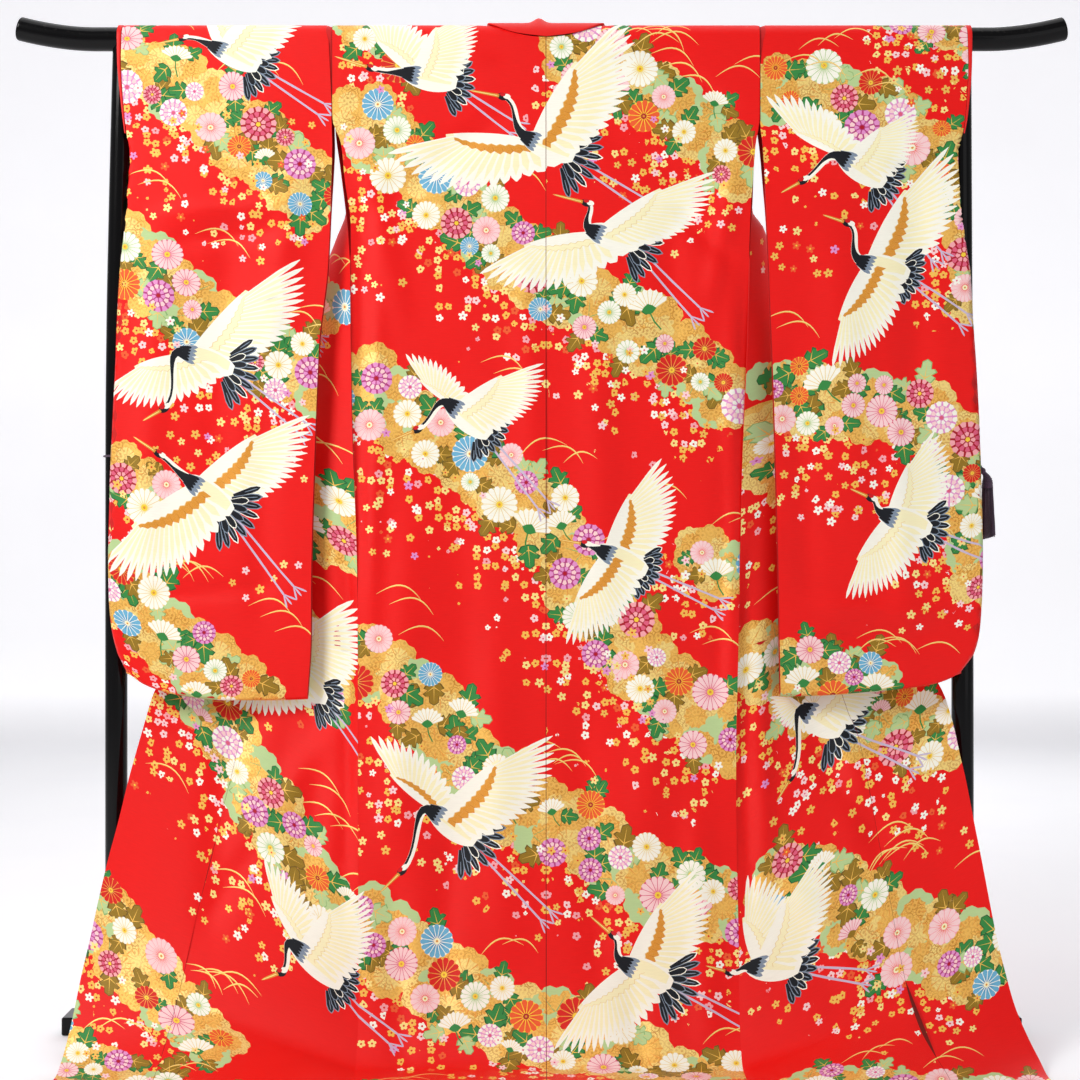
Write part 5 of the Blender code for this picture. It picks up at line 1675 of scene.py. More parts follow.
def strewn_shares(flat: np.ndarray, strewn: np.ndarray) -> np.ndarray:
    """Return the share of small blossoms at flat places: the largest one in its cell and the cells round it."""
    low = flat.min(axis=0) - 2 * STREWN_CELL
    at = ((flat - low) / STREWN_CELL).astype(int)
    size = at.max(axis=0) + 3
    cells = np.floor((strewn[:, :2] - low) / STREWN_CELL).astype(int)
    held = ((cells > 0) & (cells < size - 1)).all(axis=1)
    grid = np.zeros(size)
    np.maximum.at(grid, tuple(cells[held].T), strewn[held, 2])
    around = [np.roll(grid, (across, down), axis=(0, 1)) for across in (-1, 0, 1) for down in (-1, 0, 1)]
    return np.max(around, axis=0)[tuple(at.T)]


@dataclass
class Shell:
    """A closed cloth piece: an outer face with its woven picture, a plain lining, and the edge between them."""

    name: str
    place: Callable[[np.ndarray], tuple[np.ndarray, np.ndarray]]
    domain: Domain
    shapes: Sequence[Shape]
    strewn: np.ndarray
    materials: Sequence[bpy.types.Material]
    wall: float = CLOTH

    def build(self) -> bpy.types.Object:
        """Return the piece: each flat point is placed on the surface and moved half a wall along its normal."""
        shapes = self.domain.keep(self.shapes)
        flat, faces = self.inlay(shapes)
        colours = dyed(flat, faces, shapes, Dye.GROUND)
        rim = rim_of(faces)
        lined, lining, ends = self.lining(flat, rim)
        outer, outer_normals = self.place(flat)
        inner, inner_normals = self.place(lined)
        points = np.concatenate((outer + outer_normals * self.wall / 2, inner - inner_normals * self.wall / 2))
        first = len(outer)
        lining = lining[:, ::-1] + first
        ends = ends + first
        edge = np.concatenate((columns(rim[:, 1], rim[:, 0], ends[:, 0]),
                               columns(rim[:, 1], ends[:, 0], ends[:, 1])))
        edge = edge[(edge[:, 0] != edge[:, 1]) & (edge[:, 1] != edge[:, 2]) & (edge[:, 2] != edge[:, 0])]
        triangles = np.concatenate((faces, lining, edge))
        square = unit(face_normals(points[edge]))
        normals = np.concatenate((outer_normals[faces], -inner_normals[lining - first],
                                  np.repeat(square[:, None], 3, axis=1)))
        plain = len(lining) + len(edge)
        rows = np.concatenate((colours, np.tile(np.array(Dye.GROUND.thread), (plain, 1))))
        slots = np.concatenate((np.zeros(len(faces), int), np.ones(plain, int)))
        if (face_normals(points[faces]) * outer_normals[faces[:, 0]]).sum() < 0:
            triangles = triangles[:, ::-1]
            normals = normals[:, ::-1].copy()
            normals[-len(edge):] *= -1
        LOG.info("%s: shapes %d, outer %d, lining %d", self.name, len(shapes), len(faces), len(lining))
        bare = (colours[:, :3] == np.array(Dye.GROUND.thread[:3])).all(axis=1)
        shares = np.zeros((len(triangles), 3))
        shares[:len(faces)] = strewn_shares(flat, self.strewn)[faces] * bare[:, None]
        made = shell_object(self.name, points, triangles, normals, np.concatenate((flat, lined)), rows, slots,
                            self.materials)
        held = made.data.attributes.new("strewn", "FLOAT", "CORNER")
        held.data.foreach_set("value", shares.astype(np.float32).ravel())
        return made

    def inlay(self, shapes: Sequence[Shape]) -> tuple[np.ndarray, np.ndarray]:
        """Return the flat points and triangles of the outer face, with every side in sight kept as an edge."""
        outline = self.domain.outline
        turn = np.arange(len(outline))
        points, sides = [outline], [columns(turn, np.roll(turn, -1))]
        if shapes:
            corners, following, shown = sides_in_sight(shapes)
            used, pairs = renumbered(columns(np.flatnonzero(shown), following[shown]))
            points.append(corners[used])
            sides.append(pairs + len(outline))
        free = self.domain.lattice(self.domain.column, self.domain.rows)
        taken = set(map(tuple, np.floor(np.concatenate(points) / MOTIF_ROOM).astype(int).tolist()))
        cells = np.floor(free / MOTIF_ROOM).astype(int).tolist()
        points.append(free[[tuple(cell) not in taken for cell in cells]])
        vertices, triangles, _ = flat_mesh(np.concatenate(points), np.concatenate(sides), ring_edges(outline[None]))
        used, triangles = renumbered(triangles)
        return vertices[used], triangles

    def lining(self, flat: np.ndarray, rim: np.ndarray) -> tuple[np.ndarray, np.ndarray, np.ndarray]:
        """Return the lining's flat points, its triangles, and the points that face the ends of the rim's sides."""
        used, sides = renumbered(rim)
        free = self.domain.lattice(self.domain.column * LINING_COARSER, self.domain.rows)
        points = np.concatenate((flat[used], free))
        vertices, triangles, number = flat_mesh(points, sides, (flat[rim[:, 0]], flat[rim[:, 1]]))
        return vertices, triangles, number[sides]


def shell_object(name: str, points: np.ndarray, faces: np.ndarray, normals: np.ndarray, flat: np.ndarray,
                 colours: np.ndarray, slots: np.ndarray, materials: Sequence[bpy.types.Material]) -> bpy.types.Object:
    """Make a mesh object of triangles.

    Args:
        name: the piece's name.
        points: n x 3.
        faces: m x 3 point numbers.
        normals: m x 3 x 3 normals, one for each corner.
        flat: n x 2 places on the cloth in metres, for the UV map.
        colours: m x 4 colours with their gold share.
        slots: m material numbers.
        materials: the materials.
    """
    mesh = bpy.data.meshes.new(name)
    mesh.vertices.add(len(points))
    mesh.vertices.foreach_set("co", points.astype(np.float32).ravel())
    mesh.loops.add(faces.size)
    mesh.loops.foreach_set("vertex_index", faces.astype(np.int32).ravel())
    mesh.polygons.add(len(faces))
    mesh.polygons.foreach_set("loop_start", np.arange(0, faces.size, 3, dtype=np.int32))
    for made in materials:
        mesh.materials.append(made)
    mesh.polygons.foreach_set("material_index", slots.astype(np.int32))
    mesh.update(calc_edges=True)
    mesh.validate()
    if len(mesh.polygons) != len(faces):
        LOG.warning("%s lost %d faces", name, len(faces) - len(mesh.polygons))
    map_cloth(mesh, flat[faces])
    pattern = mesh.color_attributes.new(name="pattern", type="FLOAT_COLOR", domain="CORNER")
    pattern.data.foreach_set("color", np.repeat(colours, 3, axis=0).astype(np.float32).ravel())
    mesh.shade_smooth()
    mesh.normals_split_custom_set(normals.reshape(-1, 3).tolist())
    return in_scene(mesh)


def map_cloth(mesh: bpy.types.Mesh, flat: np.ndarray) -> None:
    """Write the mesh's UV map: for each corner of its faces a place on the cloth in metres."""
    mesh.uv_layers.new(name="cloth").uv.foreach_set("vector", flat.astype(np.float32).ravel())


def in_scene(mesh: bpy.types.Mesh) -> bpy.types.Object:
    """Return a new object of the mesh's name, linked to the scene."""
    made = bpy.data.objects.new(mesh.name, mesh)
    bpy.context.scene.collection.objects.link(made)
    return made


def loft_object(name: str, sections: np.ndarray, materials: Sequence[bpy.types.Material], closed: bool = False,
                along: np.ndarray | None = None, sharp: float = 50.0) -> bpy.types.Object:
    """Make a closed body from sections that all have as many points: quads between neighbours, and a cap each end.

    Its UV map is the distance round the section and the distance along the body, in metres.

    Args:
        name: the piece's name.
        sections: rows x points x 3.
        materials: the materials.
        closed: whether the last section joins the first, instead of two caps.
        along: the sections' distances along the body, or none for the distances between their centres.
        sharp: the angle in degrees above which an edge stays sharp.
    """
    rows, sides = sections.shape[:2]
    index = np.arange(rows * sides).reshape(rows, sides)
    if closed:
        index = np.vstack((index, index[:1]))
    upper, lower = index[:-1], index[1:]
    faces = columns(upper, np.roll(upper, -1, axis=1), np.roll(lower, -1, axis=1), lower).reshape(-1, 4).tolist()
    if not closed:
        faces += [index[0, ::-1].tolist(), index[-1].tolist()]
    mesh = bpy.data.meshes.new(name)
    mesh.from_pydata(sections.reshape(-1, 3).tolist(), [], faces)
    for made in materials:
        mesh.materials.append(made)
    if along is None:
        along = lengths(sections.mean(axis=1))
    if closed:
        along = np.append(along, along[-1] + (along[-1] - along[-2]))
    turn = np.linalg.norm(np.diff(sections, axis=1, append=sections[:, :1]), axis=2)
    turn = np.concatenate((np.zeros((rows, 1)), turn.cumsum(axis=1)), axis=1)
    if closed:
        turn = np.vstack((turn, turn[:1]))
    u = columns(turn[:-1, :-1], turn[:-1, 1:], turn[1:, 1:], turn[1:, :-1])
    v = columns(along[:-1], along[:-1], along[1:], along[1:])[:, None, :]
    flat = columns(u, v).reshape(-1, 2)
    if not closed:
        ends = sections[[0, -1]] - sections[[0, -1]].mean(axis=1, keepdims=True)
        flat = np.concatenate((flat, ends[0, ::-1][:, (0, 2)], ends[1][:, (0, 2)]))
    map_cloth(mesh, flat)
    mesh.update()
    if signed_volume(mesh) < 0:
        mesh.flip_normals()
    mesh.shade_smooth()
    mesh.set_sharp_from_angle(angle=math.radians(sharp))
    return in_scene(mesh)


def signed_volume(mesh: bpy.types.Mesh) -> float:
    """Return a closed mesh's volume: the sum of its faces' areas times centres times normals, over three."""
    count = len(mesh.polygons)
    area, normal, centre = np.empty(count), np.empty(count * 3), np.empty(count * 3)
    mesh.polygons.foreach_get("area", area)
    mesh.polygons.foreach_get("normal", normal)
    mesh.polygons.foreach_get("center", centre)
    return float((area * (normal.reshape(-1, 3) * centre.reshape(-1, 3)).sum(axis=1)).sum() / 3)


def round_section(middle: np.ndarray, normals: np.ndarray, wall: float, swell: float) -> np.ndarray:
    """Return closed sections of a band: its two faces half a wall from the middle, and half-round edges.

    Args:
        middle: rows x columns x 3 points of the middle surface.
        normals: its unit normals.
        wall: the band's thickness.
        swell: how far each edge stands out past the middle surface.
    """
    start, end = unit(middle[:, 0] - middle[:, 1]), unit(middle[:, -1] - middle[:, -2])
    turn = np.linspace(0.0, math.pi, 7)[1:-1][None, :, None]
    lift = normals * wall / 2
    last = middle[:, -1:] + np.cos(turn) * lift[:, -1:] + np.sin(turn) * (end * swell)[:, None]
    first = middle[:, :1] - np.cos(turn) * lift[:, :1] + np.sin(turn) * (start * swell)[:, None]
    return np.concatenate((middle + lift, last, (middle - lift)[:, ::-1], first), axis=1)


def two_sided(flat: np.ndarray, near: Surface, far: Surface, turned: float | None = None) -> tuple[
        np.ndarray, np.ndarray]:
    """Return points and normals: from the near surface where v is above 0, and from the far one at -v below it.

    Args:
        flat: n x 2 places.
        near: the near surface.
        far: the far surface.
        turned: a distance from which u is taken away on the far surface, or none where u stays.
    """
    points, normals = np.empty((2, len(flat), 3))
    upper = flat[:, 1] >= 0
    u, v = flat[~upper].T
    points[upper], normals[upper] = near.at(*flat[upper].T)
    points[~upper], normals[~upper] = far.at(u if turned is None else turned - u, -v)
    return points, normals


@dataclass
class Panels:
    """The body's two lengths of cloth and their overlap panels."""

    side: Side
    back: Surface = field(init=False)
    front: Surface = field(init=False)
    okumi: Surface = field(init=False)

    def __post_init__(self) -> None:
        """Lay out the three surfaces and crease them."""
        self.back = back_surface(self.side)
        self.front, self.okumi = front_surfaces(self.side)
        self.back.crease(BACK_CREASES[self.side])
        self.front.crease(FRONT_CREASES[self.side])
        self.okumi.crease(FRONT_CREASES[self.side], np.interp(self.okumi.along, self.front.along, self.front.width))
        for panel in (self.back, self.front, self.okumi):
            panel.points[:, :, 2] = np.maximum(panel.points[:, :, 2], CLOTH / 2)

    def place_body(self, flat: np.ndarray) -> tuple[np.ndarray, np.ndarray]:
        """Return points and normals: v above 0 is the back, with u from the centre; v below 0 is the front."""
        return two_sided(flat, self.back, self.front, SHOULDER)

    def place_okumi(self, flat: np.ndarray) -> tuple[np.ndarray, np.ndarray]:
        """Return points and normals of the overlap panel, with u from its seam and v below 0 as on the front."""
        return self.okumi.at(flat[:, 0], -flat[:, 1])

    def body_domain(self) -> Domain:
        """Return the body's flat outline: the back's neck curve, side and hem, and the front's round edge."""
        neck_x = np.linspace(0.0, NECK, 15)[:-1]
        down = np.arange(0.0, LENGTH, 0.012)
        outline = np.concatenate((
            columns(neck_x, NECK_DEPTH * (1 - (neck_x / NECK) ** 2) ** 0.7),
            columns(SHOULDER - self.front.reach(down), -down),
            columns(np.linspace(SHOULDER - self.front.reach(LENGTH), SHOULDER, 31), -LENGTH)[:-1],
            columns(SHOULDER, np.linspace(-LENGTH, 0.0, 156)[:-1]),
            columns(self.back.reach(down), down),
            columns(np.linspace(self.back.reach(LENGTH), 0.0, 31), LENGTH)[:-1],
            columns(0.0, np.linspace(LENGTH, NECK_DEPTH, 152)[:-1]),
        ))
        half = np.concatenate((np.linspace(0.0, QUARTER, 11)[1:], np.arange(QUARTER + 0.010, LENGTH, 0.012)))
        return Domain(outline, np.concatenate((-half[::-1], [0.0], half)))

    def okumi_domain(self) -> Domain:
        """Return the overlap panel's flat outline, from its point to the hem."""
        top = float(self.okumi.along[0])
        down = np.linspace(top, LENGTH, 131)
        free = columns(self.okumi.reach(down), -down)
        low = columns(np.linspace(0.0, free[-1, 0], 15), -LENGTH)[1:-1]
        outline = np.concatenate((columns(0.0, -down), low, free[::-1]))
        return Domain(outline, -np.arange(LENGTH - 0.006, top, -0.012))


@dataclass
class Garment:
    """The kimono: its panels, sleeves, wrist edgings and collar."""

    brocade: bpy.types.Material
    lining: bpy.types.Material
    satin: bpy.types.Material

    def build(self) -> None:
        for side in Side:
            panels = Panels(side)
            self.shell("cloth_body_" + side.word, "body_" + side.word, panels.place_body, panels.body_domain(),
                       body_picture(side, panels))
            self.shell("cloth_okumi_" + side.word, "okumi_" + side.word, panels.place_okumi, panels.okumi_domain(),
                       okumi_picture(side, panels))
            self.sleeve(side)
        self.collar()

    def shell(self, name: str, node: str, place: Callable[[np.ndarray], tuple[np.ndarray, np.ndarray]],
              domain: Domain, picture: tuple[list[Shape], np.ndarray]) -> None:
        """Make one brocade piece and let it stand for its node.

        Args:
            name: the piece's name.
            node: the CAD node it stands for.
            place: gives points and normals for flat places.
            domain: the cloth's outline and rows.
            picture: its shapes and strewn places.
        """
        made = Shell(name, place, domain, *picture, (self.brocade, self.lining)).build()
        finish_piece(made, node)
        LOG.info("%s: %d triangles", name, len(made.data.polygons))

    def sleeve(self, side: Side) -> None:
        """Make a sleeve and the edging round its wrist opening."""
        near, far = sleeve_surfaces(side, SLEEVE_CREASES[side])
        last = float(near.along[-1])
        outline = np.concatenate((
            self.sleeve_edge(far)[::-1] * (1, -1), self.sleeve_edge(near)[1:], self.sleeve_low(near)[::-1],
            columns(0.0, np.linspace(last, -last, 181))[1:-1], self.sleeve_low(far) * (1, -1)))
        bent = near.along[-1 - RIM_STEPS:-1]
        rows = np.concatenate((np.linspace(0.0, QUARTER, 11)[1:], np.arange(QUARTER + 0.010, bent[0], 0.012), bent))
        domain = Domain(outline, np.concatenate((-rows[::-1], [0.0], rows)))
        self.shell("cloth_sleeve_" + side.word, "sleeve_" + side.word, lambda flat: two_sided(flat, near, far),
                   domain, sleeve_picture(side))
        self.edging(side, (near, far))

    @staticmethod
    def sleeve_edge(layer: Surface) -> np.ndarray:
        """Return a layer's outer edge: held back by the edging at the wrist opening, and rounded off below it."""
        mouth = np.linspace(0.0, MOUTH, 21)
        trim = mouth_width(mouth) - POUCH + GAP + 0.0002
        held = columns(np.interp(mouth, layer.along, layer.width) - trim, mouth)
        below = np.concatenate((np.arange(MOUTH + 0.006, float(layer.along[-1]) - 0.02, 0.010),
                                layer.along[-1 - RIM_STEPS:]))
        return np.concatenate((held, columns(layer.reach(below), below)))

    @staticmethod
    def sleeve_low(layer: Surface) -> np.ndarray:
        """Return a layer's bottom edge from the inner side to the outer corner."""
        last = float(layer.along[-1])
        return columns(np.linspace(0.0, float(layer.reach(last)), 36)[:-1], last)

    def edging(self, side: Side, layers: Sequence[Surface]) -> None:
        """Make the plain strip round the wrist opening, over the shoulder fold and down both layers."""
        down = np.linspace(0.0, MOUTH - 0.004, 49)
        width = mouth_width(down)
        strips = []
        for layer in layers:
            whole = np.interp(down, layer.along, layer.width)
            rows = []
            for share in (0.0, 0.5, 1.0):
                at = whole - (width - POUCH) + 0.0008 + (width - 0.0016) * share
                point, _ = layer.at(np.minimum(at, whole), down)
                point[:, 0] += side.value * np.maximum(at - whole, 0.0)
                rows.append(point)
            strips.append(np.stack(rows, axis=1))
        middle = np.concatenate((strips[0][::-1], strips[1][1:]))
        sections = round_section(middle, surface_normals(middle), EDGING, 0.0006)
        made = loft_object("edging_" + side.word, sections, (self.satin,), along=lengths(middle[:, 1]))
        finish_piece(made, "mouth_edge_" + side.word)

    def collar(self) -> None:
        """Make the collar: one band over the bar behind the neck and down both fronts' inner edges."""
        steps = 14
        inset = 0.0012
        shares = np.linspace(0.0, 1.0, steps + 1)
        strips = {}
        for side in Side:
            rows = np.concatenate((np.linspace(0.0, QUARTER, 9)[1:], np.arange(0.042, COLLAR_END, 0.010),
                                   [COLLAR_END]))
            outer, inner = front_edges(side, rows)
            dense = [cross_section(*row, side.column) for row in zip(outer, inner, curve(FRONT_FOLDS, rows))]
            heading = unit(np.array([row[-1] - row[-10] for row in dense]))
            along = unit(np.gradient(inner, axis=0))
            heading = unit(heading - (heading * along).sum(axis=1)[:, None] * along)
            down = rows > QUARTER + 0.001
            width = COLLAR_WIDTH + (COLLAR_END_WIDTH - COLLAR_WIDTH) * rows[down] / COLLAR_END
            first = inner[down] + heading[down] * (GAP + 0.0012)
            reach = inset + (width - 2 * inset)[:, None] * shares[None, :]
            band = first[:, None, :] + heading[down][:, None, :] * reach[:, :, None]
            band[:, :, 0] *= side.value
            strips[side] = band
        table = NECK_COLLAR[:, 0]
        places = np.interp(np.linspace(0, len(table) - 1, 36), np.arange(len(table)), table)
        places = np.concatenate((-places[:0:-1], places))
        seam_x, seam_t, fold_x, fold_t = curve(NECK_COLLAR, np.abs(places)).T
        turn = np.where(places < 0, -1.0, 1.0)
        ways = 0.02 + 0.96 * shares
        x = turn[:, None] * (seam_x[:, None] + (fold_x - seam_x)[:, None] * ways[None, :])
        reached = seam_t[:, None] + (fold_t - seam_t)[:, None] * ways[None, :]
        place, height, half_width, half_length = COLLAR_PINCH
        pinch = height * np.exp(-((x - place) / half_width) ** 2 - ((reached - 0.002) / half_length) ** 2)
        rise = MIDDLE + COLLAR_LIFT + pinch
        angle = np.minimum(reached / rise, math.pi / 2)
        below = np.maximum(reached - rise * math.pi / 2, 0.0)
        neck = columns(x, rise * np.sin(angle), BAR_Z + rise * np.cos(angle) - below)
        middle = np.concatenate((strips[Side.LEFT][::-1], neck, strips[Side.RIGHT]))
        middle[:, :, 0] += GARMENT_X
        middle[:, :, 1] += Y_SHIFT
        sections = round_section(middle, surface_normals(middle), COLLAR_WALL, inset)
        made = loft_object("collar_band", sections, (self.satin,), along=lengths(middle[:, steps // 2]))
        finish_piece(made, "collar")


def finish_piece(piece: bpy.types.Object, node: str) -> None:
    """Let a piece ride on the body and stand for its CAD node, which is hidden."""
    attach(piece, "root")
    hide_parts(node)


@dataclass
class Nodes:
    """A short hand for making and joining the nodes of a tree."""

    tree: bpy.types.NodeTree

    def feed(self, node: bpy.types.Node, inputs: dict[str | int, object]) -> None:
        """Give each input of a node a value or another node's output."""
        for key, value in inputs.items():
            if isinstance(value, bpy.types.NodeSocket):
                self.tree.links.new(value, node.inputs[key])
            else:
                node.inputs[key].default_value = value

    def add(self, kind: str, inputs: dict[str | int, object] | None = None, **settings: object) -> bpy.types.Node:
        """Return a new node, by its type without the first words, with its settings made and its inputs fed."""
        node = self.tree.nodes.new(kind if kind.startswith("NodeGroup") else "ShaderNode" + kind)
        for key, value in settings.items():
            setattr(node, key, value)
        self.feed(node, inputs or {})
        return node

    def maths(self, operation: str, first: object, second: object = 0.0) -> bpy.types.NodeSocket:
        """Return the result of a Math node."""
        return self.add("Math", {0: first, 1: second}, operation=operation).outputs[0]

    def times(self, first: object, second: object) -> bpy.types.NodeSocket:
        """Return a product."""
        return self.maths("MULTIPLY", first, second)

    def plus(self, first: object, second: object) -> bpy.types.NodeSocket:
        """Return a sum."""
        return self.maths("ADD", first, second)

    def mix(self, share: object, first: object, second: object, way: str = "MIX") -> bpy.types.NodeSocket:
        """Return the colour of a Mix node."""
        return self.add("Mix", {0: share, 6: first, 7: second}, data_type="RGBA", blend_type=way).outputs[2]

    def flat(self) -> bpy.types.NodeSocket:
        """Return the place on the cloth in metres, from the UV map."""
        return self.add("UVMap", uv_map="cloth").outputs[0]

    def noise(self, place: bpy.types.NodeSocket, scale: float, detail: float) -> bpy.types.NodeSocket:
        """Return noise at a place."""
        return self.add("TexNoise", {"Vector": place, "Scale": scale, "Detail": detail}).outputs[0]

    def ramp(self, value: object, *limits: float) -> bpy.types.NodeSocket:
        """Return a value carried from the first two limits to the last two."""
        return self.add("MapRange", {0: value, **dict(enumerate(limits, 1))}).outputs[0]

    def cells(self, place: bpy.types.NodeSocket, pitch: float, loose: float) -> tuple[
            bpy.types.Node, bpy.types.NodeSocket, bpy.types.NodeSocket]:
        """Return a Voronoi pattern at a place, the way from its nearest point, and that way's angle.

        Args:
            place: a place in metres.
            pitch: the cells' size in metres.
            loose: how far the cells' points stray.
        """
        found = self.add("TexVoronoi", {"Vector": place, "Scale": 1 / pitch, "Randomness": loose},
                         voronoi_dimensions="2D")
        off = self.add("VectorMath", {0: place, 1: found.outputs["Position"]}, operation="SUBTRACT").outputs[0]
        part = self.add("SeparateXYZ", {0: off}).outputs
        return found, off, self.maths("ARCTAN2", part[1], part[0])

    def relief(self, shader: bpy.types.Node, height: bpy.types.NodeSocket, depth: float, strength: float) -> None:
        """Raise a shader's surface by a height."""
        bump = self.add("Bump", {"Height": height, "Distance": depth, "Strength": strength})
        self.feed(shader, {"Normal": bump.outputs[0]})


def new_group(name: str, inputs: dict[str, float], outputs: Sequence[str]) -> tuple[bpy.types.NodeTree, Nodes]:
    """Return a node group of number sockets, with its nodes' short hand.

    Args:
        name: the group's name.
        inputs: the value of each input.
        outputs: the outputs' names.
    """
    group = bpy.data.node_groups.new(name, "ShaderNodeTree")
    for key, value in inputs.items():
        group.interface.new_socket(name=key, in_out="INPUT", socket_type="NodeSocketFloat").default_value = value
    for key in outputs:
        group.interface.new_socket(name=key, in_out="OUTPUT", socket_type="NodeSocketFloat")
    return group, Nodes(group)


def new_material(name: str) -> tuple[bpy.types.Material, Nodes, bpy.types.Node]:
    """Return a material, its nodes' short hand and its shader."""
    made = bpy.data.materials.new(name)
    made.use_nodes = True
    return made, Nodes(made.node_tree), made.node_tree.nodes["Principled BSDF"]


def opaque(colour: Sequence[float]) -> tuple[float, ...]:
    """Return a colour's first three numbers with an alpha of 1."""
    return (*colour[:3], 1.0)


def weave_group() -> bpy.types.NodeTree:
    """Return the group that draws a cloth's threads from its UV map in metres.

    The height is a sum of two crossed waves, one for each thread's pitch, and of slubs, which are noise stretched
    along the weft. The tone is the slubs around 1.
    """
    group, nodes = new_group("woven_threads", {"Warp Pitch": 0.0006, "Weft Pitch": 0.0008, "Slub": 0.08},
                             ("Height", "Tone"))
    given = nodes.add("NodeGroupInput")
    flat = nodes.flat()
    place = nodes.add("SeparateXYZ", {0: flat})
    warp, weft = (nodes.maths("SINE", nodes.times(
        nodes.maths("DIVIDE", place.outputs[axis], given.outputs[pitch]), math.tau))
        for axis, pitch in ((0, "Warp Pitch"), (1, "Weft Pitch")))
    slubs, clouds = (nodes.noise(nodes.add("Mapping", {0: flat, "Scale": scale}).outputs[0], 1.0, detail)
                     for scale, detail in (((55.0, 900.0, 1.0), 2.0), ((8.0, 5.0, 1.0), 3.0)))
    threads = nodes.plus(nodes.times(warp, 0.25), nodes.times(weft, 0.25))
    uneven = nodes.plus(nodes.maths("SUBTRACT", slubs, 0.5), nodes.maths("SUBTRACT", clouds, 0.5))
    nodes.add("NodeGroupOutput", {"Height": nodes.plus(threads, nodes.times(slubs, 1.2)),
                                  "Tone": nodes.plus(nodes.times(uneven, given.outputs["Slub"]), 1.0)})
    return group


def wear_group() -> bpy.types.NodeTree:
    """Return the group that gives a hard surface its haze: noise at two sizes on Object coordinates, and dust."""
    group, nodes = new_group("surface_haze", {"Base Roughness": 0.1, "Spread": 0.08},
                             ("Roughness", "Dust", "Height"))
    given = nodes.add("NodeGroupInput")
    place = nodes.add("TexCoord").outputs["Object"]
    smears, fine = nodes.noise(place, 9.0, 4.0), nodes.noise(place, 160.0, 3.0)
    hazy = nodes.times(nodes.maths("SUBTRACT", smears, 0.35), given.outputs["Spread"])
    facing = nodes.add("SeparateXYZ", {0: nodes.add("NewGeometry").outputs["Normal"]})
    specks = nodes.ramp(fine, 0.56, 0.74, 0.0, 1.0)
    nodes.add("NodeGroupOutput", {
        "Roughness": nodes.plus(given.outputs["Base Roughness"], nodes.maths("MAXIMUM", hazy, 0.0)),
        "Dust": nodes.times(nodes.maths("MAXIMUM", facing.outputs[2], 0.0), specks), "Height": smears})
    return group


FIGURE_PITCH = 0.0110
BLOSSOM_PITCH = 0.0150
BLOSSOM_RADIUS = 0.0066
BLOSSOM_TINTS = ((0.0, Dye.GOLD), (0.40, Dye.PALE_GOLD), (0.60, Dye.WHITE), (0.72, Dye.PALE_PINK), (0.84, Dye.PINK),
                 (0.93, Dye.ORANGE))


def gold_figures(nodes: Nodes, gold: bpy.types.NodeSocket, ground: bpy.types.NodeSocket) -> bpy.types.NodeSocket:
    """Return the colour with fine darker lines on the gold cloud, where the gold share is at its highest.

    Every cell of a Voronoi pattern on the cloth's UV map is a line-drawn flower: spokes lie where |sin 6.5 a| is
    small, and rings where the distance from its point repeats.

    Args:
        nodes: the material's nodes.
        gold: the share of gold.
        ground: the colour so far.
    """
    flat = nodes.flat()
    cells, _, angle = nodes.cells(flat, FIGURE_PITCH, 0.9)
    turns = nodes.maths("ABSOLUTE", nodes.maths("SINE", nodes.times(angle, 6.5)))
    rings = nodes.maths("SINE", nodes.times(cells.outputs["Distance"], 15.0))
    line = nodes.maths("MAXIMUM", nodes.maths("LESS_THAN", turns, 0.34), nodes.maths("GREATER_THAN", rings, 0.55))
    deep = nodes.ramp(nodes.noise(flat, 38.0, 1.0), 0.35, 0.65, 0.20, 0.75)
    shown = nodes.times(nodes.times(line, deep), nodes.maths("GREATER_THAN", gold, 0.75))
    return nodes.mix(shown, ground, opaque(Dye.AMBER_LINE.thread))


def strewn_blossoms(nodes: Nodes, ground: bpy.types.NodeSocket) -> bpy.types.NodeSocket:
    """Return the ground's colour with small blossoms on it, as many as the piece's "strewn" attribute says.

    Every cell of a Voronoi pattern on the cloth's UV map has a chance and a blossom at its point, whose edge lies at
    the radius times 0.66 + 0.34 |cos 2.5 a|, for an angle a. It is there where the chance is below the share.
    """
    cells, off, angle = nodes.cells(nodes.flat(), BLOSSOM_PITCH, 0.75)
    chance = nodes.add("SeparateColor", {0: cells.outputs["Color"]}).outputs
    radius = nodes.add("VectorMath", {0: off}, operation="LENGTH").outputs["Value"]
    angle = nodes.plus(angle, nodes.times(chance[2], 6.0))
    lobes = nodes.maths("ABSOLUTE", nodes.maths("COSINE", nodes.times(angle, 2.5)))
    share = nodes.add("Attribute", attribute_name="strewn").outputs["Fac"]
    grown = nodes.ramp(nodes.maths("SUBTRACT", share, chance[0]), 0.0, 0.10, 0.0, BLOSSOM_RADIUS)
    edge = nodes.times(nodes.plus(nodes.times(lobes, 0.34), 0.66), grown)
    ramp = nodes.add("ValToRGB", {0: chance[1]})
    ramp.color_ramp.interpolation = "CONSTANT"
    for number, (start, dye) in enumerate(BLOSSOM_TINTS):
        stop = ramp.color_ramp.elements[number] if number < 2 else ramp.color_ramp.elements.new(start)
        stop.position = start
        stop.color = opaque(dye.thread)
    petals = nodes.mix(nodes.maths("LESS_THAN", radius, edge), ground, ramp.outputs[0])
    heart = nodes.maths("LESS_THAN", radius, nodes.times(grown, 0.24))
    return nodes.mix(heart, petals, opaque(Dye.SCARLET.thread))


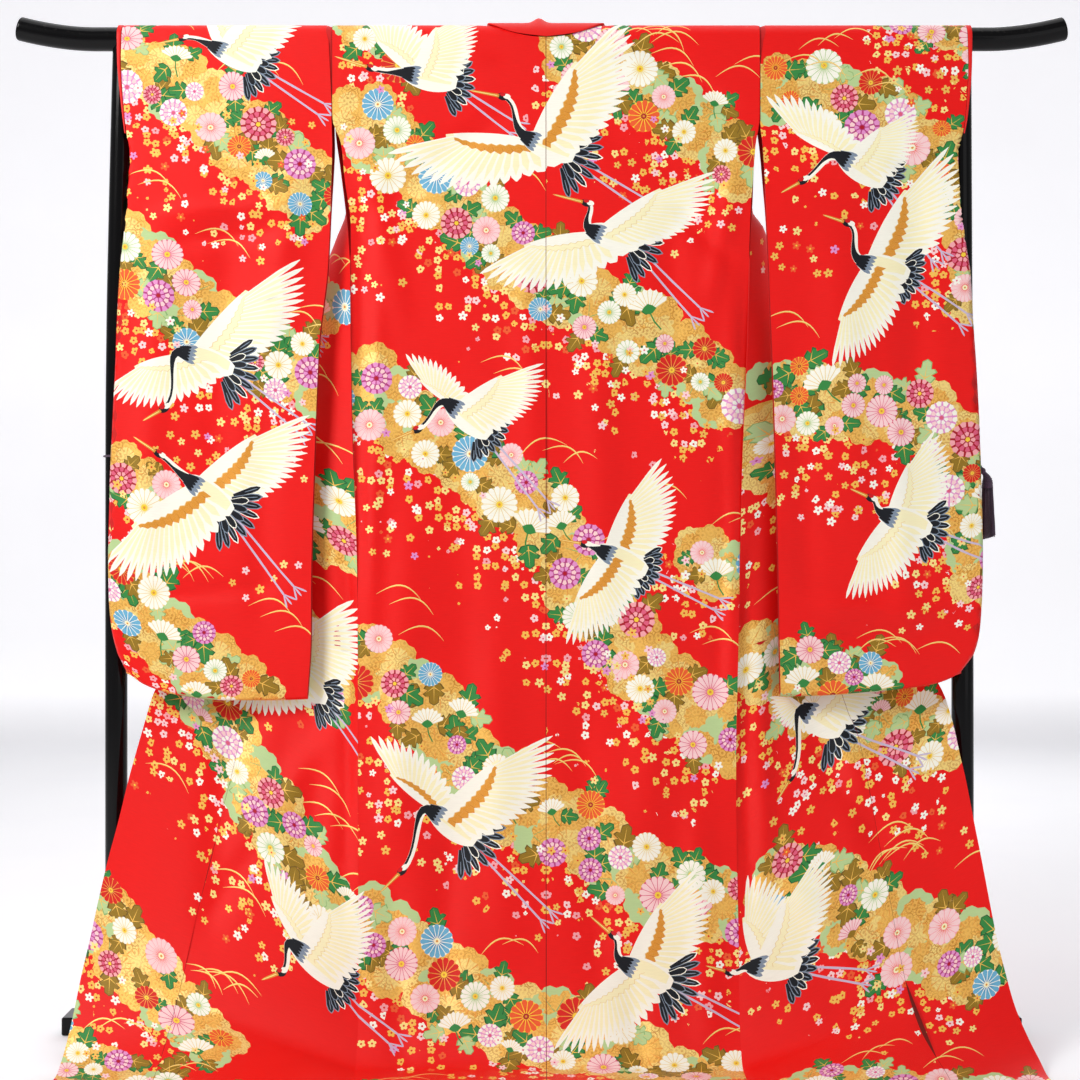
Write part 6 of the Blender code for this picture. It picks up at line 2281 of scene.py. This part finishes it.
@dataclass(frozen=True)
class ClothFinish:
    """How a cloth is woven and dyed: linear colour, thread pitches, unevenness, roughness and sheen."""

    name: str
    colour: tuple[float, float, float]
    warp: float
    weft: float
    slub: float
    roughness: float
    sheen: float
    relief: float
    picture: bool = False

    def material(self, weave: bpy.types.NodeTree) -> bpy.types.Material:
        """Return the cloth's material."""
        made, nodes, shader = new_material(self.name)
        woven = nodes.add("Group", node_tree=weave)
        nodes.feed(woven, {"Warp Pitch": self.warp, "Weft Pitch": self.weft, "Slub": self.slub})
        colour: object = opaque(self.colour)
        rough: object = self.roughness
        if self.picture:
            threads = nodes.add("Attribute", attribute_name="pattern")
            gold = threads.outputs["Alpha"]
            # Painted glints: fine noise lightens the gold threads towards pale gold in small flecks, standing in for
            # their highlights.
            painted_glints = nodes.times(nodes.ramp(nodes.noise(nodes.flat(), 1400.0, 1.0), 0.52, 0.70, 0.0, 0.45), gold)
            colour = nodes.mix(painted_glints, threads.outputs["Color"], (1.0, 0.90, 0.52, 1.0))
            colour = strewn_blossoms(nodes, gold_figures(nodes, gold, colour))
            rough = nodes.plus(nodes.times(gold, -0.14), self.roughness)
            nodes.feed(shader, {"Metallic": nodes.times(gold, 0.35)})
        tone = nodes.add("CombineColor", dict.fromkeys(range(3), woven.outputs["Tone"]))
        nodes.feed(shader, {
            "Base Color": nodes.mix(1.0, colour, tone.outputs[0], "MULTIPLY"), "Roughness": rough,
            "Sheen Weight": self.sheen, "Sheen Roughness": 0.4, "Sheen Tint": (1.0, 0.55, 0.5, 1.0),
            "Specular IOR Level": 0.25})
        nodes.relief(shader, woven.outputs["Height"], self.relief, 0.6)
        return made


@dataclass(frozen=True)
class HardFinish:
    """A lacquer: linear colour, roughness and how much it varies, and its clear coat."""

    name: str
    colour: tuple[float, float, float]
    roughness: float
    spread: float
    coat: float

    def material(self, haze: bpy.types.NodeTree) -> bpy.types.Material:
        """Return the lacquer's material."""
        made, nodes, shader = new_material(self.name)
        surface = nodes.add("Group", {"Base Roughness": self.roughness, "Spread": self.spread}, node_tree=haze)
        dusty = nodes.times(surface.outputs["Dust"], 0.10)
        nodes.feed(shader, {
            "Base Color": nodes.mix(dusty, opaque(self.colour), (0.35, 0.32, 0.28, 1.0)),
            "Roughness": surface.outputs["Roughness"], "Specular IOR Level": 0.14, "Coat Weight": self.coat,
            "Coat Roughness": 0.05})
        nodes.relief(shader, surface.outputs["Height"], 0.0004, 0.25)
        return made


BROCADE = ClothFinish("brocade_weave", (0.80, 0.010, 0.008), 0.0009, 0.0006, 0.16, 0.46, 0.02, 0.00016,
                      picture=True)
LINING = ClothFinish("lining_weave", (0.62, 0.012, 0.012), 0.0007, 0.0007, 0.14, 0.62, 0.10, 0.00012)
SATIN = ClothFinish("satin_weave", (0.80, 0.012, 0.010), 0.0005, 0.0012, 0.10, 0.42, 0.06, 0.00010)
LACQUER = HardFinish("black_lacquer", (0.0018, 0.0016, 0.0018), 0.14, 0.10, 0.10)


@dataclass(frozen=True)
class CordFinish:
    """Dull silk of a cord or tassel: its dark purple dye and a lighter purple painted as sheen where the strands stand
    highest, the strands' pitch and lean, and roughness.
    """

    name: str
    dark: tuple[float, float, float]
    light: tuple[float, float, float]
    pitch: float
    lean: float
    roughness: float = 0.62

    def material(self) -> bpy.types.Material:
        """Return the silk's material: slanted strands on the piece's UV map raise it, and where they stand highest
        they are painted a lighter purple as their sheen.
        """
        made, nodes, shader = new_material(self.name)
        flat = nodes.flat()
        place = nodes.add("SeparateXYZ", {0: flat})
        slanted = nodes.plus(place.outputs[0], nodes.times(place.outputs[1], self.lean))
        wave = nodes.maths("SINE", nodes.times(slanted, math.tau / self.pitch))
        # Painted sheen: the lighter purple goes where the strands' relief is highest, made uneven by noise.
        share = nodes.times(nodes.plus(nodes.times(wave, 0.5), 0.5), nodes.noise(flat, 900.0, 2.0))
        nodes.feed(shader, {"Base Color": nodes.mix(share, opaque(self.dark), opaque(self.light)),
                            "Roughness": self.roughness, "Sheen Weight": 0.3})
        nodes.relief(shader, share, 0.0004, 0.7)
        return made


SILK_CORD = CordFinish("purple_cord_silk", (0.030, 0.010, 0.032), (0.16, 0.07, 0.15), 0.0016, 1.1)
SILK_STRANDS = CordFinish("purple_strand_silk", (0.034, 0.013, 0.034), (0.15, 0.07, 0.13), 0.0009, 0.0)


BAR_HALF = 0.8190
BAR_STRAIGHT = 0.700
BAR_RISE = 0.0170
POST_RADIUS = 0.0172
FOOT_HEIGHT = 0.0280
FOOT_DEPTH = 0.0650
FOOT_OUT = 0.7450
FOOT_IN = 0.5900
FOOT_FRONT = -0.1380
FOOT_BACK = 0.2000
POST_LINES = {
    # z, distance from the stand's middle
    Side.LEFT: ((0.0283, 0.6667), (0.700, 0.6667), (0.950, 0.6664), (1.100, 0.6650), (1.300, 0.6610),
                (1.540, 0.6550)),
    Side.RIGHT: ((0.0283, 0.6600), (0.800, 0.6590), (1.540, 0.6560)),
}
CORD_RADIUS = 0.0016
CORD_HEIGHT = {Side.LEFT: 0.900, Side.RIGHT: 0.888}
TASSEL_X = 0.6985
TASSEL_TOP = 0.8700
TASSEL_HEAD = 0.0200
TASSEL_LENGTH = 0.0960
TASSEL_CORD = (
    # place, x, z, radius, slope downwards in degrees
    (0, 0.6795, 0.8880, 0.0018, 0),
    (1, 0.6835, 0.8877, 0.0018, 10),
    (2, 0.6866, 0.8862, 0.0019, 40),
    (3, 0.6886, 0.8826, 0.0022, 65),
    (4, 0.6903, 0.8795, 0.0042, 60),
    (5, 0.6917, 0.8766, 0.0047, 57),
    (6, 0.6935, 0.8735, 0.0036, 52),
    (7, 0.6956, 0.8707, 0.0046, 62),
    (8, 0.6973, 0.8670, 0.0062, 74),
    (9, 0.6983, 0.8625, 0.0078, 84),
    (10, TASSEL_X, 0.8575, 0.0085, 90),
    (11, TASSEL_X, TASSEL_TOP - TASSEL_HEAD, 0.0090, 90),
)


def circles(centres: np.ndarray, across: Sequence, up: Sequence, radius: float | np.ndarray,
            sides: int) -> np.ndarray:
    """Return circles round centres: centre + radius x (cosine x across + sine x up).

    Args:
        centres: n x 3.
        across: a unit direction, for all or for each centre.
        up: another one, square to it.
        radius: n radii, or one for all.
        sides: how many points a circle has.
    """
    angles = np.linspace(0.0, math.tau, sides, endpoint=False)[None, :, None]
    across, up = (np.broadcast_to(way, centres.shape)[:, None] for way in (across, up))
    rim = np.cos(angles) * across + np.sin(angles) * up
    return centres[:, None] + np.broadcast_to(radius, len(centres))[:, None, None] * rim


@dataclass
class Stand:
    """The lacquered stand: a crossbar with upswept ends on two posts, each on a cross-shaped foot."""

    lacquer: bpy.types.Material

    def build(self) -> None:
        """Make the stand's pieces."""
        self.crossbar()
        for side in Side:
            self.post(side)
            self.foot(side)

    def crossbar(self) -> None:
        """Make the bar: its axis rises as the 1.8th power of the way past its straight part."""
        tip = np.linspace(0.0, math.pi / 2, 9)
        right = np.concatenate((np.linspace(0.0, 0.70, 15), np.linspace(0.708, 0.8140, 22),
                                0.8150 + 0.0040 * np.sin(tip)))
        scale = np.concatenate((np.ones(37), 0.84 + 0.16 * np.cos(tip)))
        x = np.concatenate((-right[:0:-1], right))
        scale = np.concatenate((scale[:0:-1], scale))
        past = np.maximum(np.abs(x) - BAR_STRAIGHT, 0.0) / (BAR_HALF - BAR_STRAIGHT)
        z = BAR_Z + BAR_RISE * past ** 1.8
        lean = np.sign(x) * BAR_RISE * 1.8 * past ** 0.8 / (BAR_HALF - BAR_STRAIGHT)
        along = unit(columns(1.0, 0.0, lean))
        up = columns(-along[:, 2], 0.0, along[:, 0])
        sections = circles(columns(x, Y_SHIFT, z), (0.0, 1.0, 0.0), up, BAR_RADIUS * scale, 72)
        made = loft_object("lacquer_crossbar", sections, (self.lacquer,))
        finish_piece(made, "crossbar")

    def post(self, side: Side) -> None:
        """Make a round post whose top is cut to the crossbar: its last circle follows the bar's underside."""
        table = POST_LINES[side]
        z = np.concatenate((np.linspace(table[0][0], 1.500, 40), [BAR_Z]))
        x = side.value * curve(table, np.minimum(z, table[-1][0]))[:, 0]
        sections = circles(columns(x, Y_SHIFT, z), (1.0, 0.0, 0.0), (0.0, 1.0, 0.0), POST_RADIUS, 56)
        reach = BAR_RADIUS + GAP + 0.0001
        off = sections[-1, :, 1] - Y_SHIFT
        sections[-1, :, 2] = BAR_Z - np.sqrt(np.maximum(reach ** 2 - off ** 2, 0.0))
        made = loft_object("lacquer_post_" + side.word, sections, (self.lacquer,), sharp=40.0)
        finish_piece(made, "post_" + side.word)

    def foot(self, side: Side) -> None:
        """Make a cross-shaped foot: the outline is lofted upwards, inset along a quarter circle at its top."""
        post_x = POST_LINES[side][0][1]
        half = FOOT_DEPTH / 2
        outline = np.array([
            (FOOT_OUT, -half), (FOOT_OUT, half), (post_x + half, half), (post_x + half, FOOT_BACK),
            (post_x - half, FOOT_BACK), (post_x - half, half), (FOOT_IN, half), (FOOT_IN, -half),
            (post_x - half, -half), (post_x - half, FOOT_FRONT), (post_x + half, FOOT_FRONT), (post_x + half, -half),
        ])
        mesh = bpy.data.meshes.new("lacquer_foot_" + side.word)
        count = len(outline)
        points = np.concatenate([columns(side.value * outline[:, 0], outline[:, 1] + Y_SHIFT, height)
                                 for height in (0.0, FOOT_HEIGHT)])
        step = np.arange(count)
        after = np.roll(step, -1)
        faces = columns(step, after, count + after, count + step).tolist()
        faces += [step[::-1].tolist(), (count + step).tolist()]
        if side is Side.LEFT:
            faces = [face[::-1] for face in faces]
        mesh.from_pydata(points.tolist(), [], faces)
        mesh.materials.append(self.lacquer)
        made = in_scene(mesh)
        bevel = made.modifiers.new("edges", "BEVEL")
        bevel.width = 0.0026
        bevel.segments = 4
        bevel.limit_method = "ANGLE"
        bevel.harden_normals = True
        mesh.shade_smooth()
        finish_piece(made, "foot_" + side.word)


@dataclass
class Cords:
    """The purple cords tied round the posts, and the tassel that hangs from the right one."""

    cord: bpy.types.Material
    strands: bpy.types.Material

    def build(self) -> None:
        """Make both cords and the tassel."""
        for side in Side:
            self.ring(side)
        self.tassel()

    def ring(self, side: Side) -> None:
        """Make a cord round a post: a circle carried round the post's axis."""
        height = CORD_HEIGHT[side]
        x = side.value * float(curve(POST_LINES[side], [height])[0, 0])
        turn = np.linspace(0.0, math.tau, 72, endpoint=False)
        out = columns(np.cos(turn), np.sin(turn), 0.0)
        centres = np.array((x, Y_SHIFT, height)) + (POST_RADIUS + GAP + CORD_RADIUS) * out
        sections = circles(centres, out, (0.0, 0.0, 1.0), CORD_RADIUS, 12)
        made = loft_object("cord_round_post_" + side.word, sections, (self.cord,), closed=True)
        finish_piece(made, "cord_ring_" + side.word)

    def tassel(self) -> None:
        """Make the tassel: a knotted cord that swells into a bound head, and a skirt of cut strands."""
        thread = np.linspace(0.0, 11.0, 89)
        x, z, radius, slope = curve(TASSEL_CORD, thread).T
        across = columns(np.sin(np.radians(slope)), 0.0, np.cos(np.radians(slope)))
        bound = (thread > 6.2) & (thread < 10.6)
        radius = np.where(bound, radius * (1 + 0.035 * np.sin(thread * 9.0)), radius)
        sections = circles(columns(x, Y_SHIFT, z), across, (0.0, 1.0, 0.0), radius, 28)
        for piece in (loft_object("tassel_head", sections, (self.cord,), sharp=80.0), self.skirt()):
            finish_piece(piece, "tassel_right")

    def skirt(self) -> bpy.types.Object:
        """Return the strands: each a thin three-sided tube that leaves the head and spreads a little as it falls.

        A strand's place in the head is a sunflower's: its angle grows by the golden angle and its distance with the
        square root of its number. Its fall bends outwards as the square of the way down.
        """
        count, steps = 220, 7
        number = np.arange(count)
        share = np.sqrt((number + 0.5) / count)
        angle = number * math.pi * (3 - math.sqrt(5))
        uneven = np.random.default_rng(41)
        root_x, root_y = 0.0078 * share * np.cos(angle), 0.0078 * share * np.sin(angle)
        way = np.linspace(0.0, 1.0, steps)[:, None]
        low = TASSEL_TOP - TASSEL_LENGTH + 0.35 * root_x + uneven.uniform(-0.003, 0.004, count)
        top = TASSEL_TOP - TASSEL_HEAD + 0.003
        spread = 1 + 0.42 * share * way ** 1.5 + 0.10 * np.sin(way * math.pi)
        sway = 0.0008 * np.sin(way * 5 + uneven.uniform(0, math.tau, count)) * way
        x = TASSEL_X + root_x * spread + sway + 0.001 * way
        y = Y_SHIFT + root_y * spread + 0.0006 * np.cos(way * 4 + angle) * way
        z = top + (low - top) * way
        turn = np.linspace(0.0, math.tau, 3, endpoint=False)
        width = 0.00075 * (1 - 0.15 * way)
        ring_x = x[:, :, None] + width[:, :, None] * np.cos(turn + angle[:, None])[None]
        ring_y = y[:, :, None] + width[:, :, None] * np.sin(turn + angle[:, None])[None]
        points = columns(ring_x, ring_y, z[:, :, None]).transpose(1, 0, 2, 3)
        index = np.arange(count * steps * 3).reshape(count, steps, 3)
        upper, lower = index[:, :-1], index[:, 1:]
        quads = columns(lower, np.roll(lower, -1, axis=2), np.roll(upper, -1, axis=2), upper)
        faces = quads.reshape(-1, 4).tolist() + index[:, 0].tolist() + index[:, -1, ::-1].tolist()
        mesh = bpy.data.meshes.new("tassel_strands")
        mesh.from_pydata(points.reshape(-1, 3).tolist(), [], faces)
        mesh.materials.append(self.strands)
        corners = np.empty(len(mesh.loops), dtype=np.int32)
        mesh.loops.foreach_get("vertex_index", corners)
        number_at, level = corners // (steps * 3), (corners // 3) % steps
        map_cloth(mesh, columns(number_at * 0.0013 + (corners % 3) * 0.0003, level * 0.012))
        mesh.update()
        if signed_volume(mesh) < 0:
            mesh.flip_normals()
        mesh.shade_smooth()
        return in_scene(mesh)


@dataclass
class Studio:
    """The pale room, its soft lights and the camera."""

    def build(self) -> None:
        """Make the room, the lights and the camera."""
        self.room()
        self.lights()
        self.camera()

    @staticmethod
    def room() -> None:
        """Make one sheet that is the floor, a wide quarter circle and the wall behind."""
        turn = np.linspace(0.0, math.pi / 2, 17)
        far, bend = 4.2, 1.6
        y = np.concatenate(([-9.0, 0.0], far + bend * np.sin(turn), [far + bend]))
        z = np.concatenate(([0.0, 0.0], bend - bend * np.cos(turn), [7.0])) - 0.0006
        x = np.linspace(-9.0, 9.0, 7)
        points = columns(x, y[:, None], z[:, None])
        index = np.arange(len(y) * 7).reshape(len(y), 7)
        quads = columns(index[:-1, :-1], index[:-1, 1:], index[1:, 1:], index[1:, :-1]).reshape(-1, 4)
        mesh = bpy.data.meshes.new("studio_floor")
        mesh.from_pydata(points.reshape(-1, 3).tolist(), [], quads.tolist())
        made, nodes, shader = new_material("studio_paper")
        place = nodes.add("TexCoord").outputs["Object"]
        colour = nodes.mix(nodes.noise(place, 3.0, 3.0), (0.86, 0.86, 0.88, 1.0), (0.90, 0.90, 0.92, 1.0))
        height = nodes.add("SeparateXYZ", {0: place}).outputs[2]
        nodes.feed(shader, {"Base Color": colour, "Emission Color": colour, "Roughness": 0.7,
                            "Emission Strength": nodes.ramp(height, -0.01, 0.15, 0.10, 0.47)})
        made.cycles.emission_sampling = "NONE"
        mesh.materials.append(made)
        mesh.shade_smooth()
        in_scene(mesh)

    @staticmethod
    def lights() -> None:
        """Hang four soft lights and set the room's own light."""
        table = (
            # name, place, aim, size, power, colour
            ("key_light", (-2.5, -2.2, 2.9), (0.0, 0.1, 0.8), 1.5, 98.0, (1.0, 0.99, 0.96)),
            ("fill_light", (2.6, -3.2, 1.4), (0.0, 0.1, 0.8), 2.4, 13.0, (0.98, 0.98, 1.0)),
            ("top_light", (0.0, 0.6, 4.2), (0.0, 0.2, 0.0), 3.2, 42.0, (1.0, 1.0, 1.0)),
            ("back_light", (0.6, 3.6, 2.6), (0.0, 0.2, 0.9), 2.4, 42.0, (1.0, 1.0, 1.0)),
        )
        for name, place, aim, size, power, colour in table:
            data = bpy.data.lights.new(name, "AREA")
            data.shape = "SQUARE"
            data.size = size
            data.energy = power
            data.color = colour
            lamp = bpy.data.objects.new(name, data)
            lamp.location = place
            lamp.rotation_euler = (Vector(aim) - Vector(place)).to_track_quat("-Z", "Y").to_euler()
            bpy.context.scene.collection.objects.link(lamp)
        world = bpy.data.worlds.new("studio_world")
        world.use_nodes = True
        ground = world.node_tree.nodes["Background"]
        ground.inputs["Color"].default_value = (0.93, 0.93, 0.97, 1.0)
        ground.inputs["Strength"].default_value = 0.36
        bpy.context.scene.world = world
        bpy.context.scene.view_settings.view_transform = "Standard"

    @staticmethod
    def camera() -> None:
        """Set the camera square to the garment's back."""
        data = bpy.data.cameras.new("camera")
        data.lens = 63.8
        data.sensor_width = 36.0
        camera = bpy.data.objects.new("camera", data)
        camera.location = (-0.0027, Y_SHIFT - 3.0, 0.769)
        camera.rotation_euler = (math.pi / 2, 0.0, 0.0)
        bpy.context.scene.collection.objects.link(camera)
        bpy.context.scene.camera = camera


def main() -> None:
    """Load the frame and build the studio, the stand, the garment and the cords."""
    logging.basicConfig(level=logging.INFO, format="%(name)s: %(message)s")
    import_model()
    Studio().build()
    weave, haze = weave_group(), wear_group()
    Stand(LACQUER.material(haze)).build()
    Garment(BROCADE.material(weave), LINING.material(weave), SATIN.material(weave)).build()
    Cords(SILK_CORD.material(), SILK_STRANDS.material()).build()


if __name__ == "__main__":
    main()
